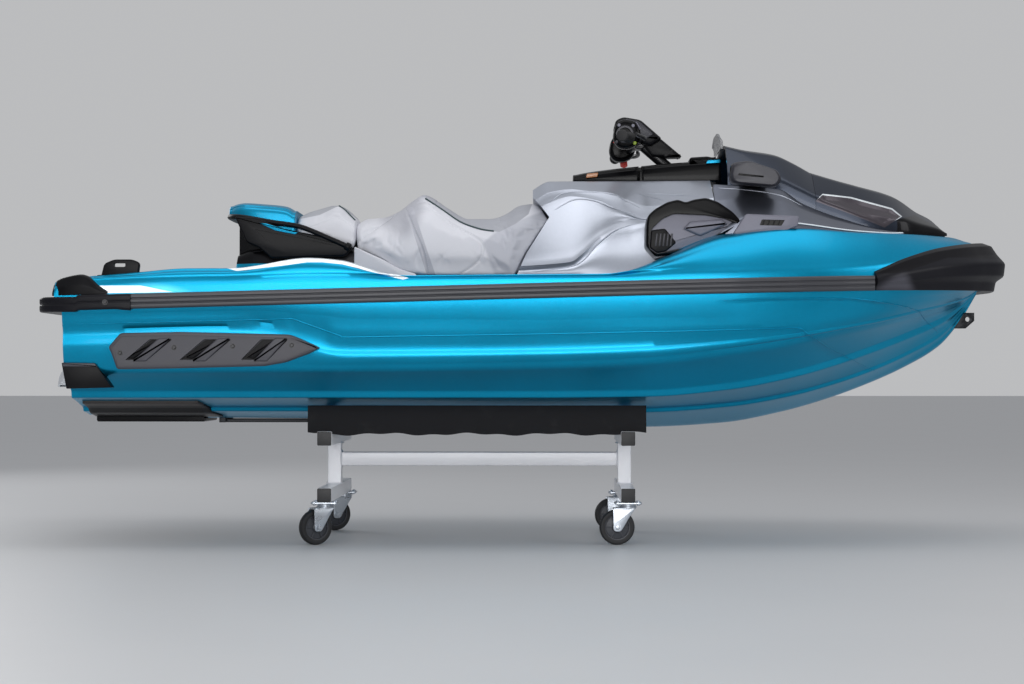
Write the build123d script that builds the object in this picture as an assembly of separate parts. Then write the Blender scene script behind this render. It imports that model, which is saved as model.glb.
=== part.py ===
from build123d import *
import os
from math import cos, radians, sin

os.makedirs("parts", exist_ok=True)

# Three-seat personal watercraft standing on its wheeled launching dolly.
# Frame: +X to the bow, +Z up, +Y to port, floor at Z = 0, millimetres.

# Clearances
SEAT_GAP = 0.3
MOVE_GAP = 6.0
PIN_GAP = 0.05

# Sheer, the parting line between hull and deck, a straight line that rises to the bow
SHEER_Z = 887.0
SHEER_SLOPE = 0.0255


def sheer(x):
    return SHEER_Z + SHEER_SLOPE * x


def blend(table, x, column):
    """Value of one column of a station table at x, straight between stations."""
    rows = sorted(table)
    if x <= rows[0][0]:
        return rows[0][column]
    for low, high in zip(rows, rows[1:]):
        if x <= high[0]:
            share = (x - low[0]) / (high[0] - low[0])
            return low[column] + share * (high[column] - low[column])
    return rows[-1][column]


def polygon(points):
    return Wire.make_polygon([Vector(*point) for point in points], close=True)


def plate_y(points, y_low, y_high):
    """A side outline of (x, z) points, extruded from y_low to y_high."""
    face = Face(polygon([(x, y_low, z) for x, z in points]))
    return Solid.extrude(face, Vector(0, y_high - y_low, 0))


def plate_x(points, x_low, x_high):
    """A cross outline of (y, z) points, extruded from x_low to x_high."""
    face = Face(polygon([(x_low, y, z) for y, z in points]))
    return Solid.extrude(face, Vector(x_high - x_low, 0, 0))


def plate_z(points, z_low, z_high):
    """A plan outline of (x, y) points, extruded from z_low to z_high."""
    face = Face(polygon([(x, y, z_low) for x, y in points]))
    return Solid.extrude(face, Vector(0, 0, z_high - z_low))


def block(x_low, x_high, y_low, y_high, z_low, z_high):
    size = Vector(x_high - x_low, y_high - y_low, z_high - z_low)
    return Solid.make_box(size.X, size.Y, size.Z, Plane((x_low, y_low, z_low)))


def rod(start, end, radius):
    start, end = Vector(*start), Vector(*end)
    run = end - start
    return Solid.make_cylinder(radius, run.length, Plane(origin=start, z_dir=run))


def ball(centre, radius):
    return Solid.make_sphere(radius, Plane(origin=centre), angle1=-90, angle2=90, angle3=360)


def loft_halves(stations):
    """Loft of symmetric sections: rows of x and its half outline of (y, z) points."""
    wires = []
    for x, half in stations:
        port = [(x, y, z) for y, z in half]
        starboard = [(x, -y, z) for y, z in reversed(half) if y > 0]
        wires.append(polygon(port + starboard))
    return Solid.make_loft(wires, True)


def loft_side(stations):
    """Loft of one-sided sections: rows of x and its outline of (y, z) points."""
    return Solid.make_loft([polygon([(x, y, z) for y, z in outline]) for x, outline in stations], True)


def other_side(shape):
    return shape.mirror(Plane.XZ)


def both_sides(shape):
    return [shape, other_side(shape)]


def solids_of(shapes):
    found = []
    for shape in shapes if isinstance(shapes, (list, tuple)) else [shapes]:
        found.extend(shape.solids())
    return found


def cut(body, *tools):
    for tool in tools:
        pieces = []
        for solid in solids_of(body):
            pieces.extend(solids_of(solid - tool))
        body = pieces
    return body


def fuse(*shapes):
    pieces = solids_of(list(shapes))
    whole = pieces[0]
    for piece in pieces[1:]:
        whole = whole + piece
    return solids_of(whole)


def save(name, shapes):
    pieces = solids_of(shapes)
    export_step(pieces[0] if len(pieces) == 1 else Compound(pieces), f"parts/{name}.step")


# Hull
# Columns: x, keel z, inner strake y and z, outer strake y and z, chine y and z, crease y and z, rail y
HULL_STATIONS = (
    (-1614, 430, 255, 470, 440, 520, 556, 614, 586, 770, 598),
    (-1000, 424, 255, 470, 440, 520, 560, 617, 590, 785, 606),
    (-600, 420, 255, 470, 440, 520, 560, 619, 592, 735, 608),
    (0, 409, 255, 467, 440, 520, 560, 629, 592, 735, 608),
    (400, 404, 250, 467, 436, 524, 560, 645, 590, 745, 606),
    (700, 419, 232, 486, 408, 550, 540, 680, 574, 756, 590),
    (930, 462, 205, 524, 362, 594, 500, 717, 540, 770, 562),
    (1076, 503, 172, 562, 308, 634, 450, 746, 496, 790, 532),
    (1227, 557, 132, 612, 240, 684, 372, 776, 428, 818, 480),
    (1385, 626, 84, 680, 154, 742, 250, 815, 318, 850, 392),
    (1500, 694, 46, 744, 88, 792, 150, 846, 214, 870, 304),
    (1590, 806, 14, 834, 32, 856, 70, 880, 118, 892, 206),
    (1640, 895, 6, 902, 16, 908, 34, 914, 60, 918, 110),
)
STRAKE_STEP = 14.0
OUTER_STRAKE_STEP = 24.0
TRANSOM_X = HULL_STATIONS[0][0]
BOW_X = HULL_STATIONS[-1][0]


def rail_y(x):
    return blend(HULL_STATIONS, x, -1)


def hull_form():
    stations = []
    for x, keel, y1, z1, y2, z2, y3, z3, y4, z4, y5 in HULL_STATIONS:
        step = min(STRAKE_STEP, 0.4 * (z2 - z1))
        wide_step = min(OUTER_STRAKE_STEP, 0.4 * (z3 - z2))
        half = [(0, keel), (y1, z1), (y1 + 0.5 * step, z1 + step), (y2, z2),
                (y2 + 0.3 * wide_step, z2 + wide_step)]
        half += [(y3, z3), (y4, z4), (y5, sheer(x)), (0, sheer(x))]
        stations.append((x, half))
    wires = []
    for x, half in stations:
        port = [(x, y, z) for y, z in half]
        starboard = [(x, -y, z) for y, z in reversed(half[1:-1])]
        wires.append(polygon(port + starboard))
    return Solid.make_loft(wires, True)


# Deck
# Columns: x, gunwale z, shoulder y and z, top y and z
DECK_STATIONS = (
    (-1640, 900, 560, 930, 530, 926),
    (-1540, 908, 566, 942, 536, 926),
    (-1370, 914, 574, 958, 540, 926),
    (-1180, 918, 578, 972, 542, 926),
    (-1000, 922, 580, 972, 542, 928),
    (-771, 928, 584, 1004, 546, 996),
    (-420, 932, 588, 936, 548, 934),
    (250, 938, 588, 940, 548, 938),
    (450, 946, 560, 1000, 470, 1010),
    (672, 952, 500, 1079, 440, 1092),
    (925, 960, 468, 1112, 430, 1108),
    (1189, 980, 405, 1098, 380, 1096),
    (1324, 1005, 338, 1099, 315, 1096),
    (1501, 1045, 205, 1095, 165, 1096),
    (1586, 1062, 110, 1082, 80, 1084),
    (1640, 1040, 60, 1054, 40, 1056),
)
STERN_X = DECK_STATIONS[0][0]


def deck_form():
    stations = []
    for x, gun_z, shoulder_y, shoulder_z, top_y, top_z in DECK_STATIONS:
        edge = rail_y(x)
        half = [(edge, sheer(x)), (edge, gun_z), (shoulder_y, shoulder_z), (top_y, top_z)]
        stations.append((x, half))
    return loft_halves(stations)


# Footwells: one each side of the seat pedestal, each ramped up to the boarding platform
WELL_OUTER_Y = 540.0
WELL_FLOOR_Z = 700.0
WELL_WALL = 10.0
WELL_TOP_Z = 1400.0
WELL_REAR_RISE = 30.0
# Columns: x, inner y, floor z
WELL_STATIONS = (
    (-1000, 250, 905),
    (-760, 250, WELL_FLOOR_Z + WELL_REAR_RISE),
    (-640, 236, WELL_FLOOR_Z),
    (330, 236, WELL_FLOOR_Z),
    (470, 250, 760),
)


def well_space(wall):
    """The open space of the starboard well; wall grows it to the tub's outer faces."""
    rows = []
    last = len(WELL_STATIONS) - 1
    for index, (x, inner_y, floor_z) in enumerate(WELL_STATIONS):
        if index == 0:
            x -= wall
        if index == last:
            x += wall
        low_z, in_y, out_y = floor_z - wall, -(inner_y - wall), -(WELL_OUTER_Y + wall)
        rows.append((x, [(in_y, low_z), (out_y, low_z), (out_y, WELL_TOP_Z), (in_y, WELL_TOP_Z)]))
    return loft_side(rows)


# Seat pedestal, one form with the deck
# Columns: x, half width at the well floor, half width at the top, top z
PEDESTAL_REAR_Z = 1060.0
PEDESTAL_STATIONS = (
    (-1075, 190, 150, 1040),
    (-1000, 226, 176, PEDESTAL_REAR_Z),
    (-640, 226, 176, PEDESTAL_REAR_Z),
    (-600, 226, 176, 950),
    (-60, 226, 180, 950),
    (500, 226, 200, 950),
)
PEDESTAL_FOOT_Z = 800.0
PEDESTAL_SPACE = (-1100.0, 520.0, -400.0, 400.0, 700.0, 1100.0)


def pedestal_form():
    rows = []
    for x, foot_y, top_y, top_z in PEDESTAL_STATIONS:
        rows.append((x, [(foot_y, PEDESTAL_FOOT_Z), (top_y, top_z)]))
    return loft_halves(rows)


# Jet pump tunnel and intake in the hull bottom
PUMP_Z = 560.0
TUNNEL_Y = 150.0
TUNNEL_TOP_Z = 690.0
TUNNEL_FRONT_X = -1190.0
INTAKE_FRONT_X = -700.0
INTAKE_Y = 95.0
INTAKE_TOP_Z = 640.0
INTAKE_LIP_Z = 450.0
BOTTOM_Z = 380.0

# Engine and its bay
ENGINE_X = (-560.0, 190.0)
ENGINE_Y = 195.0
ENGINE_Z = (470.0, 860.0)

# Front bin under the hood
BIN_X = (740.0, 1370.0)
BIN_Y = 215.0
BIN_FLOOR_Z = 930.0

# A space larger than the craft, for what is cut right through
CLEAR_Z = 2000.0
CLEAR_Y = 900.0
OVER = 20.0
sheer_top = plate_y([(STERN_X - OVER, sheer(STERN_X - OVER)), (BOW_X + OVER, sheer(BOW_X + OVER)),
                     (BOW_X + OVER, CLEAR_Z), (STERN_X - OVER, CLEAR_Z)], -CLEAR_Y, CLEAR_Y)
tub_outer = cut([well_space(WELL_WALL)], sheer_top)
well_open = well_space(0)

hull = cut([hull_form()], *tub_outer, *[other_side(s) for s in tub_outer])
tunnel = block(TRANSOM_X - OVER, TUNNEL_FRONT_X, -TUNNEL_Y, TUNNEL_Y, BOTTOM_Z, TUNNEL_TOP_Z)
intake = plate_y([(TUNNEL_FRONT_X - 1, BOTTOM_Z), (INTAKE_FRONT_X, BOTTOM_Z),
                  (INTAKE_FRONT_X, INTAKE_LIP_Z),
                  (TUNNEL_FRONT_X + 60, INTAKE_TOP_Z), (TUNNEL_FRONT_X - 1, INTAKE_TOP_Z)], -INTAKE_Y,
                  INTAKE_Y)
engine_bay = block(ENGINE_X[0], ENGINE_X[1], -ENGINE_Y, ENGINE_Y, *ENGINE_Z)
hull = cut(hull, tunnel, intake, engine_bay)
save("hull", hull)

wells = [well_open, other_side(well_open)]
deck = fuse(deck_form(), *tub_outer, *[other_side(s) for s in tub_outer])
deck = cut(deck, *wells)
deck = fuse(*deck, *cut([pedestal_form()], cut([block(*PEDESTAL_SPACE)], sheer_top)[0]))
front_bin = block(BIN_X[0], BIN_X[1], -BIN_Y, BIN_Y, BIN_FLOOR_Z, WELL_TOP_Z)
deck = cut(deck, front_bin)

# Hinge of the hood: two lugs on the foredeck, each with a pin that the hood's bosses turn on
HOOD_PIVOT = (1500.0, 1111.0)
HINGE_PIN_R = 5.0
HINGE_PIN_HALF = 16.0
HINGE_Y = 74.0
LUG_HALF = 4.0
LUG_REACH = 8.0
LUG_ROOT_Z = 1080.0


def cross_rod(pivot, y_low, y_high, radius):
    """Round bar that lies across the craft through a pivot point of x and z."""
    return rod((pivot[0], y_low, pivot[1]), (pivot[0], y_high, pivot[1]), radius)


def span(side, low, high):
    """Two distances from the centre plane, as ordered y values on one side."""
    return sorted((side * low, side * high))


hood_lugs = []
for side in (-1, 1):
    low, high = span(side, HINGE_Y - LUG_HALF, HINGE_Y + LUG_HALF)
    hood_lugs.append(block(HOOD_PIVOT[0] - LUG_REACH, HOOD_PIVOT[0] + LUG_REACH, low, high, LUG_ROOT_Z,
                           HOOD_PIVOT[1] + LUG_REACH))
    hood_lugs.append(cross_rod(HOOD_PIVOT, *span(side, HINGE_Y - HINGE_PIN_HALF, HINGE_Y + HINGE_PIN_HALF),
                               HINGE_PIN_R))
deck = fuse(*deck, *hood_lugs)
save("deck", deck)

save("engine_block", block(ENGINE_X[0], ENGINE_X[1], -ENGINE_Y, ENGINE_Y, *ENGINE_Z))


# Side rails along the parting line, three ribs high
RAIL_FRONT_X = 1180.0
RAIL_REAR_X = -1426.0
# Columns: height above the sheer, stand-out from the hull side
RAIL_PROFILE = ((-26, 0), (-26, 14), (-20, 18), (-10, 12), (-5, 19.5), (5, 19.5), (10, 12), (20, 18),
                (26, 14),
                (26, 0))
RAIL_X = (RAIL_REAR_X, -1000, -600, 0, 400, 700, 930, 1076, RAIL_FRONT_X)


def rail_form():
    wires = []
    for x in RAIL_X:
        wires.append(polygon([(x, -(rail_y(x) + SEAT_GAP + out), sheer(x) + up) for up,
                              out in RAIL_PROFILE]))
    return Solid.make_loft(wires, True)


rail = rail_form()
save("side_rails", both_sides(rail))


def band(rows):
    """Solid that wraps a plan outline: rows of base x and y, normal x and y, and a profile of (out, z)."""
    wires = []
    for x, y, nx, ny, profile in rows:
        wires.append(polygon([(x + nx * out, y + ny * out, z) for out, z in profile]))
    return Solid.make_loft(wires, True)


# Bow bumper round the nose
# Columns: x along the rail line, top z, greatest stand-out, normal turn towards the bow in degrees
BOW_STATIONS = (
    (1186, 958, 24, 30),
    (1282, 1000, 36, 36),
    (1430, 1047, 52, 46),
    (1560, 1070, 66, 55),
    (1640, 1079, 80, 66),
)
BUMPER_LOW = 22.0
BOW_TIP_X = 1742.0
BOW_TIP_BASE_X = BOW_X + 2.0
BOW_TIP_TOP_Z = BOW_STATIONS[-1][1]


def bumper_profile(base_z, top_z, out):
    height = top_z - base_z
    return [(SEAT_GAP, base_z), (0.55 * out, base_z - 6), (0.6 * out, base_z + 0.2 * height),
            (0.93 * out, base_z + 0.34 * height), (out, base_z + 0.62 * height),
            (0.5 * out, base_z + 0.86 * height), (SEAT_GAP, top_z)]


def bow_bumper_form():
    side = []
    for x, top_z, out, turn in BOW_STATIONS:
        side.append((x, -rail_y(x), sin(radians(turn)), -cos(radians(turn)),
                     bumper_profile(sheer(x) - BUMPER_LOW, top_z, out)))
    tip = [(BOW_TIP_BASE_X, 0, 1, 0, bumper_profile(sheer(BOW_X) - BUMPER_LOW, BOW_TIP_TOP_Z,
                                                    BOW_TIP_X - BOW_TIP_BASE_X))]
    port = [(x, -y, nx, -ny, profile) for x, y, nx, ny, profile in reversed(side)]
    return band(side + tip + port)


bow_bumper = cut([bow_bumper_form()], *solids_of(deck), *solids_of(hull))
save("bow_bumper", max(bow_bumper, key=lambda s: s.volume))

# Stern bumper: one block each side, joined by a bar across the transom
BUMPER_REAR_X = -1708.0
STERN_BAR_Z = (812.0, 872.0)
STERN_HALF = ((RAIL_REAR_X - 2, 627.5), (-1600, 620), (-1668, 596), (BUMPER_REAR_X, 540))
stern_solid = plate_z([(x, -y) for x, y in STERN_HALF] + [(x, y) for x, y in reversed(STERN_HALF)],
                      *STERN_BAR_Z)
stern_seat = [(RAIL_REAR_X + OVER, rail_y(RAIL_REAR_X) + SEAT_GAP),
              (TRANSOM_X, rail_y(TRANSOM_X) + SEAT_GAP),
              (STERN_X - SEAT_GAP, rail_y(STERN_X) + SEAT_GAP)]
stern_inner = plate_z([(x, -y) for x, y in stern_seat] + [(x, y) for x, y in reversed(stern_seat)], 0,
                      CLEAR_Z)
save("stern_bumper", cut([stern_solid], stern_inner))

# Stern corner caps above the bumper
# Columns: x, outer y, low z, high z
CAP_STATIONS = ((-1655, 575, 880, 895), (-1640, 585, 880, 918), (-1600, 606, 880, 936),
                (-1540, 612, 882, 945),
                (-1500, 614, 884, 925), (-1454, 614, 884, 892))
CAP_INNER_Y = 560.0
CAP_LEAN = 6.0
cap = loft_side([(x, [(-CAP_INNER_Y, low), (-outer, low), (-outer + CAP_LEAN, high),
                      (-CAP_INNER_Y - CAP_LEAN, high)])
                 for x, outer, low, high in CAP_STATIONS])
cap = cut([cap], *solids_of(deck))
save("stern_corner_caps", [s for c in cap for s in both_sides(c)])

# Sponsons low on the hull sides
SPONSON_OUTLINE = ((-1449, 695), (-1408, 743), (-1197, 747), (-828, 738), (-791, 724), (-724, 693),
                   (-761, 673),
                   (-843, 643), (-917, 630), (-1227, 622), (-1419, 619), (-1438, 673))
SPONSON_Y = (596.0, 620.0)
SPONSON_ROOT_Y = 540.0
sponson = plate_y(SPONSON_OUTLINE, -SPONSON_Y[1], -SPONSON_Y[0])
backing = plate_y(SPONSON_OUTLINE, -SPONSON_Y[0] - 1, -SPONSON_ROOT_Y)
pad = cut([backing], *solids_of(hull))
sponson = max(fuse(sponson, *pad), key=lambda s: s.volume)
# Columns: foot x and top x of each slanted pocket's rear edge, then its width
SPONSON_POCKETS = ((-1385, -1300, 70), (-1205, -1120, 95), (-995, -925, 95))
SPONSON_POCKET_Z = (650.0, 722.0)
POCKET_DEPTH = 14.0
for foot_x, top_x, width in SPONSON_POCKETS:
    outline = [(foot_x, SPONSON_POCKET_Z[0]), (foot_x + width, SPONSON_POCKET_Z[0]),
               (top_x + width, SPONSON_POCKET_Z[1]), (top_x, SPONSON_POCKET_Z[1])]
    sponson = max(cut([sponson], plate_y(outline, -SPONSON_Y[1] - 1, -SPONSON_Y[1] + POCKET_DEPTH)),
                  key=lambda s: s.volume)
SPONSON_BOLTS = ((-1408, 675), (-1223, 693), (-1022, 698), (-819, 701))
SPONSON_BOLT_R = 7.0
SPONSON_BOLT_HEAD = 3.0
bolts = [cross_rod(place, -SPONSON_Y[1] - SPONSON_BOLT_HEAD, -SPONSON_Y[1] + 1, SPONSON_BOLT_R)
         for place in SPONSON_BOLTS]
sponson = max(fuse(sponson, *bolts), key=lambda s: s.volume)
save("sponsons", both_sides(sponson))

# Ride plate under the pump tunnel, and the intake grate ahead of it
RIDE_PLATE_X = (-1589.0, -1196.0)
RIDE_PLATE_Z = (430.0, 442.0)
RIDE_SIDE_T = 6.0
RIDE_SIDE_TOP_Z = 500.0
RIDE_PLATE_Y = TUNNEL_Y - 4.0
ride_plate = block(*RIDE_PLATE_X, -RIDE_PLATE_Y, RIDE_PLATE_Y, *RIDE_PLATE_Z)
ride_sides = [block(*RIDE_PLATE_X, *span(side, RIDE_PLATE_Y - RIDE_SIDE_T, TUNNEL_Y - SEAT_GAP),
                    RIDE_PLATE_Z[0],
                    RIDE_SIDE_TOP_Z) for side in (-1, 1)]
save("ride_plate", fuse(ride_plate, *ride_sides))

GRATE_X = (-1150.0, -716.0)
GRATE_BARS = (-60, -30, 0, 30, 60)
GRATE_BAR_HALF = 5.0
GRATE_Z = (426.0, 438.0)
GRATE_END = 24.0
GRATE_END_RISE = 16.0
grate_bars = [block(*GRATE_X, y - GRATE_BAR_HALF, y + GRATE_BAR_HALF, *GRATE_Z) for y in GRATE_BARS]
grate_ends = [block(x, x + GRATE_END, -INTAKE_Y + SEAT_GAP, INTAKE_Y - SEAT_GAP, GRATE_Z[0],
                    GRATE_Z[1] + GRATE_END_RISE)
              for x in (GRATE_X[0], GRATE_X[1] - GRATE_END)]
save("intake_grate", fuse(*grate_ends, *grate_bars))

# Jet pump: housing, impeller on its shaft, steering nozzle and reverse bucket
HOUSING_R = 92.0
BORE_R = 78.0
HOUSING_X = (-1600.0, -1230.0)
MOUNT_X = (-1330.0, -1240.0)
MOUNT_LOW = 40.0
BEARING_X = (-1560.0, -1440.0)
BEARING_R = 24.0
SHAFT_X = (-1495.0, -1200.0)
SHAFT_R = 12.0
VANE_HALF = 3.0
VANE_REACH = (20.0, BORE_R + 6.0)
VANE_TURNS = (0, 72, 144, 216, 288)
PUMP_AXIS = Axis((0, 0, PUMP_Z), (1, 0, 0))


def pump_rod(x_low, x_high, radius):
    """Round bar on the pump's axis."""
    return rod((x_low, 0, PUMP_Z), (x_high, 0, PUMP_Z), radius)


housing = pump_rod(*HOUSING_X, HOUSING_R)
pump_mount = block(*MOUNT_X, -TUNNEL_Y, TUNNEL_Y, PUMP_Z - MOUNT_LOW, TUNNEL_TOP_Z)
housing = cut(fuse(housing, pump_mount), pump_rod(HOUSING_X[0] - 1, HOUSING_X[1] + 1, BORE_R))
vane = block(BEARING_X[0], BEARING_X[1] - 10, -VANE_HALF, VANE_HALF, PUMP_Z + VANE_REACH[0],
             PUMP_Z + VANE_REACH[1])
vanes = [vane.rotate(PUMP_AXIS, turn) for turn in VANE_TURNS]
housing = fuse(*housing, pump_rod(*BEARING_X, BEARING_R), *vanes)
housing = cut(housing, pump_rod(SHAFT_X[0] - 5, BEARING_X[1] + 40, SHAFT_R + PIN_GAP))
BUCKET_PIVOT = (-1640.0, PUMP_Z)
BUCKET_PIN_R = 8.0
EAR_Y = (HOUSING_R - 4.0, HOUSING_R + 4.0)
EAR_HALF = 30.0
ears = [block(BUCKET_PIVOT[0] - 16, BEARING_X[0], *span(side, *EAR_Y), PUMP_Z - EAR_HALF, PUMP_Z + EAR_HALF)
        for side in (-1, 1)]
ears = cut(ears, cross_rod(BUCKET_PIVOT, -TUNNEL_Y, TUNNEL_Y, BUCKET_PIN_R + PIN_GAP))
NOZZLE_X = HOUSING_X[0] - 10.0
NOZZLE_PIVOT_X = NOZZLE_X - 12.0
NOZZLE_PIN_R = 6.0
TONGUE = (BORE_R - 8.0, BORE_R + 2.0)
TONGUE_HALF = 14.0
tongues = [block(NOZZLE_PIVOT_X - TONGUE_HALF, HOUSING_X[0] + 4, -TONGUE_HALF, TONGUE_HALF,
                 PUMP_Z + low, PUMP_Z + high) for low, high in (span(-1, *TONGUE), span(1, *TONGUE))]
tongues = cut(tongues, rod((NOZZLE_PIVOT_X, 0, PUMP_Z - HOUSING_R), (NOZZLE_PIVOT_X, 0, PUMP_Z + HOUSING_R),
                           NOZZLE_PIN_R + PIN_GAP))
save("jet_pump_housing", fuse(*housing, *ears, *tongues))

IMPELLER_R = BORE_R - 1.0
HUB_X = -1380.0
HUB_HALF = 45.0
HUB_R = 30.0
BLADE_T = 6.0
BLADE_TURNS = (0, 120, 240)
# Columns: radius, chord along the shaft, twist from the shaft in degrees
BLADE_SECTIONS = ((24, 70, 32), (50, 74, 50), (IMPELLER_R - 3, 78, 62))
BLADE_CORNERS = ((-0.5, -0.5), (0.5, -0.5), (0.5, 0.5), (-0.5, 0.5))
blade_wires = []
for radius, chord, twist in BLADE_SECTIONS:
    turn = radians(twist)
    corners = [(u * chord * cos(turn) - v * BLADE_T * sin(turn),
                u * chord * sin(turn) + v * BLADE_T * cos(turn))
               for u, v in BLADE_CORNERS]
    blade_wires.append(polygon([(HUB_X + x, y, PUMP_Z + radius) for x, y in corners]))
blade = Solid.make_loft(blade_wires, True)
swept = pump_rod(HUB_X - HUB_HALF - 5, HUB_X + HUB_HALF + 5, IMPELLER_R)
blades = [solids_of(blade & swept)[0].rotate(PUMP_AXIS, turn) for turn in BLADE_TURNS]
save("impeller", fuse(pump_rod(*SHAFT_X, SHAFT_R), pump_rod(HUB_X - HUB_HALF, HUB_X + HUB_HALF, HUB_R),
                      *blades))

NOZZLE_R = (BORE_R - 14.0, BORE_R - 30.0)
NOZZLE_LENGTH = 86.0
NOZZLE_WALL = 7.0
nozzle = Solid.make_cone(*NOZZLE_R, NOZZLE_LENGTH, Plane(origin=(NOZZLE_X, 0, PUMP_Z), z_dir=(-1, 0, 0)))
nozzle_bore = Solid.make_cone(*[radius - NOZZLE_WALL for radius in NOZZLE_R], NOZZLE_LENGTH + 2,
                              Plane(origin=(NOZZLE_X + 1, 0, PUMP_Z), z_dir=(-1, 0, 0)))
nozzle_pins = [rod((NOZZLE_PIVOT_X, 0, PUMP_Z + side * (NOZZLE_R[0] - 8)),
                   (NOZZLE_PIVOT_X, 0, PUMP_Z + side * TONGUE[1]), NOZZLE_PIN_R) for side in (-1, 1)]
nozzle = cut(fuse(nozzle, *nozzle_pins), nozzle_bore)
nozzle = max(nozzle, key=lambda s: s.volume)
save("steering_nozzle", nozzle)

BUCKET_R = 102.0
BUCKET_WALL = 7.0
BUCKET_Y = EAR_Y[1] + 10.0
BUCKET_BOSS_R = 18.0
BUCKET_SWEEP = (96.0, 182.0)
CHEEK_SWEEP = (100.0, 178.0)
SECTOR_STEPS = 6
bucket_ring = cross_rod(BUCKET_PIVOT, -BUCKET_Y, BUCKET_Y, BUCKET_R)
bucket_hollow = cross_rod(BUCKET_PIVOT, -BUCKET_Y - 1, BUCKET_Y + 1, BUCKET_R - BUCKET_WALL)


def sector(start, end, y_low, y_high):
    """Pie slice about the bucket's pivot, wider than the bucket, from start to end degrees."""
    points = [BUCKET_PIVOT]
    for index in range(SECTOR_STEPS + 1):
        angle = radians(start + (end - start) * index / SECTOR_STEPS)
        points.append((BUCKET_PIVOT[0] + 2 * BUCKET_R * cos(angle),
                       BUCKET_PIVOT[1] + 2 * BUCKET_R * sin(angle)))
    return plate_y(points, y_low, y_high)


shell = cut([bucket_ring & sector(*BUCKET_SWEEP, -BUCKET_Y, BUCKET_Y)], bucket_hollow)
cheeks = []
for side in (-1, 1):
    low, high = span(side, BUCKET_Y - BUCKET_WALL, BUCKET_Y)
    cheeks.append(bucket_ring & sector(*CHEEK_SWEEP, low, high))
    cheeks.append(cross_rod(BUCKET_PIVOT, low, high, BUCKET_BOSS_R))
    cheeks.append(cross_rod(BUCKET_PIVOT, *span(side, EAR_Y[0] - 4, BUCKET_Y - 6), BUCKET_PIN_R))
save("reverse_bucket", fuse(*shell, *cheeks))

# Boarding step, folded up behind the transom
STEP_PIVOT = (-1655.0, 600.0)
STEP_ARM_Y = 165.0
STEP_TREAD = (-1697.0, 781.0)
STEP_ARM_R = 9.0
STEP_TREAD_R = 13.0
STEP_PIN_R = 8.0
STEP_LUG_Y = (STEP_ARM_Y + 14.0, STEP_ARM_Y + 26.0)
STEP_LUG_HALF = 20.0
step_arms = [rod((STEP_PIVOT[0], side * STEP_ARM_Y, STEP_PIVOT[1]),
                 (STEP_TREAD[0], side * STEP_ARM_Y, STEP_TREAD[1]),
                 STEP_ARM_R) for side in (-1, 1)]
step_tread = cross_rod(STEP_TREAD, -STEP_LUG_Y[0], STEP_LUG_Y[0], STEP_TREAD_R)
step_pins = [cross_rod(STEP_PIVOT, *span(side, STEP_ARM_Y - 4, STEP_LUG_Y[1] - 2), STEP_PIN_R)
             for side in (-1, 1)]
step_eyes = [cross_rod(STEP_PIVOT, *span(side, STEP_ARM_Y - 12, STEP_ARM_Y + 12), STEP_TREAD_R)
             for side in (-1, 1)]
save("boarding_step", fuse(step_tread, *step_arms, *step_eyes, *step_pins))
step_lugs = []
for side in (-1, 1):
    low, high = span(side, *STEP_LUG_Y)
    lug = block(STEP_PIVOT[0] - STEP_TREAD_R - 1, TRANSOM_X, low, high, STEP_PIVOT[1] - STEP_LUG_HALF,
                STEP_PIVOT[1] + STEP_LUG_HALF)
    step_lugs += cut([lug], cross_rod(STEP_PIVOT, low - 1, high + 1, STEP_PIN_R + PIN_GAP))
save("step_brackets", step_lugs)

# Seats
# Columns: x, low z, half width low, shoulder half width, shoulder z, top half width, top z
FRONT_SEAT = (
    (-644, 1062, 170, 176, 1120, 120, 1176),
    (-544, 1010, 195, 195, 1110, 120, 1181),
    (-489, 975, 200, 196, 1120, 115, 1201),
    (-433, 962, 204, 196, 1150, 105, 1245),
    (-396, 955, 208, 196, 1165, 100, 1266),
    (-320, 952, 212, 200, 1140, 120, 1222),
    (-231, 952, 215, 205, 1110, 150, 1175),
    (-157, 952, 214, 196, 1110, 145, 1175),
    (-101, 952, 212, 186, 1120, 125, 1190),
    (-46, 952, 210, 178, 1150, 100, 1227),
    (60, 952, 206, 172, 1180, 90, 1250),
)
REAR_SEAT_LOW_Z = PEDESTAL_REAR_Z + SEAT_GAP
SEAT_CROWN = 8.0
REAR_SEAT = (
    (-862, REAR_SEAT_LOW_Z, 164, 164, 1128, 110, 1188),
    (-840, REAR_SEAT_LOW_Z, 165, 165, 1130, 110, 1197),
    (-716, REAR_SEAT_LOW_Z, 172, 172, 1150, 100, 1235),
    (-644 - SEAT_GAP, REAR_SEAT_LOW_Z, 174, 174, 1120, 115, 1178),
)


def seat_form(table):
    rows = []
    for x, low_z, low_y, mid_y, mid_z, top_y, top_z in table:
        rows.append((x, [(low_y, low_z), (mid_y, mid_z), (top_y, top_z - SEAT_CROWN),
                         (0.5 * top_y, top_z)]))
    return loft_halves(rows)


# Side outline of the seam between the front seat and the console
SEAM = ((2, 1244), (30, 1215), (62, 1171), (-20, 1040), (-60, 950))
console_back = SEAM + ((-60, 800), (400, 800), (400, WELL_TOP_Z), (2, WELL_TOP_Z))
front_seat = seat_form(FRONT_SEAT)
front_seat = max(cut([front_seat], plate_y(console_back, -CLEAR_Y, CLEAR_Y)), key=lambda s: s.volume)
front_seat = cut([front_seat], *solids_of(deck))
save("front_seat", max(front_seat, key=lambda s: s.volume))

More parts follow.
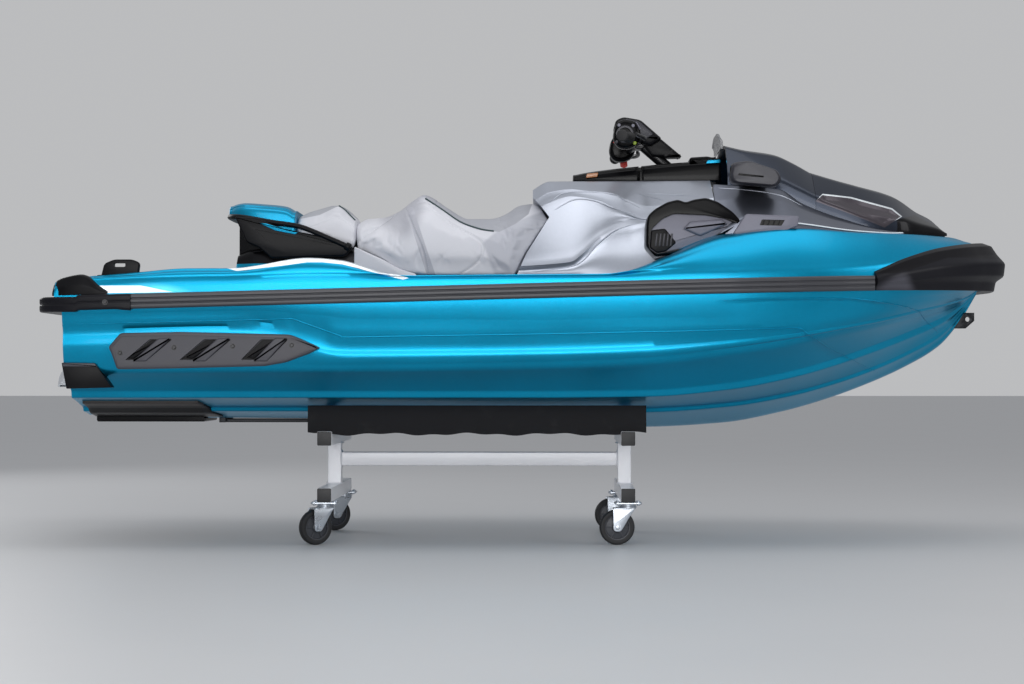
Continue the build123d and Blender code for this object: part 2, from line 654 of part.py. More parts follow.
# Tail fairing behind the rear seat, with its grab rail
# Columns: x, low z, half width low, half width top, top z
TAIL_STATIONS = (
    (-1112, 1180, 110, 90, 1221),
    (-1056, 1150, 150, 110, 1232),
    (-901, 1106, 172, 118, 1219),
    (-863, 1106, 175, 118, 1192),
)
TAIL_EDGE = 24.0
tail = loft_halves([(x, [(low_y, low_z), (low_y, top_z - TAIL_EDGE), (top_y, top_z)])
                    for x, low_z, low_y, top_y, top_z in TAIL_STATIONS])
TAIL_PANEL = ((-1078, 1174), (-1034, 1080), (-991, 1062), (-944, 1015), (-677, 1023), (-648, 1062),
              (-700, 1090),
              (-903, 1130), (-1000, 1170))
TAIL_PANEL_Y = (-222.0, -175.0)
TAIL_CORE = ((-1070, 1030), (-864, 1050), (-864, 1130), (-1056, 1180), (-1070, 1190))
TAIL_CORE_Y = 150.0
tail_core = plate_y(TAIL_CORE, -TAIL_CORE_Y, TAIL_CORE_Y)
tail_core = cut([tail_core], *solids_of(deck), tail)

GRAB_R = 11.0
GRAB_PATH = ((-1112, 0, 1180), (-1112, 90, 1180), (-1080, 165, 1176), (-1040, 188, 1171), (-839, 206, 1136),
             (-665, 212, 1062))
grab_points = [Vector(*point) for point in GRAB_PATH]
grab_full = [Vector(p.X, -p.Y, p.Z) for p in reversed(grab_points[1:])] + grab_points
grab_pieces = [rod(tuple(a), tuple(b), GRAB_R) for a, b in zip(grab_full, grab_full[1:])]
grab_pieces += [ball(point, GRAB_R) for point in grab_full[1:-1]]
grab_rail = fuse(*grab_pieces)
save("grab_rail", grab_rail)
save("tail_cap", cut([tail], *grab_rail))
save("tail_core", cut(tail_core, *grab_rail))
rear_seat = seat_form(REAR_SEAT)
save("rear_seat", rear_seat)
tail_panel = cut([plate_y(TAIL_PANEL, *TAIL_PANEL_Y)], *solids_of(deck), tail, rear_seat, *front_seat,
                 *grab_rail)
tail_panel = max(tail_panel, key=lambda s: s.volume)
save("tail_side_panels", both_sides(tail_panel))

# Cargo fixtures at the rear deck's edge
FIXTURE = ((-1482, 940), (-1360, 944), (-1350, 990), (-1380, 998), (-1440, 998), (-1476, 984))
FIXTURE_Y = (-572.0, -548.0)
FIXTURE_EYE = (-1415.0, 978.0)
FIXTURE_EYE_R = 7.0
fixture = cut([plate_y(FIXTURE, *FIXTURE_Y)], cross_rod(FIXTURE_EYE, -CLEAR_Y, CLEAR_Y, FIXTURE_EYE_R),
              *solids_of(deck))
fixture = max(fixture, key=lambda s: s.volume)
save("cargo_fixtures", both_sides(fixture))

# Mats in the wells and on the platform
MAT_T = 5.0
WELL_MAT_X = (-620.0, 320.0)
WELL_MAT_Y = (-WELL_OUTER_Y + 14.0, -250.0)
PLATFORM_MAT_X = (-1600.0, -1090.0)
PLATFORM_MAT_Y = 510.0
PLATFORM_Z = 926.0
well_mat = block(*WELL_MAT_X, *WELL_MAT_Y, WELL_FLOOR_Z, WELL_FLOOR_Z + MAT_T)
save("footwell_mats", both_sides(well_mat))
platform_mat = cut([block(*PLATFORM_MAT_X, -PLATFORM_MAT_Y, PLATFORM_MAT_Y, PLATFORM_Z - 2,
                          PLATFORM_Z + MAT_T)],
                   *solids_of(deck))
save("platform_mat", max(platform_mat, key=lambda s: s.volume))

# Console ahead of the seat
# Columns: x, then y and z of the foot, the knee line, the lower crease, the upper crease and the top edge
CONSOLE = (
    (-60, 228, 951, 214, 1005, 178, 1150, 160, 1190, 110, 1235),
    (64, 250, 951, 230, 1012, 198, 1226, 186, 1262, 120, 1308),
    (143, 262, 951, 236, 1021, 210, 1247, 198, 1272, 124, 1308),
    (244, 280, 951, 246, 1104, 230, 1228, 212, 1259, 128, 1308),
    (320, 293, 951, 264, 1138, 254, 1190, 228, 1240, 131, 1308),
    (406, 312, 951, 284, 1148, 276, 1160, 252, 1206, 136, 1308),
    (470, 330, 951, 300, 1152, 288, 1168, 270, 1206, 140, 1308),
    (646, 398, 1060, 362, 1150, 342, 1180, 318, 1230, 150, 1308),
)
console_rows = []
for x, y0, z0, y1, z1, y2, z2, y3, z3, y4, z4 in CONSOLE:
    console_rows.append((x, [(y0, z0), (y1, z1), (y2, z2), (y3, z3), (y4, z4)]))
console = loft_halves(console_rows)
console_space = plate_y(SEAM + ((700, 950), (700, WELL_TOP_Z), (2, WELL_TOP_Z)), -CLEAR_Y, CLEAR_Y)
console = max(solids_of(console & console_space), key=lambda s: s.volume)
GLOVE_X = (160.0, 380.0)
GLOVE_Y = 84.0
GLOVE_FLOOR_Z = 1180.0
GLOVE_EDGE = 14.0
glove_bin = block(GLOVE_X[0] + GLOVE_EDGE, GLOVE_X[1] - GLOVE_EDGE, -GLOVE_Y, GLOVE_Y, GLOVE_FLOOR_Z,
                  WELL_TOP_Z)
STEER_POINT = (441.0, 0.0, 1423.0)
STEER_AXIS = (-0.757, 0.0, 0.653)


def on_steering_axis(along, y=0.0, off=0.0):
    """Point on the tilted steering axis; off moves it square to the axis, up and forward."""
    return (STEER_POINT[0] + STEER_AXIS[0] * along + STEER_AXIS[2] * off, y,
            STEER_POINT[2] + STEER_AXIS[2] * along - STEER_AXIS[0] * off)


STEM_R = 20.0
STEM_ROOM = 4.0
STEM_REACH = (60.0, -230.0)


def stem_rod(radius):
    """Round bar on the steering axis, longer than the stem."""
    return rod(on_steering_axis(STEM_REACH[0]), on_steering_axis(STEM_REACH[1]), radius)


stem_bore = stem_rod(STEM_R + STEM_ROOM)
console = cut([console], glove_bin, stem_bore, *solids_of(deck))
save("console_shroud", max(console, key=lambda s: s.volume))

# Black centre cover: lid over the glove box, then the fixed cowl
# Columns: x, half width, top z
COWL = ((150, 90, 1338), (236, 100, 1352), (466, 110, 1374), (612, 115, 1385), (690, 115, 1389))
COWL_LOW_Z = 1308.0
COWL_FRONT_X = 690.0
COWL_SHOULDER = 12.0
COWL_CROWN = 30.0
COWL_PEAK = ((570, 1360), (688, 1366), (688, 1392), (640, 1402), (574, 1396))
COWL_PEAK_Y = 108.0
DISPLAY = ((588, 1375), (676, 1380), (672, 1399), (584, 1394))
DISPLAY_Y = 96.0
cowl_peak = plate_y(COWL_PEAK, -COWL_PEAK_Y, COWL_PEAK_Y)


def cowl_rows(x_low, x_high, low_z):
    xs = [x_low] + [row[0] for row in COWL if x_low < row[0] < x_high] + [x_high]
    rows = []
    for x in xs:
        half_y, top_z = blend(COWL, x, 1), blend(COWL, x, 2)
        rows.append((x, [(half_y, low_z), (half_y - 4, top_z - COWL_SHOULDER),
                         (half_y - COWL_CROWN, top_z)]))
    return rows


# Hinge of the glove box lid: lugs on the cowl, bosses on the lid
LID_FRONT_X = GLOVE_X[1] + 10
LID_PIVOT = (LID_FRONT_X - 5.0, 1358.0)
LID_HINGE_Y = 60.0
LID_PIN_R = 4.0
LID_PIN_HALF = 14.0
LID_BOSS_R = 7.0
LID_BOSS_HALF = 16.0
LID_LUG_REACH = 6.0
LID_ROOM = 60.0
lid = loft_halves(cowl_rows(GLOVE_X[0] - 10, LID_FRONT_X, COWL_LOW_Z + SEAT_GAP))
cowl = loft_halves(cowl_rows(LID_FRONT_X + 2 * MOVE_GAP, COWL_FRONT_X, COWL_LOW_Z))
cowl_lugs = []
for side in (-1, 1):
    low, high = span(side, LID_HINGE_Y - LUG_HALF, LID_HINGE_Y + LUG_HALF)
    cowl_lugs.append(block(LID_PIVOT[0] - LID_LUG_REACH, LID_FRONT_X + 15, low, high,
                           LID_PIVOT[1] - LID_LUG_REACH,
                           LID_PIVOT[1] + LID_LUG_REACH))
    cowl_lugs.append(cross_rod(LID_PIVOT, *span(side, LID_HINGE_Y - LID_PIN_HALF,
                                                LID_HINGE_Y + LID_PIN_HALF),
                               LID_PIN_R))
    lug_space = block(LID_PIVOT[0] - LID_ROOM, LID_FRONT_X + 15, low - 2, high + 2, COWL_LOW_Z - MOVE_GAP,
                      LID_PIVOT[1] + LID_ROOM)
    boss_low, boss_high = span(side, LID_HINGE_Y - LID_BOSS_HALF, LID_HINGE_Y + LID_BOSS_HALF)
    lid = fuse(*solids_of(lid), cross_rod(LID_PIVOT, boss_low, boss_high, LID_BOSS_R))
    lid = cut(lid, lug_space, cross_rod(LID_PIVOT, boss_low - 1, boss_high + 1, LID_PIN_R + PIN_GAP))
save("glovebox_lid", lid)
display_bed = plate_y(DISPLAY, -DISPLAY_Y, DISPLAY_Y)
save("console_cowl", cut(fuse(cowl, *cowl_lugs, cowl_peak), stem_rod(STEM_R + PIN_GAP), display_bed))
save("gauge_display", display_bed)

# Handlebar group on the tilted steering axis
BAR_R = 11.0
GRIP_R = 17.0
BAR_CENTRE = on_steering_axis(60, 0, 0)
BAR_IN = (BAR_CENTRE[0] - 6, -110.0, BAR_CENTRE[2] - 4)
BAR_END = (317.0, -390.0, 1444.0)
BAR_SHARE = 0.97
GRIP_SHARE = 0.56
SWITCH_SHARES = (0.42, 0.555)
SWITCH_R = 24.0
STEM_TOP = 62.0
STEM_FOOT = -200.0


def on_bar(share, ahead=0.0, above=0.0):
    """Point between the bar's bend and its end, moved ahead and above."""
    x, y, z = (inner + share * (outer - inner) for inner, outer in zip(BAR_IN, BAR_END))
    return (x + ahead, y, z + above)


def starboard_bar(share):
    return fuse(rod(BAR_CENTRE, BAR_IN, BAR_R), ball(BAR_IN, BAR_R), rod(BAR_IN, on_bar(share), BAR_R))


bar_half = starboard_bar(BAR_SHARE)
stem = rod(on_steering_axis(STEM_TOP), on_steering_axis(STEM_FOOT), STEM_R)
save("handlebar", fuse(*bar_half, *[other_side(piece) for piece in bar_half], stem))
bar_space = starboard_bar(BAR_SHARE + 0.001)
FLANGE_R = GRIP_R + 4.0
FLANGES = ((GRIP_SHARE, GRIP_SHARE + 0.02), (0.97, 0.99))
grip = fuse(rod(on_bar(GRIP_SHARE), BAR_END, GRIP_R), *[rod(on_bar(a), on_bar(b), FLANGE_R) for a,
                                                        b in FLANGES])
grip = cut(grip, *bar_space)
save("handlebar_grips", [piece for half in grip for piece in both_sides(half)])
switch = cut([rod(on_bar(SWITCH_SHARES[0]), on_bar(SWITCH_SHARES[1]), SWITCH_R)], *bar_space)
save("switch_housings", [piece for half in switch for piece in both_sides(half)])
LEVER_R = 6.0
lever = rod(on_bar(0.48, 26, 12), on_bar(0.86, 46, 16), LEVER_R)
save("control_levers", both_sides(max(cut([lever], *switch), key=lambda s: s.volume)))
COVER_HEAD = ((332, 1550), (398, 1539), (478, 1470), (430, 1440), (330, 1500))
COVER_NECK = ((398, 1530), (478, 1470), (556, 1403), (500, 1402), (440, 1404), (380, 1480))
COVER_Y = 75.0
NECK_Y = 42.0
cover = fuse(plate_y(COVER_HEAD, -COVER_Y, COVER_Y), plate_y(COVER_NECK, -NECK_Y, NECK_Y))
save("column_cover", cut(cover, *bar_space, *[other_side(piece) for piece in bar_space], stem))
LANYARD_R = 6.0
LANYARD = ((340, -60, 1515), (304, -60, 1450))
lanyard = cut([rod(*LANYARD, LANYARD_R)], *cover)
save("lanyard_clip", max(lanyard, key=lambda s: s.volume))

# Silver side panels between the flank's edge and the hood
# Columns: x, foot y and z, top edge y and z
SIDE_PANELS = ((648, 432, 1100, 268, 1283), (765, 452, 1150, 285, 1275), (880, 458, 1132, 300, 1262),
               (962, 450, 1124, 318, 1208), (1111, 418, 1106, 336, 1150), (1250, 366, 1100, 340, 1112),
               (1317, 334, 1100, 326, 1104))
PANEL_T = 16.0
PANEL_ROOT_Z = 1060.0
panel = loft_side([(x, [(-(foot_y - 2 * PANEL_T), PANEL_ROOT_Z), (-foot_y, PANEL_ROOT_Z), (-foot_y, foot_z),
                        (-top_y, top_z), (-(top_y - PANEL_T), top_z)])
                   for x, foot_y, foot_z, top_y, top_z in SIDE_PANELS])
side_panels = both_sides(max(cut([panel], *solids_of(deck)), key=lambda s: s.volume))
save("side_panels", side_panels)

# Hood over the front bin: the mirror cowl behind, the hood ahead, hinged together at the nose
# Columns: x, edge y and z, shoulder y, top z
MIRROR_COWL = ((700, 270, 1250, 190, 1446), (770, 278, 1245, 190, 1430), (881, 292, 1235, 190, 1412),
               (1009, 310, 1175, 195, 1347))
HOOD = ((1009.3, 310, 1175, 195, 1347), (1111, 328, 1130, 205, 1316), (1178, 334, 1095, 200, 1298),
        (1308, 318, 1085, 180, 1261), (1400, 262, 1085, 150, 1205), (1467, 212, 1085, 120, 1172),
        (1504, 178, 1085, 90, 1126))
HOOD_WALL = 12.0
HOOD_CROWN = 22.0
HOOD_ROOM = 200.0


def hood_rows(table, inset, ends):
    rows = []
    last = len(table) - 1
    for index, (x, edge_y, edge_z, top_y, top_z) in enumerate(table):
        x += inset * (ends[0] if index == 0 else 0) - inset * (ends[1] if index == last else 0)
        foot_z = edge_z - (HOOD_ROOM if inset else 0)
        rows.append((x, [(edge_y - inset, foot_z), (edge_y - inset, edge_z + 0.35 * (top_z - edge_z)),
                         (top_y - inset, top_z - HOOD_CROWN - inset), (0.5 * top_y, top_z - inset)]))
    return rows


def lifted(shapes):
    return [solid.moved(Location((0, 0, SEAT_GAP))) for solid in solids_of(shapes)]


rests = lifted(deck) + lifted(side_panels) + side_panels
mirror_cowl = cut([loft_halves(hood_rows(MIRROR_COWL, 0, (0, 0)))],
                  loft_halves(hood_rows(MIRROR_COWL, HOOD_WALL, (1, -1))), *rests)
mirror_cowl = max(mirror_cowl, key=lambda s: s.volume)
save("mirror_cowl", mirror_cowl)
hood = cut([loft_halves(hood_rows(HOOD, 0, (0, 0)))], loft_halves(hood_rows(HOOD, HOOD_WALL, (-1, 1))),
           *rests)
hood = [max(hood, key=lambda s: s.volume)]
HOOD_INSET = ((1020, 1226), (1040, 1240), (1141, 1230), (1284, 1190), (1309, 1164), (1252, 1134))
INSET_DEPTH = 5.0
INSET_ROOT_Y = 120.0
inset_core = loft_halves(hood_rows(HOOD, INSET_DEPTH, (0, 0)))
inset_space = cut([plate_y(HOOD_INSET, -CLEAR_Y, -INSET_ROOT_Y)], inset_core)
hood = cut(hood, *inset_space, *[other_side(piece) for piece in inset_space])
hood = [max(hood, key=lambda s: s.volume)]
BOSS_R = 10.0
BOSS_HALF = 5.0
BOSS_OFFSET = LUG_HALF + 7.0
LUG_ROOM = 1.5
HOOD_TOE = (12.0, 5.0)
for side in (-1, 1):
    for step in (-1, 1):
        centre = side * HINGE_Y + step * BOSS_OFFSET
        hood = fuse(*hood, cross_rod(HOOD_PIVOT, centre - BOSS_HALF, centre + BOSS_HALF, BOSS_R))
    low, high = span(side, HINGE_Y - LUG_HALF - LUG_ROOM, HINGE_Y + LUG_HALF + LUG_ROOM)
    lug_space = block(HOOD_PIVOT[0] - 2 * BOSS_R, HOOD_PIVOT[0] + 2 * BOSS_R, low, high, LUG_ROOT_Z,
                      HOOD_PIVOT[1] + 2 * BOSS_R)
    pin_space = cross_rod(HOOD_PIVOT, *span(side, HINGE_Y - HINGE_PIN_HALF - 2,
                                            HINGE_Y + HINGE_PIN_HALF + 2),
                          HINGE_PIN_R + PIN_GAP)
    hood = cut(hood, lug_space, pin_space)
toe_space = [solid.moved(Location((0, 0, HOOD_TOE[1]))) for solid in solids_of(deck)]
toe_box = block(HOOD_PIVOT[0] - HOOD_TOE[0], BOW_X, -CLEAR_Y, CLEAR_Y, LUG_ROOT_Z, HOOD_PIVOT[1] - BOSS_R)
hood = cut(hood, *[solids_of(solid & toe_box)[0] for solid in toe_space])
save("hood", max(solids_of(hood), key=lambda s: s.volume))
DEFLECTOR = ((686, 1420), (699.7, 1420), (699.7, 1456), (684, 1491), (677, 1491))
DEFLECTOR_Y = 150.0
save("wind_deflector", plate_y(DEFLECTOR, -DEFLECTOR_Y, DEFLECTOR_Y))

# Flank pieces: pods beside the console, vents ahead of them, mirrors on the cowl
POD = ((401, 1090), (415, 1060), (470, 1030), (560, 1012), (640, 1030), (735, 1110), (732, 1150),
       (650, 1205),
       (560, 1222), (470, 1215), (415, 1190), (401, 1160))
POD_CENTRE = (565.0, 1120.0)
POD_Y = (-448.0, -300.0)
POD_RIM = 0.80
POD_RECESS = 16.0


def scaled(points, centre, factor):
    return [(centre[0] + factor * (x - centre[0]), centre[1] + factor * (z - centre[1])) for x, z in points]


pod_recess = plate_y(scaled(POD, POD_CENTRE, POD_RIM), POD_Y[0] - 1, POD_Y[0] + POD_RECESS)
pod = cut([plate_y(POD, *POD_Y)], pod_recess, *solids_of(deck), *console, *side_panels)
pod = max(pod, key=lambda s: s.volume)
save("speaker_pods", both_sides(pod))
VENT = ((700, 1090), (745, 1160), (930, 1152), (925, 1118), (880, 1100), (760, 1080))
VENT_SLOT = ((790, 1118), (800, 1140), (880, 1138), (868, 1118))
VENT_Y = (-478.0, -440.0)
VENT_DEPTH = 8.0
vent_slot = plate_y(VENT_SLOT, VENT_Y[0] - 1, VENT_Y[0] + VENT_DEPTH)
vent = cut([plate_y(VENT, *VENT_Y)], vent_slot, *solids_of(deck), *side_panels, pod)
save("side_vents", both_sides(max(vent, key=lambda s: s.volume)))
# Columns: y, then how much the mirror's side outline shrinks about its centre
MIRROR = ((689, 1298), (700, 1272), (860, 1258), (879, 1285), (862, 1318), (760, 1352), (700, 1345))
MIRROR_CENTRE = (800.0, 1300.0)
MIRROR_SECTIONS = ((-240, 0.55), (-330, 0.8), (-372, 1.0), (-425, 0.96), (-436, 0.86))
mirror = Solid.make_loft([polygon([(x, y, z) for x, z in scaled(MIRROR, MIRROR_CENTRE, size)])
                          for y, size in MIRROR_SECTIONS], True)
MIRROR_GLASS = (660.0, 703.0, -422.0, -346.0, 1288.0, 1332.0)
mirror = cut([mirror], loft_halves(hood_rows(MIRROR_COWL, 0, (0, 0))), *lifted(side_panels),
             block(*MIRROR_GLASS))
save("mirrors", both_sides(max(mirror, key=lambda s: s.volume)))

# Eyes for lines
EYE_R = 9.0
BOW_EYE = ((1560, 772), (1600, 772), (1632, 800), (1632, 830), (1570, 830))
BOW_EYE_HOLE = (1608.0, 806.0)
EYE_HALF = 8.0
bow_eye = cut([plate_y(BOW_EYE, -EYE_HALF, EYE_HALF)], cross_rod(BOW_EYE_HOLE, -CLEAR_Y, CLEAR_Y, EYE_R),
              *solids_of(hull))
save("bow_eye", max(bow_eye, key=lambda s: s.volume))
STERN_EYE_Y = 350.0
STERN_EYE_Z = 780.0
STERN_EYE_REACH = 40.0
STERN_EYE_HOLE = (TRANSOM_X - 22.0, STERN_EYE_Z)
stern_eye = block(TRANSOM_X - STERN_EYE_REACH, TRANSOM_X, -STERN_EYE_Y - EYE_HALF, -STERN_EYE_Y + EYE_HALF,
                  STERN_EYE_Z - 20, STERN_EYE_Z + 20)
stern_eye = cut([stern_eye], cross_rod(STERN_EYE_HOLE, -CLEAR_Y, CLEAR_Y, EYE_R))
save("stern_eyes", [piece for eye in stern_eye for piece in both_sides(eye)])

# Dolly: two cross frames and one long beam, in square tube
FRAME_X = (-733.0, 339.0)
TUBE = 50.0
BEAM_Y = 380.0
WHEEL_R = 62.5
WHEEL_ROOM = 5.0
CROWN_LOW = 14.0
PLATE_T = 6.0
LOW_BEAM_Z = 2 * WHEEL_R + WHEEL_ROOM + CROWN_LOW + PLATE_T
LONG_BEAM_Z = 265.0
HIGH_BEAM_Z = 350.0
HALF_TUBE = TUBE / 2


def cross_frame(half_y, z_low, z_high):
    """One square piece of both cross frames."""
    return [block(x - HALF_TUBE, x + HALF_TUBE, -half_y, half_y, z_low, z_high) for x in FRAME_X]


save("dolly_lower_beams", cross_frame(BEAM_Y, LOW_BEAM_Z, LOW_BEAM_Z + TUBE))
save("dolly_upper_beams", cross_frame(BEAM_Y, HIGH_BEAM_Z, HIGH_BEAM_Z + TUBE))
uprights = cross_frame(HALF_TUBE, LOW_BEAM_Z + TUBE, HIGH_BEAM_Z)
long_beam = block(FRAME_X[0], FRAME_X[1], -HALF_TUBE, HALF_TUBE, LONG_BEAM_Z, LONG_BEAM_Z + TUBE)
save("dolly_spine", fuse(*uprights, long_beam))
CAP_T = 4.0
end_caps = [block(x - HALF_TUBE, x + HALF_TUBE, *span(side, BEAM_Y, BEAM_Y + CAP_T), z, z + TUBE)
            for x in FRAME_X for side in (-1, 1) for z in (LOW_BEAM_Z, HIGH_BEAM_Z)]
save("dolly_end_caps", end_caps)

# Bunks that carry the hull
BUNK_X = (-795.0, 404.0)
BUNK_Y = (300.0, 350.0)
BUNK_TOP_Z = 520.0
bunk = block(*BUNK_X, -BUNK_Y[1], -BUNK_Y[0], HIGH_BEAM_Z + TUBE, BUNK_TOP_Z)
bunk = cut([bunk], *solids_of(hull))
bunk = min(bunk, key=lambda s: s.bounding_box().min.Z)
save("dolly_bunks", both_sides(bunk))

# Casters
WHEEL_W = 32.0
AXLE_R = 6.0
TRAIL = 39.0
CASTER_Y = 345.0
PLATE_X = 48.0
PLATE_Y = 40.0
FORK_T = 4.0
FORK_SIDE = 5.0
HEAD_R = 30.0
HUB_RECESS = (20.0, 42.0)
HUB_DEPTH = 5.0
PLATE_BOLT = (36.0, 29.0)
PLATE_BOLT_R = 6.0
PLATE_BOLT_HEAD = 4.0
# Columns: name, x, y, yaw of the trailing wheel from straight aft in degrees
CASTERS = (
    ("stern_starboard", FRAME_X[0], -CASTER_Y, 35),
    ("stern_port", FRAME_X[0], CASTER_Y, 30),
    ("bow_starboard", FRAME_X[1], -CASTER_Y, 5),
    ("bow_port", FRAME_X[1], CASTER_Y, 8),
)
FORK_TOP = LOW_BEAM_Z - PLATE_T
plates = []
for _, x, y, _ in CASTERS:
    bolts = [rod((x + along, y + across, FORK_TOP - PLATE_BOLT_HEAD), (x + along, y + across, FORK_TOP + 1),
                 PLATE_BOLT_R)
             for along in (-PLATE_BOLT[0], PLATE_BOLT[0]) for across in (-PLATE_BOLT[1], PLATE_BOLT[1])]
    plates += fuse(block(x - PLATE_X, x + PLATE_X, y - PLATE_Y, y + PLATE_Y, FORK_TOP, LOW_BEAM_Z), *bolts)
save("caster_plates", plates)
CROWN_Z = FORK_TOP - CROWN_LOW
LEG_IN = WHEEL_W / 2 + FORK_SIDE
LEG_OUT = LEG_IN + FORK_T
for name, x, y, yaw in CASTERS:
    swivel = Axis((x, y, 0), (0, 0, 1))
    axle_x = x - TRAIL
    head = rod((x, y, CROWN_Z), (x, y, FORK_TOP - SEAT_GAP), HEAD_R)
    crown = block(axle_x - 16, x + 26, y - LEG_OUT, y + LEG_OUT, CROWN_Z - FORK_T, CROWN_Z)
    legs = []
    for side in (-1, 1):
        low, high = span(side, LEG_IN, LEG_OUT)
        legs.append(plate_y([(axle_x - 16, CROWN_Z), (x + 24, CROWN_Z), (axle_x + 14, WHEEL_R - 10),
                             (axle_x - 14, WHEEL_R - 10)], y + low, y + high))
    axle = cross_rod((axle_x, WHEEL_R), y - LEG_OUT - FORK_T, y + LEG_OUT + FORK_T, AXLE_R)
    save(f"caster_fork_{name}", [piece.rotate(swivel, yaw) for piece in fuse(head, crown, *legs, axle)])
    tyre = cross_rod((axle_x, WHEEL_R), y - WHEEL_W / 2, y + WHEEL_W / 2, WHEEL_R)
    recesses = []
    for side in (-1, 1):
        low, high = sorted((y + side * (WHEEL_W / 2 - HUB_DEPTH), y + side * WHEEL_W))
        recesses += cut([cross_rod((axle_x, WHEEL_R), low, high, HUB_RECESS[1])],
                        cross_rod((axle_x, WHEEL_R), low - 1, high + 1, HUB_RECESS[0]))
    wheel = cut([tyre], *recesses, cross_rod((axle_x, WHEEL_R), y - WHEEL_W, y + WHEEL_W, AXLE_R + PIN_GAP))
    save(f"caster_wheel_{name}", [piece.rotate(swivel, yaw) for piece in wheel])
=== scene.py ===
"""Three-seat personal watercraft on its wheeled launching dolly.

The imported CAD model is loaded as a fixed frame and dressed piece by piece. Sizes are in
millimetres in the code and are brought to metres where a mesh is made. +X is the bow,
+Y is port, +Z is up, and the floor is at Z = 0.
"""
from __future__ import annotations

import logging
import math
from dataclasses import dataclass, field
from enum import Enum
from typing import Any, Callable, Iterable, Optional, Sequence

import bmesh
import bpy
import numpy as np
from mathutils import Matrix, Vector
from mathutils.bvhtree import BVHTree
from mathutils.kdtree import KDTree


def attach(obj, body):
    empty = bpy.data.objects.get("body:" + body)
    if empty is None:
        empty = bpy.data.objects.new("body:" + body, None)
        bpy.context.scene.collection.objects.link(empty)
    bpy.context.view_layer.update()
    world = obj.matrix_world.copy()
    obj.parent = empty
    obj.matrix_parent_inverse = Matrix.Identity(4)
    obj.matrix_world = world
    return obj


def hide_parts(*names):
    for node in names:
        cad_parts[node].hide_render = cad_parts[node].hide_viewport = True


logging.basicConfig(level=logging.INFO, format="%(levelname)s %(message)s")
LOG = logging.getLogger("watercraft")

MM = 0.001
STARBOARD = -1
PORT = 1
SIDES = (STARBOARD, PORT)
Point = tuple[float, float, float]
Flat = tuple[float, float]
Row = tuple[float, ...]
Colour = tuple[float, float, float, float]
Piece = bpy.types.Object


def srgb(red: int, green: int, blue: int) -> Colour:
    """A screen colour in 0-255 steps as the linear colour that a shader takes."""
    linear = [(c / 255 / 12.92) if c <= 10 else ((c / 255 + 0.055) / 1.055) ** 2.4
              for c in (red, green, blue)]
    return (*linear, 1.0)


# ---- node graphs ----


class Wire:
    """A node's output, with the arithmetic that shader maths is written in."""

    def __init__(self, graph: "Graph", socket: bpy.types.NodeSocket) -> None:
        """Keeps the graph that the socket belongs to, so that operators can add nodes."""
        self.graph = graph
        self.socket = socket

    def maths(self, operation: str, *others: Any) -> "Wire":
        """A Math node on this value and the others.

        Args:
            operation: The Math node's operation.
            others: Further wires or plain numbers.

        Returns:
            The result as a new wire.
        """
        return self.graph.node("ShaderNodeMath", {"operation": operation}, self, *others)

    def __add__(self, other: Any) -> "Wire":
        """Sum."""
        return self.maths("ADD", other)

    __radd__ = __add__

    def __sub__(self, other: Any) -> "Wire":
        """Difference."""
        return self.maths("SUBTRACT", other)

    def __rsub__(self, other: Any) -> "Wire":
        """Difference with the plain number first."""
        return self.graph.node("ShaderNodeMath", {"operation": "SUBTRACT"}, other, self)

    def __mul__(self, other: Any) -> "Wire":
        """Product."""
        return self.maths("MULTIPLY", other)

    __rmul__ = __mul__

    def most(self, other: Any) -> "Wire":
        """The larger of two values."""
        return self.maths("MAXIMUM", other)

    def step(self, low: float, high: float) -> "Wire":
        """Smooth rise from 0 at low to 1 at high."""
        return self.graph.node("ShaderNodeMapRange", {"interpolation_type": "SMOOTHSTEP"}, self, low, high,
                               0.0, 1.0)


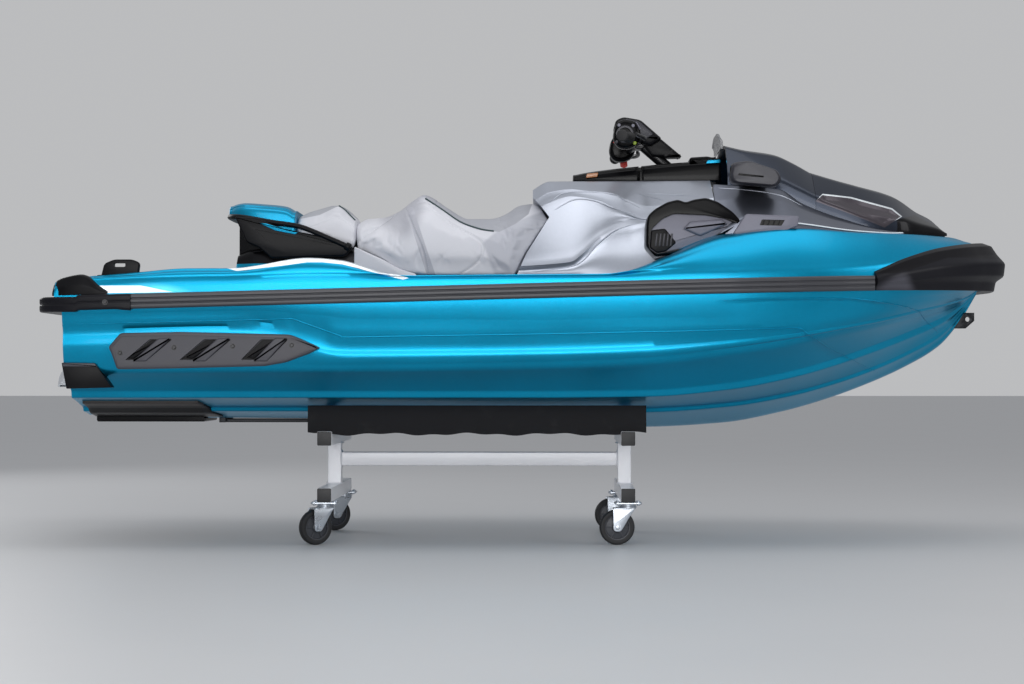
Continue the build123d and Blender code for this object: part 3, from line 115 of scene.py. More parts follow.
class Graph:
    """One node tree and the single method that adds any node to it."""

    def __init__(self, tree: bpy.types.NodeTree) -> None:
        """Takes the tree to build in."""
        self.tree = tree

    def node(self, kind: str, settings: Optional[dict[str, Any]] = None, *inputs: Any, out: Any = 0,
             **named: Any) -> Wire:
        """Adds a node, sets it up, and links or fills its inputs.

        Args:
            kind: The node's type.
            settings: Properties set before the inputs.
            inputs: Wires or values for the inputs in order; None skips one.
            out: Name or index of the output that is returned.
            named: Wires or values by input name, with _ for a space.

        Returns:
            The chosen output as a wire.
        """
        made = self.tree.nodes.new(kind)
        for key, value in (settings or {}).items():
            setattr(made, key, value)
        for place, value in enumerate(inputs):
            if value is not None:
                self.feed(made.inputs[place], value)
        for key, value in named.items():
            self.feed(made.inputs[key.replace("_", " ")], value)
        return Wire(self, made.outputs[out])

    def feed(self, socket: bpy.types.NodeSocket, value: Any) -> None:
        """Links a wire to a socket or stores a plain value on it.

        Args:
            socket: The input.
            value: A wire or a plain value.
        """
        if isinstance(value, Wire):
            self.tree.links.new(value.socket, socket)
        else:
            socket.default_value = value

    def blend(self, share: Any, low: Any, high: Any) -> Wire:
        """Mixes two colours by a share; the Mix node's colours are its seventh and eighth inputs."""
        return self.node("ShaderNodeMix", {"data_type": "RGBA"}, share, *[None] * 5, low, high, out=2)

    def scaled(self, colour: Any, factor: Wire) -> Wire:
        """A colour made lighter or darker by a factor."""
        base = colour if isinstance(colour, Wire) else colour[:3]
        return self.node("ShaderNodeVectorMath", {"operation": "SCALE"}, base, Scale=factor)

    def noise(self, where: Wire, scale: float, detail: float = 2.0, roughness: float = 0.5) -> Wire:
        """Noise between about 0.2 and 0.8 at scale cells a metre."""
        return self.node("ShaderNodeTexNoise", None, Vector=where, Scale=scale, Detail=detail,
                         Roughness=roughness)

    def coordinates(self) -> Wire:
        """Object coordinates, in metres."""
        return self.node("ShaderNodeTexCoord", None, out="Object")

    def parts(self, where: Wire) -> tuple[Wire, Wire, Wire]:
        """X, Y and Z of a vector.

        Args:
            where: The vector.

        Returns:
            The three wires.
        """
        split = self.node("ShaderNodeSeparateXYZ", None, where)
        outputs = split.socket.node.outputs
        return tuple(Wire(self, outputs[axis]) for axis in range(3))


# ---- finishes ----

DUST_TONE = srgb(118, 116, 111)


def blank_material(name: str) -> tuple[bpy.types.Material, Graph, bpy.types.Node]:
    """A new material with its graph and its shader node.

    Args:
        name: Material name.

    Returns:
        The material, its graph and its shader node.
    """
    made = bpy.data.materials.new(name)
    made.use_nodes = True
    shader = next(n for n in made.node_tree.nodes if n.type == "BSDF_PRINCIPLED")
    return made, Graph(made.node_tree), shader


class Grain(Enum):
    """The fine surface that a finish carries."""

    GEL = "gel"
    MOULDED = "moulded"
    VINYL = "vinyl"
    CAST = "cast"
    BRUSHED = "brushed"
    PLATED = "plated"
    CARPET = "carpet"
    RUBBER = "rubber"
    POWDER = "powder"


@dataclass(frozen=True)
class GrainLook:
    """Scales and depths of one grain: bump cells a metre, bump height, tone change and roughness change."""

    cells: float
    height: float
    tone: float
    gloss: float
    stretch: Point = (1.0, 1.0, 1.0)


GRAIN_LOOKS = {
    Grain.GEL: GrainLook(90.0, 0.00004, 0.05, 0.05),
    Grain.MOULDED: GrainLook(900.0, 0.00010, 0.14, 0.14),
    Grain.VINYL: GrainLook(620.0, 0.00022, 0.07, 0.12),
    Grain.CAST: GrainLook(420.0, 0.00025, 0.18, 0.14),
    Grain.BRUSHED: GrainLook(500.0, 0.00005, 0.12, 0.12, (0.05, 1.0, 1.0)),
    Grain.PLATED: GrainLook(26.0, 0.00002, 0.07, 0.12),
    Grain.CARPET: GrainLook(1100.0, 0.00060, 0.35, 0.05),
    Grain.RUBBER: GrainLook(700.0, 0.00012, 0.16, 0.12),
    Grain.POWDER: GrainLook(800.0, 0.00005, 0.04, 0.08),
}


@dataclass(frozen=True)
class Finish:
    """One finish: its colour, gloss and grain, made into a material once and then shared."""

    name: str
    colour: Colour
    roughness: float
    grain: Grain
    slot: str
    metallic: float = 0.0
    coat: float = 0.0
    coat_roughness: float = 0.05
    dust: float = 0.03
    alpha: float = 1.0
    specular: float = 0.5

    def paint(self, graph: Graph, where: Wire) -> Any:
        """The base colour before its fine variation; finishes with a pattern extend this."""
        return self.colour

    def material(self) -> bpy.types.Material:
        """Builds the material, or returns it if it is already there.

        Returns:
            The material.
        """
        found = bpy.data.materials.get(self.name)
        if found:
            return found
        made, graph, shader = blank_material(self.name)
        look = GRAIN_LOOKS[self.grain]
        where = graph.coordinates()
        stretched = graph.node("ShaderNodeMapping", None, where, None, None, look.stretch)
        fine = graph.noise(stretched, look.cells, 3.0)
        broad = graph.noise(where, 3.5, 2.0)
        shade = (fine - 0.5) * look.tone + (broad - 0.5) * (look.tone + 0.05)
        toned = graph.scaled(self.paint(graph, where), shade * 2.0 + 1.0)
        settled = graph.noise(where, 11.0, 4.0, 0.65).step(0.55, 0.8) * self.dust
        rough = (fine - 0.5) * look.gloss + (broad - 0.5) * look.gloss + settled * 0.6 + self.roughness
        bump = graph.node("ShaderNodeBump", None, Strength=1.0, Distance=look.height, Height=fine)
        for label, value in (("Base Color", graph.blend(settled, toned, DUST_TONE)), ("Roughness", rough),
                             ("Normal", bump), ("Metallic", self.metallic), ("Coat Weight", self.coat),
                             ("Coat Roughness", self.coat_roughness), ("Alpha", self.alpha),
                             ("Specular IOR Level", self.specular)):
            graph.feed(shader.inputs[label], value)
        return made


@dataclass(frozen=True)
class Region:
    """A convex patch of colour on the craft's sides, as a side outline of (x, z) in millimetres."""

    outline: tuple[Flat, ...]
    colour: Colour
    soft: float = 1.0

    def share(self, across: Wire, up: Wire) -> Wire:
        """1 inside the outline and 0 outside it.

        Args:
            across: X of the point, in metres.
            up: Z of the point, in metres.

        Returns:
            The mask.
        """
        edges = list(zip(self.outline, self.outline[1:] + self.outline[:1]))
        turn = math.copysign(1.0, sum(a[0] * b[1] - b[0] * a[1] for a, b in edges))
        mask: Any = 1.0
        for (ax, az), (bx, bz) in edges:
            run = math.hypot(bx - ax, bz - az)
            nx, nz = -(bz - az) / run * turn, (bx - ax) / run * turn
            depth = across * nx + up * nz - (ax * nx + az * nz) * MM
            mask = depth.step(-0.5 * self.soft * MM, 0.5 * self.soft * MM) * mask
        return mask


@dataclass(frozen=True)
class PaintedSides(Finish):
    """Gel coat with flat coloured patches laid out on its sides."""

    patches: tuple[Region, ...] = ()

    def paint(self, graph: Graph, where: Wire) -> Any:
        """The gel coat with each patch over it.

        Args:
            graph: The graph to add to.
            where: The vector.

        Returns:
            The colour.
        """
        across, _, up = graph.parts(where)
        base: Any = self.colour
        for patch in self.patches:
            base = graph.blend(patch.share(across, up), base, patch.colour)
        return base


# ---- curves and meshes ----

SHARP = 32.0  # Edges that turn more than this many degrees stay crisp unless a piece says otherwise
WELD, SPECK = 0.00002, 0.00001  # Points nearer than this are one point; shorter edges go; metres
TINY = 1e-9
CORNER_SHARE = 0.46  # Most of a run that the rounding of a corner may take


def linked(name: str, data: Any) -> Piece:
    """An object for some data, linked to the scene.

    Args:
        name: Object name.
        data: Mesh, camera or lamp data.

    Returns:
        The object.
    """
    made = bpy.data.objects.new(name, data)
    bpy.context.scene.collection.objects.link(made)
    return made


def smooth_between(xs: Sequence[float], ys: Sequence[float], at: np.ndarray) -> np.ndarray:
    """Values of a smooth curve through the given points that never overshoots them.

    Args:
        xs: Rising places of the points.
        ys: Their values.
        at: Places to read the curve at.

    Returns:
        The values there, held at the ends.
    """
    x, y, t = np.asarray(xs, float), np.asarray(ys, float), np.clip(np.asarray(at, float), xs[0], xs[-1])
    if len(x) == 2:
        return np.interp(t, x, y)
    h, d = np.diff(x), np.diff(y) / np.diff(x)
    slope = np.zeros(len(x))
    for i in range(1, len(x) - 1):
        if d[i - 1] * d[i] > 0:
            w1, w2 = 2 * h[i] + h[i - 1], h[i] + 2 * h[i - 1]
            slope[i] = (w1 + w2) / (w1 / d[i - 1] + w2 / d[i])
    slope[0], slope[-1] = d[0], d[-1]
    i = np.clip(np.searchsorted(x, t, "right") - 1, 0, len(x) - 2)
    s = (t - x[i]) / h[i]
    return ((1 + 2 * s) * (1 - s) ** 2 * y[i] + s * (1 - s) ** 2 * h[i] * slope[i]
            + s * s * (3 - 2 * s) * y[i + 1] + s * s * (s - 1) * h[i] * slope[i + 1])


def read_along(places: Sequence[float], table: np.ndarray, at: np.ndarray,
               straight: bool = False) -> np.ndarray:
    """Every column of a table of any shape, read along smooth curves or straight runs.

    Args:
        places: Rising places of the table's rows.
        table: The values, one row for each place.
        at: Places to read at.
        straight: Straight runs in place of smooth curves.

    Returns:
        The values, one row for each place read.
    """
    columns = table.reshape(len(table), -1).T
    made = [np.interp(at, places, ys) if straight else smooth_between(places, ys, at) for ys in columns]
    return np.column_stack(made).reshape(len(at), *table.shape[1:])


def rounded_line(corners: np.ndarray, radii: Sequence[float], runs: Sequence[int], bulges: Sequence[float],
                 arc: int = 5, closed: bool = True) -> np.ndarray:
    """An outline or a line with its corners rounded, always with the same number of points.

    Args:
        corners: The corners in order, n by 2.
        radii: Setback of the rounding at each corner; 0 keeps the corner.
        runs: Points added inside the run after each corner.
        bulges: How far the run after each corner swells to its left.
        arc: Points on each rounded corner.
        closed: The last corner runs on to the first.

    Returns:
        The outline's points.
    """
    count = len(corners)
    arcs = []
    for i in range(count):
        here, before, after = corners[i], corners[i - 1], corners[(i + 1) % count]
        if radii[i] <= 0:
            arcs.append(here[None, :])
            continue
        back, ahead = before - here, after - here
        far_back, far_ahead = np.hypot(*back), np.hypot(*ahead)
        reach = min(radii[i], CORNER_SHARE * far_back, CORNER_SHARE * far_ahead)
        start = here + back / max(far_back, TINY) * reach
        end = here + ahead / max(far_ahead, TINY) * reach
        t = np.linspace(0, 1, arc)[:, None]
        arcs.append((1 - t) ** 2 * start + 2 * t * (1 - t) * here + t * t * end)
    points = []
    for i in range(count):
        points.append(arcs[i])
        if runs[i] and (closed or i < count - 1):
            start, end = arcs[i][-1], arcs[(i + 1) % count][0]
            t = np.linspace(0, 1, runs[i] + 2)[1:-1, None]
            run = end - start
            side = np.array([-run[1], run[0]]) / max(np.hypot(*run), TINY)
            points.append(start + run * t + side * (4 * t * (1 - t) * bulges[i]))
    return np.vstack(points)


def catmull(points: Sequence[Sequence[float]], per_run: int, closed: bool = False) -> np.ndarray:
    """A smooth line through points, with per_run steps between each two.

    Args:
        points: The points in order.
        per_run: Steps between each two points.
        closed: The line is a ring.

    Returns:
        The line's points.
    """
    p = np.asarray(points, float)
    n = len(p)
    runs = n if closed else n - 1
    out = []
    for i in range(runs):
        a = p[(i - 1) % n] if closed or i > 0 else 2 * p[0] - p[1]
        b, c = p[i], p[(i + 1) % n]
        d = p[(i + 2) % n] if closed or i + 2 < n else 2 * p[-1] - p[-2]
        t = np.linspace(0, 1, per_run, endpoint=False)[:, None]
        out.append(0.5 * (2 * b + (c - a) * t + (2 * a - 5 * b + 4 * c - d) * t ** 2
                          + (3 * b - 3 * c + d - a) * t ** 3))
    if not closed:
        out.append(p[-1:])
    return np.vstack(out)


def mesh_object(name: str, verts: np.ndarray, faces: Iterable[Sequence[int]], sharp: float = SHARP,
                closed: bool = True) -> Piece:
    """A mesh object from points in millimetres, shaded smooth but for edges sharper than an angle.

    Args:
        name: Object name.
        verts: Points, n by 3, in millimetres.
        faces: Point numbers of each face.
        sharp: Edges that turn more than this many degrees stay crisp.
        closed: The faces bound a solid, so they are turned to point outwards.

    Returns:
        The new object, linked to the scene.
    """
    mesh = bpy.data.meshes.new(name)
    mesh.from_pydata((np.asarray(verts, float) * MM).tolist(), [], [list(map(int, f)) for f in faces])
    work = bmesh.new()
    work.from_mesh(mesh)
    bmesh.ops.remove_doubles(work, verts=work.verts, dist=WELD)
    bmesh.ops.dissolve_degenerate(work, edges=work.edges, dist=SPECK)
    if closed:
        bmesh.ops.recalc_face_normals(work, faces=work.faces)
    work.to_mesh(mesh)
    work.free()
    return shaded(bpy.data.objects.new(name, mesh), sharp)


def shaded(piece: Piece, sharp: float) -> Piece:
    """Links the object if it isn't linked and shades it smooth up to an angle in degrees.

    Args:
        piece: The piece.
        sharp: Edges that turn more than this many degrees stay crisp.

    Returns:
        The same piece.
    """
    if piece.name not in bpy.context.scene.collection.objects:
        bpy.context.scene.collection.objects.link(piece)
    piece.data.polygons.foreach_set("use_smooth", [True] * len(piece.data.polygons))
    piece.data.set_sharp_from_angle(angle=math.radians(sharp))
    piece.data.update()
    return piece


def rows_mesh(name: str, rows: np.ndarray, sharp: float = SHARP, capped: bool = True) -> Piece:
    """A closed skin over rows of closed outlines, with a cap on each end.

    Args:
        name: Object name.
        rows: Points, rows by points by 3, in millimetres.
        sharp: Edges that turn more than this many degrees stay crisp.
        capped: Closes both ends.

    Returns:
        The new object.
    """
    count, ring = rows.shape[:2]
    faces = []
    for i in range(count - 1):
        for j in range(ring):
            k = (j + 1) % ring
            faces.append((i * ring + j, i * ring + k, (i + 1) * ring + k, (i + 1) * ring + j))
    if capped:
        faces.append(list(range(ring))[::-1])
        faces.append([(count - 1) * ring + j for j in range(ring)])
    return mesh_object(name, rows.reshape(-1, 3), faces, sharp)


def baked(piece: Piece) -> Piece:
    """Applies an object's modifiers to its mesh.

    Args:
        piece: The piece.

    Returns:
        The same piece.
    """
    bpy.context.view_layer.update()
    graph = bpy.context.evaluated_depsgraph_get()
    mesh = bpy.data.meshes.new_from_object(piece.evaluated_get(graph), preserve_all_data_layers=True,
                                           depsgraph=graph)
    piece.modifiers.clear()
    piece.data = mesh
    return piece


def carved(piece: Piece, tools: Sequence[Piece], operation: str = "DIFFERENCE",
           sharp: float = SHARP) -> Piece:
    """Cuts tools away from a piece, or joins them to it, and removes the tools.

    Args:
        piece: The piece.
        tools: Closed pieces that act on it; they are used up.
        operation: The Boolean modifier's operation.
        sharp: Edges that turn more than this many degrees stay crisp.

    Returns:
        The same piece.
    """
    before = piece.data
    for solver in ("MANIFOLD", "EXACT"):
        piece.data = before
        for tool in tools:
            step = piece.modifiers.new("cut", "BOOLEAN")
            step.operation, step.solver, step.object = operation, solver, tool
        baked(piece)
        if operation == "INTERSECT" or len(piece.data.polygons) > 0.2 * len(before.polygons):
            break
    for tool in tools:
        bpy.data.objects.remove(tool)
    return shaded(without_blanks(piece), sharp)


def without_blanks(piece: Piece) -> Piece:
    """Drops empty material slots and keeps each face on its own material.

    Args:
        piece: The piece.

    Returns:
        The same piece.
    """
    own = list(piece.data.materials)
    kept = [material for material in own if material]
    if len(kept) == len(own):
        return piece
    marks = [min(face.material_index, len(own) - 1) for face in piece.data.polygons]
    piece.data.materials.clear()
    for material in kept:
        piece.data.materials.append(material)
    if kept:
        for face, mark in zip(piece.data.polygons, marks):
            face.material_index = kept.index(own[mark] or kept[0])
    return piece


def joined(name: str, pieces: Sequence[Piece], sharp: float = SHARP) -> Piece:
    """One object from several, with their materials kept.

    Args:
        name: Object name.
        pieces: The parts; they are used up.
        sharp: Edges that turn more than this many degrees stay crisp.

    Returns:
        The new object.
    """
    work = bmesh.new()
    materials: list[bpy.types.Material] = []
    for piece in pieces:
        without_blanks(piece)
        start = len(work.faces)
        work.from_mesh(piece.data)
        work.faces.ensure_lookup_table()
        own = list(piece.data.materials)
        for face in work.faces[start:]:
            if own:
                material = own[min(face.material_index, len(own) - 1)]
                if material not in materials:
                    materials.append(material)
                face.material_index = materials.index(material)
    mesh = bpy.data.meshes.new(name)
    work.to_mesh(mesh)
    work.free()
    for material in materials:
        mesh.materials.append(material)
    for piece in pieces:
        bpy.data.objects.remove(piece)
    return shaded(bpy.data.objects.new(name, mesh), sharp)


def bevelled(piece: Piece, width: float, angle: float = 35.0, sharp: float = 40.0) -> Piece:
    """Rounds a piece's crisp edges.

    Args:
        piece: The piece.
        width: Rounding in millimetres.
        angle: Edges that turn more than this many degrees are rounded.
        sharp: Edges that turn more than this many degrees stay crisp afterwards.

    Returns:
        The same piece.
    """
    step = piece.modifiers.new("round", "BEVEL")
    step.width, step.segments, step.limit_method = width * MM, 2, "ANGLE"
    step.angle_limit = math.radians(angle)
    return shaded(baked(piece), sharp)


def mirrored(piece: Piece, name: str) -> Piece:
    """A copy of a piece on the other side of the centre plane, faces outwards.

    Args:
        piece: The piece.
        name: Object name.

    Returns:
        The copy.
    """
    mesh = piece.data.copy()
    mesh.name = name
    mesh.transform(Matrix.Diagonal((1, -1, 1, 1)))
    mesh.flip_normals()
    return linked(name, mesh)


def across_bow(rows: np.ndarray) -> np.ndarray:
    """Rows that end on the centre plane, followed by their mirror image."""
    return np.concatenate([rows, rows[-2::-1] * np.array([1, -1, 1])])


def both_sides(piece: Piece, name: str, sharp: float = SHARP) -> Piece:
    """A piece together with its mirror image as one object."""
    return joined(name, [piece, mirrored(piece, name + "_other")], sharp)


@dataclass
class Loft:
    """A skin through cross sections along X.

    Attributes:
        rows: Each x with its corners (y, z); a symmetric loft gives one half, from the
            bottom centre to the top centre.
        radii: Rounding setback at each given corner.
        runs: Points inside the run after each given corner.
        bulges: Swell of the run after each given corner, outwards when positive.
        symmetric: Mirrors the half across the centre plane.
        pitch: Distance between sections.
        ends: Length over which the rear and the front end are rounded off.
        arc: Points on each rounded corner.
        straight: Straight runs between the rows in place of smooth ones.
    """

    rows: Sequence[tuple[float, Sequence[Flat]]]
    radii: Sequence[float]
    runs: Sequence[int]
    bulges: Sequence[float] = ()
    symmetric: bool = True
    pitch: float = 14.0
    ends: Flat = (0.0, 0.0)
    arc: int = 5
    straight: bool = False

    def corners_at(self, xs: np.ndarray) -> np.ndarray:
        """Corners of the given half at each x, places by corners by 2.

        Args:
            xs: Places along X.

        Returns:
            Places by corners by 2.
        """
        stations = [row[0] for row in self.rows]
        table = np.array([row[1] for row in self.rows], float)
        return read_along(stations, table, xs, self.straight)

    def places(self) -> np.ndarray:
        """Every x with a section: an even pitch and the rows' own places.

        Returns:
            The places, rising.
        """
        low, high = self.rows[0][0], self.rows[-1][0]
        return np.union1d(np.linspace(low, high, max(2, int((high - low) / self.pitch) + 1)),
                          [row[0] for row in self.rows])

    def open_grid(self) -> np.ndarray:
        """Sections from one free edge over the centre line to the other, rows by points by 3.

        Returns:
            The sections, in millimetres.
        """
        xs = self.places()
        rows = []
        for x, half in zip(xs, self.corners_at(xs)):
            port = rounded_line(half, self.radii, self.runs, [-b for b in self.bulges], closed=False)
            line = np.vstack([port, [[-p[0], p[1]] for p in port[-2::-1]]])
            rows.append(np.column_stack([np.full(len(line), x), line]))
        return np.array(rows)

    def loop(self, half: np.ndarray) -> np.ndarray:
        """The rounded closed outline of one section.

        Args:
            half: The section's corners (y, z).

        Returns:
            The outline's points.
        """
        radii, runs = list(self.radii), list(self.runs)
        bulges = list(self.bulges) or [0.0] * len(runs)
        if not self.symmetric:
            return rounded_line(half, radii, runs, [-b for b in bulges], self.arc)
        last = len(half) - 1
        first_centre, last_centre = abs(half[0, 0]) < 1e-6, abs(half[last, 0]) < 1e-6
        back = range(last - 1 if last_centre else last, 0 if first_centre else -1, -1)
        corners = np.vstack([half, [[-half[i, 0], half[i, 1]] for i in back]])
        all_radii = radii + [radii[i] for i in back]
        side_runs, side_bulges = runs[:last], bulges[:last]
        top = [] if last_centre else [(runs[last], bulges[last])]
        closing = [] if first_centre else [(runs[-1], bulges[-1])]
        pairs = list(zip(side_runs, side_bulges))
        every = pairs + top + pairs[::-1] + closing
        return rounded_line(corners, all_radii, [p[0] for p in every], [-p[1] for p in every], self.arc)

    def grid(self) -> np.ndarray:
        """All sections, rows by points by 3, in millimetres.

        Returns:
            The sections.
        """
        xs = self.places()
        xs = xs[np.concatenate([[True], np.diff(xs) > 0.2 * min(self.pitch, 5.0)])]
        xs[-1] = self.rows[-1][0]
        rows = []
        for x, half in zip(xs, self.corners_at(xs)):
            outline = self.loop(half)
            rows.append(np.column_stack([np.full(len(outline), x), outline]))
        return self._rounded_ends(np.array(rows))

    def _rounded_ends(self, rows: np.ndarray) -> np.ndarray:
        """Draws the last stretch at each end together into a rounded edge.

        Args:
            rows: The sections.

        Returns:
            The sections with their ends drawn together.
        """
        for reach, first in ((self.ends[0], True), (self.ends[1], False)):
            if reach <= 0:
                continue
            body = rows if first else rows[::-1]
            edge = body[0, 0, 0]
            keep = np.abs(body[:, 0, 0] - edge) > reach
            body = body[keep]
            base = body[0].copy()
            centre = base.mean(0)
            size = np.mean(np.hypot(*(base[:, 1:] - centre[1:]).T))
            caps = []
            for turn in np.linspace(math.pi / 2, 0, 6)[:-1]:
                shrink = 1 - reach * (1 - math.cos(turn)) / max(size, reach * 1.2)
                ring = base.copy()
                ring[:, 1:] = centre[1:] + (base[:, 1:] - centre[1:]) * shrink
                inner = abs(body[0, 0, 0] - edge)
                ring[:, 0] = body[0, 0, 0] + math.copysign(inner * math.sin(turn), edge - body[0, 0, 0])
                caps.append(ring)
            body = np.concatenate([np.array(caps), body])
            rows = body if first else body[::-1]
        return rows

    def mesh(self, name: str, sharp: float = SHARP) -> Piece:
        """The closed skin as an object."""
        return rows_mesh(name, self.grid(), sharp)


def open_skin(name: str, rows: np.ndarray, wall: float, sharp: float) -> Piece:
    """A shell below an open skin whose rows run from one side to the other.

    Args:
        name: Object name.
        rows: Points, rows by points by 3, in millimetres.
        wall: Thickness, inwards.
        sharp: Edges that turn more than this many degrees stay crisp.

    Returns:
        The shell.
    """
    count, wide = rows.shape[:2]
    faces = [(i * wide + j, i * wide + j + 1, (i + 1) * wide + j + 1, (i + 1) * wide + j)
             for i in range(count - 1) for j in range(wide - 1)]
    shell = mesh_object(name, rows.reshape(-1, 3), faces, sharp, closed=False)
    if sum(p.normal.z * p.area for p in shell.data.polygons) < 0:
        shell.data.flip_normals()
    thick = shell.modifiers.new("wall", "SOLIDIFY")
    thick.thickness, thick.offset = wall * MM, -1.0
    return shaded(baked(shell), sharp)


def slab(name: str, outline: np.ndarray, low: float, high: float, axis: int = 1, edge: float = 0.0,
         sharp: float = SHARP, both: bool = False) -> Piece:
    """A flat outline given thickness along an axis, with its outer rim rounded.

    Args:
        name: Object name.
        outline: Closed outline in the two other axes, in their order.
        low: Face that stays crisp.
        high: Face whose rim is rounded.
        axis: 0, 1 or 2 for X, Y or Z.
        edge: Radius of the rounded rim.
        sharp: Edges that turn more than this many degrees stay crisp.
        both: Rounds the rim at the low face too.

    Returns:
        The new object.
    """
    flat = np.asarray(outline, float)
    way = math.copysign(1.0, high - low)
    steps: list[Flat] = []
    if edge and both:
        steps += [(low + way * edge * (1 - math.sin(t)), edge * (1 - math.cos(t)))
                  for t in (math.pi / 2, 1.0, 0.5)]
        steps.append((low + way * edge, 0.0))
    else:
        steps.append((low, 0.0))
    if edge:
        steps.append((high - way * edge, 0.0))
        steps += [(high - way * edge * (1 - math.sin(t)), edge * (1 - math.cos(t)))
                  for t in (0.5, 1.0, math.pi / 2)]
    else:
        steps.append((high, 0.0))
    rows = []
    for height, inward in steps:
        ring = shrunk(flat, inward)
        rows.append(np.insert(ring, axis, height, axis=1))
    return rows_mesh(name, np.array(rows), sharp)


def shrunk(outline: np.ndarray, inward: float) -> np.ndarray:
    """A closed outline moved inwards by a distance.

    Args:
        outline: The closed outline.
        inward: The distance in millimetres.

    Returns:
        The outline's points.
    """
    if not inward:
        return outline.copy()
    before, after = np.roll(outline, 1, 0), np.roll(outline, -1, 0)
    run = after - before
    run /= np.maximum(np.hypot(*run.T), TINY)[:, None]
    area = np.sum(outline[:, 0] * after[:, 1] - after[:, 0] * outline[:, 1])
    side = np.column_stack([-run[:, 1], run[:, 0]]) * math.copysign(1.0, area)
    return outline + side * inward


def outline(points: Sequence[Flat], radius: float = 0.0, run: int = 2, arc: int = 5) -> np.ndarray:
    """A closed outline through corners, each rounded by the same setback.

    Args:
        points: The points in order.
        radius: Setback of every corner.
        run: Points inside each run.
        arc: Points on each rounded corner.

    Returns:
        The outline's points.
    """
    corners = np.asarray(points, float)
    count = len(corners)
    return rounded_line(corners, [radius] * count, [run] * count, [0.0] * count, arc)


def oblong(x0: float, y0: float, x1: float, y1: float, radius: float = 0.0, run: int = 2,
           arc: int = 5) -> np.ndarray:
    """A rectangle's outline from one corner to the opposite one, its corners rounded."""
    return outline(((x0, y0), (x1, y0), (x1, y1), (x0, y1)), radius, run, arc)


def ring(radius: float, count: int = 24, stretch: float = 1.0) -> np.ndarray:
    """A circle's points, or an ellipse's when stretched along its second axis."""
    t = np.linspace(0, 2 * math.pi, count, endpoint=False)
    return np.column_stack([radius * np.cos(t), radius * stretch * np.sin(t)])


def sweep(name: str, path: np.ndarray, section: Any, sharp: float = 40.0, up: Point = (0, 0, 1),
          closed: bool = False) -> Piece:
    """Carries a closed section along a line.

    Args:
        name: Object name.
        path: Points of the line.
        section: One section's points (side, up), or a function of the share along the line.
        sharp: Edges that turn more than this many degrees stay crisp.
        up: Direction that the section's second axis leans to.
        closed: The line is a ring.

    Returns:
        The new object.
    """
    line = np.asarray(path, float)
    if closed:
        run = np.roll(line, -1, 0) - np.roll(line, 1, 0)
    else:
        run = np.gradient(line, axis=0)
    run /= np.linalg.norm(run, axis=1)[:, None]
    lean = np.asarray(up, float)
    rows = []
    for i, (point, along) in enumerate(zip(line, run)):
        side = np.cross(along, lean)
        side /= max(np.linalg.norm(side), TINY)
        above = np.cross(side, along)
        shape = section(i / (len(line) - 1)) if callable(section) else section
        rows.append(point + shape[:, :1] * side + shape[:, 1:] * above)
    rows = np.array(rows)
    if closed:
        rows = np.concatenate([rows, rows[:1]])
    return rows_mesh(name, rows, sharp, capped=not closed)


def turned(name: str, profile: Sequence[Flat], centre: Point, axis: Point, count: int = 40,
           sharp: float = 30.0) -> Piece:
    """A solid of revolution.

    Args:
        name: Object name.
        profile: (radius, distance along the axis) from one end to the other; it may start
            and end on the axis, or close on itself as a ring.
        centre: Point on the axis where the distance is 0.
        axis: The axis' direction.
        count: Points around.
        sharp: Edges that turn more than this many degrees stay crisp.

    Returns:
        The new object.
    """
    along = Vector(axis).normalized()
    side = along.orthogonal().normalized()
    other = along.cross(side)
    verts, faces = [], []
    for radius, distance in profile:
        for k in range(count):
            t = 2 * math.pi * k / count
            outward = side * math.cos(t) + other * math.sin(t)
            verts.append(Vector(centre) + along * distance + outward * radius)
    rings = len(profile)
    on_axis = profile[0][0] < 1e-6 and profile[-1][0] < 1e-6
    for i in range(rings if not on_axis else rings - 1):
        n = (i + 1) % rings
        for k in range(count):
            m = (k + 1) % count
            faces.append((i * count + k, i * count + m, n * count + m, n * count + k))
    return mesh_object(name, np.array([tuple(v) for v in verts]), faces, sharp)


CAD_SHARP, CAD_FLAT = 35.0, 1.0  # Degrees: edges that stay crisp, and faces that are taken as one


def tapered(least: float, more: float, power: float) -> Callable[[float], np.ndarray]:
    """A round section for sweep that thins out to both ends of its line."""
    return lambda t: ring(least + more * math.sin(math.pi * t) ** power, 8)


def cad_copy(node: str, name: str, edge: float = 0.0) -> Piece:
    """A merged copy of a CAD node with its flat faces whole and its crisp edges rounded.

    Args:
        node: The CAD node.
        name: Name of the copy.
        edge: Rounding of its edges in millimetres; 0 keeps them.

    Returns:
        The copy.
    """
    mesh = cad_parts[node].data.copy()
    mesh.name = name
    mesh.materials.clear()
    work = bmesh.new()
    work.from_mesh(mesh)
    bmesh.ops.remove_doubles(work, verts=work.verts, dist=SPECK)
    bmesh.ops.dissolve_limit(work, angle_limit=math.radians(CAD_FLAT), verts=work.verts, edges=work.edges)
    work.to_mesh(mesh)
    work.free()
    piece = shaded(bpy.data.objects.new(name, mesh), CAD_SHARP)
    return bevelled(piece, edge, sharp=CAD_SHARP) if edge else piece


def settle(piece: Piece, body: str, finish: Finish, nodes: Sequence[str] = ()) -> Piece:
    """Gives a piece its finish and its body, and says which CAD nodes it stands for.

    Args:
        piece: The finished piece.
        body: Name of the CAD body it moves with.
        finish: Its finish; a piece that already has materials keeps them.
        nodes: CAD nodes that it replaces.

    Returns:
        The piece.
    """
    without_blanks(piece)
    if not piece.data.materials:
        piece.data.materials.append(finish.material())
    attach(piece, body)
    if nodes:
        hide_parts(*nodes)
    LOG.info("%s: %d faces on %s", piece.name, len(piece.data.polygons), body)
    return piece


def dressed(piece: Piece, finish: Finish) -> Piece:
    """Gives a part of a piece its finish before it is joined.

    Args:
        piece: The piece.
        finish: Its finish.

    Returns:
        The same piece.
    """
    piece.data.materials.clear()
    piece.data.materials.append(finish.material())
    return piece


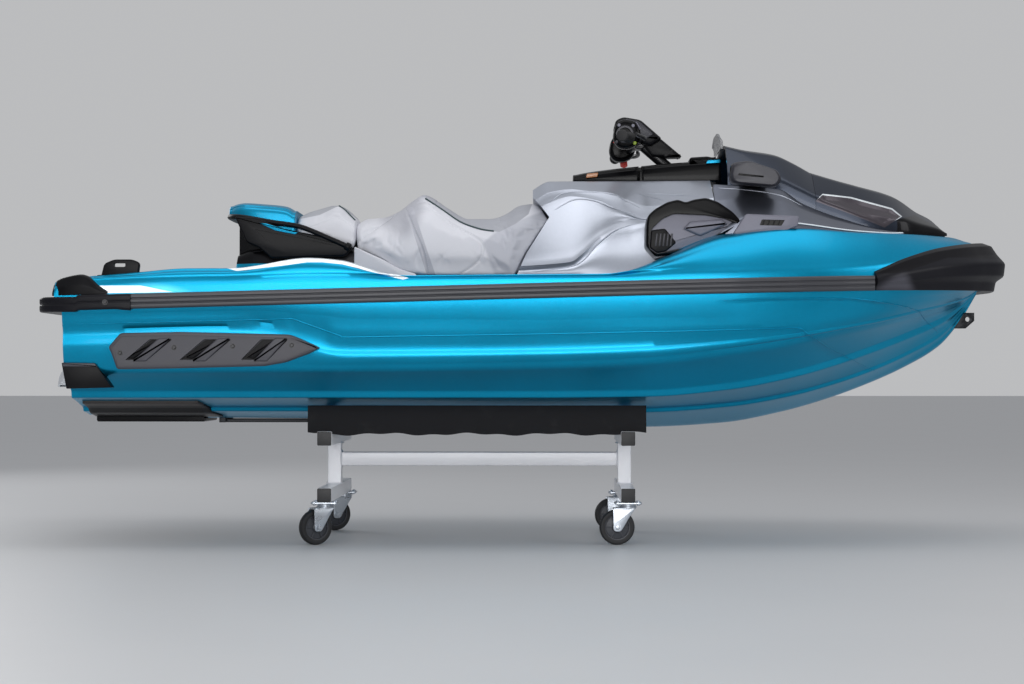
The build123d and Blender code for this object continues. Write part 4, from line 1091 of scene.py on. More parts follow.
# ---- frame and palette ----

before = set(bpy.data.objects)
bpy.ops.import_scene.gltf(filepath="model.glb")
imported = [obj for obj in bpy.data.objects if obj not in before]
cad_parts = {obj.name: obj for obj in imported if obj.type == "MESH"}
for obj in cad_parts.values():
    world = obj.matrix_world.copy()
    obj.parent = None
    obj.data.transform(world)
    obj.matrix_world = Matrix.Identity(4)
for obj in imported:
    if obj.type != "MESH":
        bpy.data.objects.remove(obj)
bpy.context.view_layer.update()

TEAL = srgb(0, 146, 187)
# White of the deck's printed stripes, also used for painted highlights on the hood inset's rim and the
# flank lines
WHITE_PRINT_AND_HIGHLIGHT = srgb(226, 232, 236)
BUMPER_BLACK = srgb(15, 14, 18)
BOLSTER_GREY = srgb(158, 160, 168)
REAR_GREY = srgb(164, 166, 173)
VINYL_GREY = srgb(206, 207, 214)

SIDE_PATCHES = (
    Region(((-1496, 906), (-1340, 906), (-1228, 884), (-1470, 880)), WHITE_PRINT_AND_HIGHLIGHT),
    Region(((-1330, 906), (-1250, 906), (-1180, 880), (-1240, 880)), srgb(90, 190, 212), 40.0),
    Region(((-1074, 974), (-841, 1003), (-841, 976), (-1010, 956)), WHITE_PRINT_AND_HIGHLIGHT, 1.5),
    Region(((-841, 1003), (-771, 1012), (-771, 986), (-841, 976)), WHITE_PRINT_AND_HIGHLIGHT, 1.5),
    Region(((-771, 1012), (-719, 1009), (-719, 986), (-771, 986)), WHITE_PRINT_AND_HIGHLIGHT, 1.5),
    Region(((-719, 1009), (-649, 999), (-649, 979), (-719, 986)), WHITE_PRINT_AND_HIGHLIGHT, 1.5),
    Region(((-649, 999), (-419, 931), (-440, 925), (-649, 979)), WHITE_PRINT_AND_HIGHLIGHT, 1.5),
    Region(((-1160, 1004), (-1160, 1100), (-600, 1100), (-600, 1004)), srgb(24, 24, 27)),
)
BUMPER_PATCHES = (
    Region(((1150, 950), (1276, 952), (1466, 1013), (1466, 1100), (1150, 1100)), BUMPER_BLACK, 4.0),
    Region(((1466, 1013), (1745, 1020), (1745, 1100), (1466, 1100)), BUMPER_BLACK, 4.0),
    # Soft lighter patch on the bumper's side facet: a painted highlight
    Region(((1190, 893), (1330, 893), (1300, 950), (1236, 932)), srgb(78, 78, 86), 40.0),
)
HOOD_PATCHES = (
    # The white left showing on the inset's upper and right rim is a painted highlight
    Region(((1014, 1224), (1036, 1246), (1143, 1236), (1288, 1196), (1318, 1164), (1254, 1128)),
           WHITE_PRINT_AND_HIGHLIGHT),
    Region(((1008, 1218), (1034, 1241), (1141, 1230), (1284, 1190), (1311, 1163), (1250, 1122)),
           srgb(74, 69, 75)),
    Region(((1296, 1060), (1296, 1150), (1380, 1176), (1520, 1110), (1520, 1060)), srgb(18, 18, 21)),
)
SEAT_PATCHES = (
    Region(((-560, 1150), (-520, 1262), (-400, 1275), (-392, 1200), (-450, 1090)), srgb(172, 173, 181),
           60.0),
    Region(((-420, 1262), (-140, 1128), (20, 1300)), srgb(166, 168, 177), 8.0),
    Region(((-190, 1110), (-130, 945), (-20, 945), (70, 1171), (10, 1250), (-110, 1140)),
           srgb(178, 180, 189), 14.0),
    Region(((-462, 1215), (-436, 1215), (-346, 950), (-378, 950)), srgb(176, 177, 186), 2.0),
    Region(((-392, 1246), (-330, 1204), (-260, 1152), (-190, 1126), (-190, 1300), (-392, 1300)),
           BOLSTER_GREY, 2.0),
    Region(((-191, 1300), (-191, 1126), (-120, 1120), (-60, 1150), (-14, 1186), (20, 1300)),
           BOLSTER_GREY, 2.0),
)
REAR_PATCHES = (
    Region(((-860, 1170), (-780, 1186), (-712, 1222), (-712, 1260), (-870, 1260)), REAR_GREY, 2.0),
    Region(((-713, 1260), (-713, 1222), (-690, 1206), (-640, 1160), (-640, 1260)), REAR_GREY, 2.0),
)


class Paint:
    """Every finish on the craft and its dolly: name, colour, roughness, grain, slot, metal and coat."""

    HULL = Finish("Gelcoat_hull", TEAL, 0.32, Grain.GEL, "hull_teal", 0.85, 0.1, dust=0.01)
    DECK = PaintedSides("Gelcoat_deck", TEAL, 0.32, Grain.GEL, "deck_teal", 0.85, 0.08, dust=0.01,
                        patches=SIDE_PATCHES)
    # White of the flank lines: a painted highlight along the silver panels' lower edges
    WHITE_HIGHLIGHT = Finish("White_highlight_line", WHITE_PRINT_AND_HIGHLIGHT, 0.3, Grain.GEL, "deck_teal", 0.0, 0.6)
    RAIL = Finish("Rail_plastic", srgb(62, 63, 68), 0.32, Grain.MOULDED, "rail_black", specular=0.4)
    TRIM = Finish("Trim_plastic", srgb(15, 15, 18), 0.36, Grain.MOULDED, "trim_black", dust=0.005,
                  specular=0.14)
    BUMPER = PaintedSides("Bumper_plastic", srgb(24, 24, 29), 0.34, Grain.MOULDED, "rail_black", dust=0.01,
                          specular=0.16, patches=BUMPER_PATCHES)
    SPONSON = Finish("Sponson_plastic", srgb(66, 66, 73), 0.46, Grain.MOULDED, "trim_black", dust=0.10)
    SILVER = Finish("Console_silver", srgb(170, 175, 186), 0.34, Grain.GEL, "console_silver", 0.75, 0.15)
    SILVER_DEEP = Finish("Panel_silver", srgb(100, 104, 115), 0.32, Grain.GEL, "console_silver", 0.85, 0.2)
    GLOSS = Finish("Cowl_black", srgb(7, 7, 9), 0.2, Grain.GEL, "shroud_dark", dust=0.0, specular=0.12)
    SHROUD = Finish("Shroud_grey", srgb(50, 50, 57), 0.32, Grain.MOULDED, "shroud_dark", 0.1, specular=0.35)
    HOOD = PaintedSides("Hood_grey", srgb(40, 46, 58), 0.3, Grain.GEL, "hood_grey", 0.8, 0.2, dust=0.02,
                        patches=HOOD_PATCHES)
    COWL = Finish("Cowl_grey", srgb(44, 50, 62), 0.3, Grain.GEL, "shroud_dark", 0.8, 0.25, dust=0.02)
    POD = Finish("Pod_grey", srgb(108, 108, 120), 0.44, Grain.MOULDED, "shroud_dark", 0.2)
    AMBER = Finish("Latch_amber", srgb(150, 92, 40), 0.3, Grain.MOULDED, "shroud_dark", 0.1, 0.6)
    MIRROR_GLASS = Finish("Mirror_glass", srgb(205, 210, 214), 0.04, Grain.GEL, "shroud_dark", 1.0,
                          dust=0.03)
    CAP_TEAL = Finish("Gelcoat_cap", TEAL, 0.32, Grain.GEL, "deck_teal", 0.75, 0.15, dust=0.01)
    SEAT_FRONT = PaintedSides("Seat_front_vinyl", VINYL_GREY, 0.46, Grain.VINYL, "seat_vinyl", coat=0.08,
                              patches=SEAT_PATCHES)
    SEAT_REAR = PaintedSides("Seat_rear_vinyl", VINYL_GREY, 0.46, Grain.VINYL, "seat_vinyl", coat=0.08,
                             patches=REAR_PATCHES)
    PIPING = Finish("Seat_piping", srgb(40, 62, 66), 0.4, Grain.RUBBER, "seat_vinyl")
    THREAD = Finish("Seat_thread", srgb(188, 190, 196), 0.7, Grain.CARPET, "seat_vinyl", dust=0.0)
    MAT = Finish("Traction_mat", srgb(42, 42, 46), 0.75, Grain.RUBBER, "mat_rubber", dust=0.12)
    PUMP = Finish("Pump_casting", srgb(150, 152, 156), 0.42, Grain.CAST, "pump_alloy", 0.9)
    # The grate's dark grey is partly its cast colour and partly painted shade for the shadow under the hull
    GRATE_SHADED = Finish("Grate_casting_shaded", srgb(52, 53, 56), 0.5, Grain.CAST, "pump_alloy", 0.5)
    EYE = Finish("Bow_eye_black", srgb(38, 39, 42), 0.35, Grain.POWDER, "eye_steel", 0.7)
    IMPELLER = Finish("Impeller_steel", srgb(196, 197, 200), 0.26, Grain.BRUSHED, "impeller_steel", 1.0)
    BUCKET = Finish("Bucket_paint", srgb(202, 204, 208), 0.36, Grain.POWDER, "bucket_grey", 0.1, 0.3)
    BAR = Finish("Bar_paint", srgb(24, 24, 27), 0.34, Grain.POWDER, "bar_black", 0.2, 0.3)
    GRIP = Finish("Grip_rubber", srgb(22, 22, 24), 0.62, Grain.RUBBER, "grip_rubber")
    SCREEN = Finish("Gauge_glass", srgb(10, 11, 14), 0.08, Grain.GEL, "display_glass", 0.0, 1.0, dust=0.04)
    CLEAR = Finish("Deflector_tint", srgb(70, 74, 84), 0.12, Grain.GEL, "clear_screen", 0.0, 0.8,
                   alpha=0.62, dust=0.05)
    ENGINE = Finish("Engine_casting", srgb(92, 92, 94), 0.55, Grain.CAST, "engine_grey", 0.7)
    STEEL = Finish("Eye_steel", srgb(186, 187, 190), 0.22, Grain.BRUSHED, "eye_steel", 1.0)
    WING_EDGE = Finish("Wing_edge", srgb(58, 53, 52), 0.5, Grain.MOULDED, "trim_black", dust=0.04,
                       specular=0.3)
    SCREW = Finish("Screw_black", srgb(30, 30, 33), 0.3, Grain.POWDER, "trim_black", 0.6, 0.2)
    KEY_GREEN = Finish("Key_green", srgb(150, 176, 40), 0.4, Grain.MOULDED, "trim_black")
    RED = Finish("Lanyard_red", srgb(196, 34, 26), 0.42, Grain.MOULDED, "lanyard_red")
    FRAME_WHITE = Finish("Frame_powder", srgb(240, 240, 244), 0.36, Grain.POWDER, "frame_white", 0.1, 0.2)
    BUNK = Finish("Bunk_carpet", srgb(15, 15, 19), 0.92, Grain.CARPET, "bunk_black", dust=0.06)
    CAP = Finish("End_cap", srgb(30, 30, 32), 0.5, Grain.MOULDED, "cap_dark")
    ZINC = Finish("Caster_zinc", srgb(196, 202, 210), 0.3, Grain.PLATED, "caster_zinc", 0.9)
    TYRE = Finish("Caster_tyre", srgb(24, 24, 27), 0.6, Grain.RUBBER, "caster_rubber", dust=0.1)
    HUB = Finish("Caster_hub", srgb(58, 60, 66), 0.42, Grain.MOULDED, "caster_rubber", 0.1)


def sheer(x: float) -> float:
    """Height of the parting line between hull and deck."""
    return 887.0 + 0.0255 * x


# ---- repeats made by geometry nodes ----


class Modifier:
    """A geometry-nodes tree that is built here, fed by socket identifier and then baked to a mesh."""

    def __init__(self, name: str, numbers: Sequence[str], counts: Sequence[str] = ()) -> None:
        """Starts a tree with Geometry, Material and the given named inputs.

        Args:
            name: Tree name.
            numbers: Names of the inputs that take a number.
            counts: Names of the inputs that take a whole number.
        """
        self.tree = bpy.data.node_groups.new(name, "GeometryNodeTree")
        for label, kind in (("Geometry", "Geometry"), *((n, "Float") for n in numbers),
                            *((n, "Int") for n in counts), ("Material", "Material")):
            self.tree.interface.new_socket(label, in_out="INPUT", socket_type=f"NodeSocket{kind}")
        self.tree.interface.new_socket("Geometry", in_out="OUTPUT", socket_type="NodeSocketGeometry")
        self.graph = Graph(self.tree)
        self.source = self.tree.nodes.new("NodeGroupInput")

    def input(self, label: str) -> Wire:
        """One of the tree's inputs."""
        return Wire(self.graph, self.source.outputs[label])

    def close(self, geometry: Wire) -> None:
        """Realizes the geometry, sets its material and ends the tree.

        Args:
            geometry: What the tree has made.
        """
        real = self.graph.node("GeometryNodeRealizeInstances", None, geometry)
        smooth = self.graph.node("GeometryNodeSetShadeSmooth", None, real)
        painted = self.graph.node("GeometryNodeSetMaterial", None, smooth, Material=self.input("Material"))
        end = self.tree.nodes.new("NodeGroupOutput")
        self.tree.links.new(painted.socket, end.inputs[0])

    def run(self, base: Piece, values: dict[str, Any]) -> Piece:
        """Puts the tree on an object and bakes the result.

        Args:
            base: The object whose geometry feeds the tree.
            values: Value of each named input.

        Returns:
            The object with its plain mesh.
        """
        step = base.modifiers.new(self.tree.name, "NODES")
        step.node_group = self.tree
        for item in self.tree.interface.items_tree:
            if item.item_type == "SOCKET" and item.in_out == "INPUT" and item.name in values:
                step[item.identifier] = values[item.name]
        return shaded(baked(base), SHARP)


def cloud(name: str, places: Sequence[Point], facings: Sequence[Point]) -> Piece:
    """Loose points in millimetres with the way each faces, for a tree to place parts on.

    Args:
        name: Object name.
        places: Where the points are.
        facings: The way each point faces.

    Returns:
        The object.
    """
    mesh = bpy.data.meshes.new(name)
    mesh.from_pydata([tuple(MM * c for c in place) for place in places], [], [])
    way = mesh.attributes.new("facing", "FLOAT_VECTOR", "POINT")
    way.data.foreach_set("vector", [float(c) for f in facings for c in f])
    return linked(name, mesh)


def polyline(name: str, lines: Sequence[np.ndarray]) -> Piece:
    """Lines in millimetres as edges, for a tree to follow.

    Args:
        name: Object name.
        lines: The lines' points.

    Returns:
        The object.
    """
    verts: list[Any] = []
    edges = []
    for line in lines:
        start = len(verts)
        verts += (np.asarray(line) * MM).tolist()
        edges += [(start + k, start + k + 1) for k in range(len(line) - 1)]
    mesh = bpy.data.meshes.new(name)
    mesh.from_pydata(verts, edges, [])
    return linked(name, mesh)


def screw_tree() -> Modifier:
    """Domed screw heads with a socket, one on each point, standing the way it faces.

    Returns:
        The tree.
    """
    kit = Modifier("screw_heads", ("Radius", "Height", "Socket share"))
    g = kit.graph
    radius, height = kit.input("Radius"), kit.input("Height")
    washer = g.node("GeometryNodeMeshCylinder", {"fill_type": "NGON"}, Vertices=20, Radius=radius * 1.35,
                    Depth=height * 0.5)
    head = g.node("GeometryNodeMeshCone", {"fill_type": "NGON"}, Vertices=20,
                  **{"Radius Top": radius * 0.72, "Radius Bottom": radius, "Depth": height})
    lifted = g.node("GeometryNodeTransform", None, head,
                    Translation=g.node("ShaderNodeCombineXYZ", None, 0.0, 0.0, height * 0.25))
    socket = g.node("GeometryNodeMeshCylinder", {"fill_type": "NGON"}, Vertices=6,
                    Radius=radius * kit.input("Socket share"), Depth=height)
    raised = g.node("GeometryNodeTransform", None, socket,
                    Translation=g.node("ShaderNodeCombineXYZ", None, 0.0, 0.0, height))
    cut = g.node("GeometryNodeMeshBoolean", {"operation": "DIFFERENCE", "solver": "EXACT"}, lifted)
    g.tree.links.new(raised.socket, cut.socket.node.inputs[1])
    parts = g.node("GeometryNodeJoinGeometry", None, washer)
    g.tree.links.new(cut.socket, parts.socket.node.inputs[0])
    facing = g.node("GeometryNodeInputNamedAttribute", {"data_type": "FLOAT_VECTOR"}, "facing")
    turn = g.node("FunctionNodeAlignRotationToVector", {"axis": "Z"}, Vector=facing)
    placed = g.node("GeometryNodeInstanceOnPoints", None, kit.input("Geometry"), Instance=parts,
                    Rotation=turn)
    kit.close(placed)
    return kit


def stitch_tree() -> Modifier:
    """Short thread stitches at an even pitch along lines.

    Returns:
        The tree.
    """
    kit = Modifier("stitches", ("Pitch", "Length", "Thread"))
    g = kit.graph
    curve = g.node("GeometryNodeMeshToCurve", None, kit.input("Geometry"))
    even = g.node("GeometryNodeResampleCurve", {"mode": "LENGTH"}, curve, Length=kit.input("Pitch"))
    points = g.node("GeometryNodeCurveToPoints", {"mode": "EVALUATED"}, even)
    tangent = Wire(g, points.socket.node.outputs["Tangent"])
    turn = g.node("FunctionNodeAlignRotationToVector", {"axis": "Z"}, Vector=tangent)
    bead = g.node("GeometryNodeMeshUVSphere", None, Segments=6, Rings=5, Radius=0.5)
    thin = kit.input("Thread")
    sized = g.node("GeometryNodeTransform", None, bead,
                   Scale=g.node("ShaderNodeCombineXYZ", None, thin, thin, kit.input("Length")))
    placed = g.node("GeometryNodeInstanceOnPoints", None, points, Instance=sized, Rotation=turn)
    kit.close(placed)
    return kit


def rib_tree() -> Modifier:
    """Low ribs at an even pitch across a mat, each lying along X.

    Returns:
        The tree.
    """
    kit = Modifier("ribs", ("Pitch", "Length", "Width", "Height"), ("Count",))
    g = kit.graph
    rib = g.node("GeometryNodeMeshCube", None, g.node("ShaderNodeCombineXYZ", None, kit.input("Length"),
                                                      kit.input("Width"), kit.input("Height")), 2, 2, 2)
    line = g.node("GeometryNodeMeshLine", {"mode": "OFFSET"}, kit.input("Count"),
                  Offset=g.node("ShaderNodeCombineXYZ", None, 0.0, kit.input("Pitch"), 0.0))
    row = g.node("GeometryNodeInstanceOnPoints", None, line, Instance=rib)
    flat = g.node("GeometryNodeRealizeInstances", None, row)
    placed = g.node("GeometryNodeInstanceOnPoints", None, kit.input("Geometry"), Instance=flat)
    kit.close(placed)
    return kit


@dataclass
class Fasteners:
    """The screw heads that show, made by one tree."""

    tree: Modifier = field(default_factory=screw_tree)

    def heads(self, name: str, places: Sequence[Point], facings: Sequence[Point], radius: float,
              height: float) -> Piece:
        """Screw heads at places in millimetres.

        Args:
            name: Object name.
            places: Where each head sits.
            facings: The way each head faces.
            radius: Head radius.
            height: Head height.

        Returns:
            All the heads as one object.
        """
        base = cloud(name, places, facings)
        return self.tree.run(base, {"Radius": radius * MM, "Height": height * MM, "Socket share": 0.45,
                                    "Material": Paint.SCREW.material()})


# ---- hull ----


@dataclass
class Hull:
    """Bottom and topsides up to the parting line."""

    # Columns: x, keel z, inner strake y z, outer strake y z, chine y z, mid side y z, rail y
    stations: tuple[Row, ...] = (
        (-1614, 430, 255, 470, 440, 520, 556, 614, 586, 770, 598),
        (-1000, 424, 255, 470, 440, 520, 560, 617, 590, 785, 606),
        (-600, 420, 255, 470, 440, 520, 560, 619, 592, 735, 608),
        (0, 409, 255, 467, 440, 520, 560, 629, 592, 735, 608),
        (400, 404, 250, 467, 436, 524, 560, 645, 590, 745, 606),
        (700, 419, 232, 486, 408, 550, 540, 680, 574, 756, 590),
        (930, 462, 205, 524, 362, 594, 500, 717, 540, 770, 562),
        (1076, 503, 172, 562, 308, 634, 450, 746, 496, 790, 532),
        (1227, 557, 132, 612, 240, 684, 372, 776, 428, 818, 480),
        (1385, 626, 84, 680, 154, 742, 250, 815, 318, 850, 392),
        (1500, 694, 46, 744, 88, 792, 150, 846, 214, 870, 304),
        (1590, 806, 14, 834, 32, 856, 70, 880, 118, 892, 206),
        (1640, 895, 6, 902, 16, 908, 34, 914, 60, 918, 110),
    )
    inner_step: float = 14.0
    outer_step: float = 24.0
    # X and z under the footwells
    well_floor: tuple[Flat, ...] = ((-1015, 880), (-760, 716), (-640, 686), (340, 686), (485, 745))
    # Feature lines on the sides: x, z, depth of the step below the line
    side_crease: tuple[Point, ...] = ((-1614, 772, 9), (-895, 789, 9), (-820, 791, 9), (-690, 744, 9),
                                      (-642, 728, 8), (0, 738, 8), (542, 749, 8), (918, 760, 9),
                                      (1030, 700, 7), (1160, 646, 5), (1308, 590, 2))
    bow_crease: tuple[Point, ...] = ((640, 852, 0), (788, 859, 5), (1103, 864, 8), (1219, 853, 8),
                                     (1323, 838, 8), (1383, 823, 6), (1525, 732, 3))

    def rail_y(self, x: float) -> float:
        """Half width at the parting line."""
        table = self.stations
        return float(np.interp(x, [r[0] for r in table], [r[10] for r in table]))

    def half(self, row: Row) -> list[Flat]:
        """Corners of one station from the keel to the parting line and back to the centre.

        Args:
            row: One row of the table.

        Returns:
            The corners (y, z).
        """
        x, keel, y1, z1, y2, z2, y3, z3, y4, z4, y5 = row
        step = min(self.inner_step, 0.4 * (z2 - z1))
        wide = min(self.outer_step, 0.4 * (z3 - z2))
        return [(0, keel), (y1, z1), (y1 + 0.5 * step, z1 + step), (y2, z2), (y2 + 0.3 * wide, z2 + wide),
                (y3, z3), (y4, z4), (y5, sheer(x)), (0, sheer(x))]

    @staticmethod
    def relief(points: np.ndarray, path: Sequence[Point], rise: float = 7.0,
               fade: float = 70.0) -> np.ndarray:
        """How far points of the side step in below a feature line.

        Args:
            points: (x, z) of each point.
            path: The line as x, z and depth.
            rise: Distance over which the step falls in.
            fade: Distance over which it comes back out.

        Returns:
            The step of each point in millimetres.
        """
        line = np.asarray(path, float)
        best = np.full(len(points), np.inf)
        step = np.zeros(len(points))
        for a, b in zip(line, line[1:]):
            run = b[:2] - a[:2]
            share = np.clip(((points - a[:2]) @ run) / (run @ run), 0, 1)
            near = a[:2] + share[:, None] * run
            off = points - near
            gap = np.hypot(*off.T)
            below = np.sign(run[1] * off[:, 0] - run[0] * off[:, 1])
            depth = a[2] + share * (b[2] - a[2])
            value = np.where(below > 0, depth * np.clip(gap / rise, 0, 1) * np.clip(1 - gap / fade, 0, 1),
                             0.0)
            better = gap < best
            step[better] = value[better]
            best[better] = gap[better]
        return step

    def build(self) -> Piece:
        """The hull's skin with its steps, pump tunnel, intake and footwell room cut out.

        Returns:
            The piece.
        """
        loft = Loft([(row[0], self.half(row)) for row in self.stations],
                    radii=(34, 5, 5, 5, 7, 16, 60, 5, 0), runs=(7, 0, 8, 0, 9, 18, 20, 3, 0),
                    bulges=(-2, 0, -2, 0, -3, 5, 3, 0, 0), pitch=12.0)
        grid = loft.grid()
        flat = grid.reshape(-1, 3)
        high = flat[:, 2] < np.array([sheer(x) for x in flat[:, 0]]) - 12
        outer = high & (np.abs(flat[:, 1]) > 10)
        inward = self.relief(flat[:, [0, 2]],
                             self.side_crease) + self.relief(flat[:, [0, 2]], self.bow_crease)
        steep = np.clip((np.abs(flat[:, 1]) - 30) / 120, 0, 1)
        flat[:, 1] -= np.where(outer, np.sign(flat[:, 1]) * inward * steep, 0.0)
        hull = rows_mesh("Hull", flat.reshape(grid.shape), 24.0)
        tools = [slab("tunnel", oblong(-1700, 380, -1190, 690), -150, 150),
                 slab("intake", outline(((-1195, 360), (-700, 360), (-700, 450), (-1130, 640),
                                         (-1195, 640)), 8), -95, 95)]
        for side in SIDES:
            rows = [(x, [(side * 226, z), (side * 553, z), (side * 553, 990), (side * 226, 990)])
                    for x, z in self.well_floor]
            tub = Loft(rows, (0,) * 4, (0,) * 4, symmetric=False, pitch=200, straight=True)
            tools.append(tub.mesh("tub"))
        return carved(hull, tools, sharp=24.0)

    def creases(self, hull: Piece) -> Piece:
        """Crisp edges along the feature lines of both sides.

        Args:
            hull: The finished hull.

        Returns:
            The edges as one piece.
        """
        made = []
        for line in (self.side_crease, self.bow_crease):
            dense = [np.asarray(a) + (np.asarray(b) - a) * k / 4 for a, b in zip(line, line[1:])
                     for k in range(4)]
            for side in SIDES:
                thrown = drawn_on(hull, [(x, side * 760.0, z + 1.0) for x, z, _ in dense], (0, -side, 0),
                                  4, -0.6)
                made.append(sweep("edge", thrown, tapered(0.7, 2.3, 0.3)))
        return joined("Hull_creases", made, 60.0)


@dataclass
class Deck:
    """Gunwales, footwells, boarding platform, seat pedestal and foredeck in one moulding."""

    hull: Hull
    wall: float = 7.0
    reach: float = 1640.0
    bin_centre: Flat = (1055.0, 0.0)
    # Columns: x, gunwale z, then y and z of the shoulder, top, lip, well's foot, pedestal's foot and
    # pedestal's top
    stations: tuple[Row, ...] = (
        (-1640, 900, 562, 928, 540, 927, 528, 926, 500, 926, 200, 926, 150, 926),
        (-1540, 908, 568, 942, 544, 930, 530, 926, 500, 926, 200, 926, 150, 926),
        (-1370, 914, 576, 958, 548, 936, 532, 926, 500, 926, 200, 926, 150, 926),
        (-1180, 918, 580, 974, 550, 946, 534, 926, 500, 926, 200, 926, 150, 926),
        (-1092, 920, 581, 974, 550, 948, 536, 926, 500, 926, 204, 926, 150, 926),
        (-1074, 920, 582, 973, 550, 950, 536, 926, 504, 924, 206, 926, 148, 1040),
        (-1010, 922, 582, 974, 550, 952, 538, 924, 530, 912, 236, 912, 174, 1058),
        (-960, 923, 583, 980, 550, 958, 541, 930, 538, 868, 248, 868, 176, 1060),
        (-771, 928, 585, 1006, 549, 996, 543, 980, 540, 736, 248, 736, 176, 1060),
        (-642, 929, 586, 996, 549, 984, 543, 970, 540, 702, 238, 702, 176, 1060),
        (-630, 929, 586, 993, 549, 981, 543, 968, 540, 700, 237, 700, 177, 952),
        (-420, 932, 588, 937, 550, 934, 544, 928, 540, 700, 236, 700, 180, 950),
        (-60, 935, 589, 940, 550, 937, 544, 930, 540, 700, 236, 700, 184, 950),
        (250, 938, 588, 942, 550, 940, 544, 932, 540, 700, 236, 700, 190, 950),
        (330, 940, 585, 958, 540, 955, 532, 946, 528, 702, 236, 702, 194, 952),
        (462, 946, 558, 1004, 472, 1010, 462, 1004, 456, 742, 250, 742, 200, 960),
        (478, 947, 555, 1010, 466, 1016, 452, 1016, 420, 1018, 260, 1020, 180, 1022),
        (672, 952, 502, 1079, 440, 1092, 424, 1094, 380, 1095, 260, 1096, 180, 1097),
        (925, 960, 470, 1112, 430, 1108, 410, 1107, 360, 1106, 250, 1106, 170, 1106),
        (1189, 980, 407, 1099, 380, 1097, 360, 1096, 310, 1096, 230, 1096, 150, 1096),
        (1324, 1005, 340, 1100, 315, 1097, 296, 1096, 250, 1096, 180, 1096, 120, 1096),
        (1501, 1045, 207, 1097, 165, 1097, 150, 1096, 120, 1096, 90, 1096, 60, 1096),
        (1586, 1060, 112, 1083, 80, 1084, 66, 1084, 50, 1085, 36, 1085, 22, 1085),
        (1640, 1040, 62, 1056, 44, 1058, 34, 1058, 26, 1058, 18, 1058, 10, 1058),
    )

    def half(self, row: Row) -> list[Flat]:
        """Corners of one station from the parting line to the centre.

        Args:
            row: One row of the table.

        Returns:
            The corners (y, z).
        """
        x, gunwale = row[:2]
        rail = self.hull.rail_y(x)
        pairs = [(row[i], row[i + 1]) for i in range(2, len(row), 2)]
        return [(rail, sheer(x)), (rail, gunwale), *pairs, (0.0, row[-1])]

    def build(self) -> Piece:
        """The deck moulding as a closed shell with its rear face.

        Returns:
            The piece.
        """
        loft = Loft([(row[0], self.half(row)) for row in self.stations], (0, 14, 22, 16, 12, 26, 26, 22, 0),
                    (2, 12, 3, 1, 8, 8, 9, 5, 0), (0, 6, 1, 0, 0, 0, -3, 0, 0), pitch=12.0)
        rows = loft.open_grid()
        edges = []
        for down, back in ((math.inf, 0.0), (7.0, 0.0), (2.0, 2.0)):
            edge = rows[0].copy()
            edge[:, 2] = np.maximum(edge[:, 2] - down, sheer(-self.reach))
            edge[:, 0] += back
            edges.append(edge)
        rows[0][:, 0] += 7.0
        nose = rows[-1].copy()
        nose[:, 2] = sheer(self.reach)
        deck = open_skin("Deck", np.concatenate([np.array(edges), rows, nose[None]]), self.wall, 30.0)
        return carved(deck, [slab("bin_hole", oblong(742, -214, 1368, 214, 30), 1000, 1200, axis=2)],
                      sharp=30.0)

    def bin_liner(self) -> Piece:
        """The open tub of the front bin.

        Returns:
            The piece.
        """
        outer = oblong(741, -215, 1369, 215, 34, 3)
        middle = np.array(self.bin_centre) + 0.02 * (outer - np.array(self.bin_centre))
        steps = ((1098, 0), (931, 0), (931, None), (939, None), (939, 18), (946, 10), (1097, 6), (1098, 0))
        rows = [np.insert(middle if inward is None else shrunk(outer, inward), 2, z, axis=1)
                for z, inward in steps]
        return rows_mesh("Front_bin", np.array(rows), 30.0, capped=False)


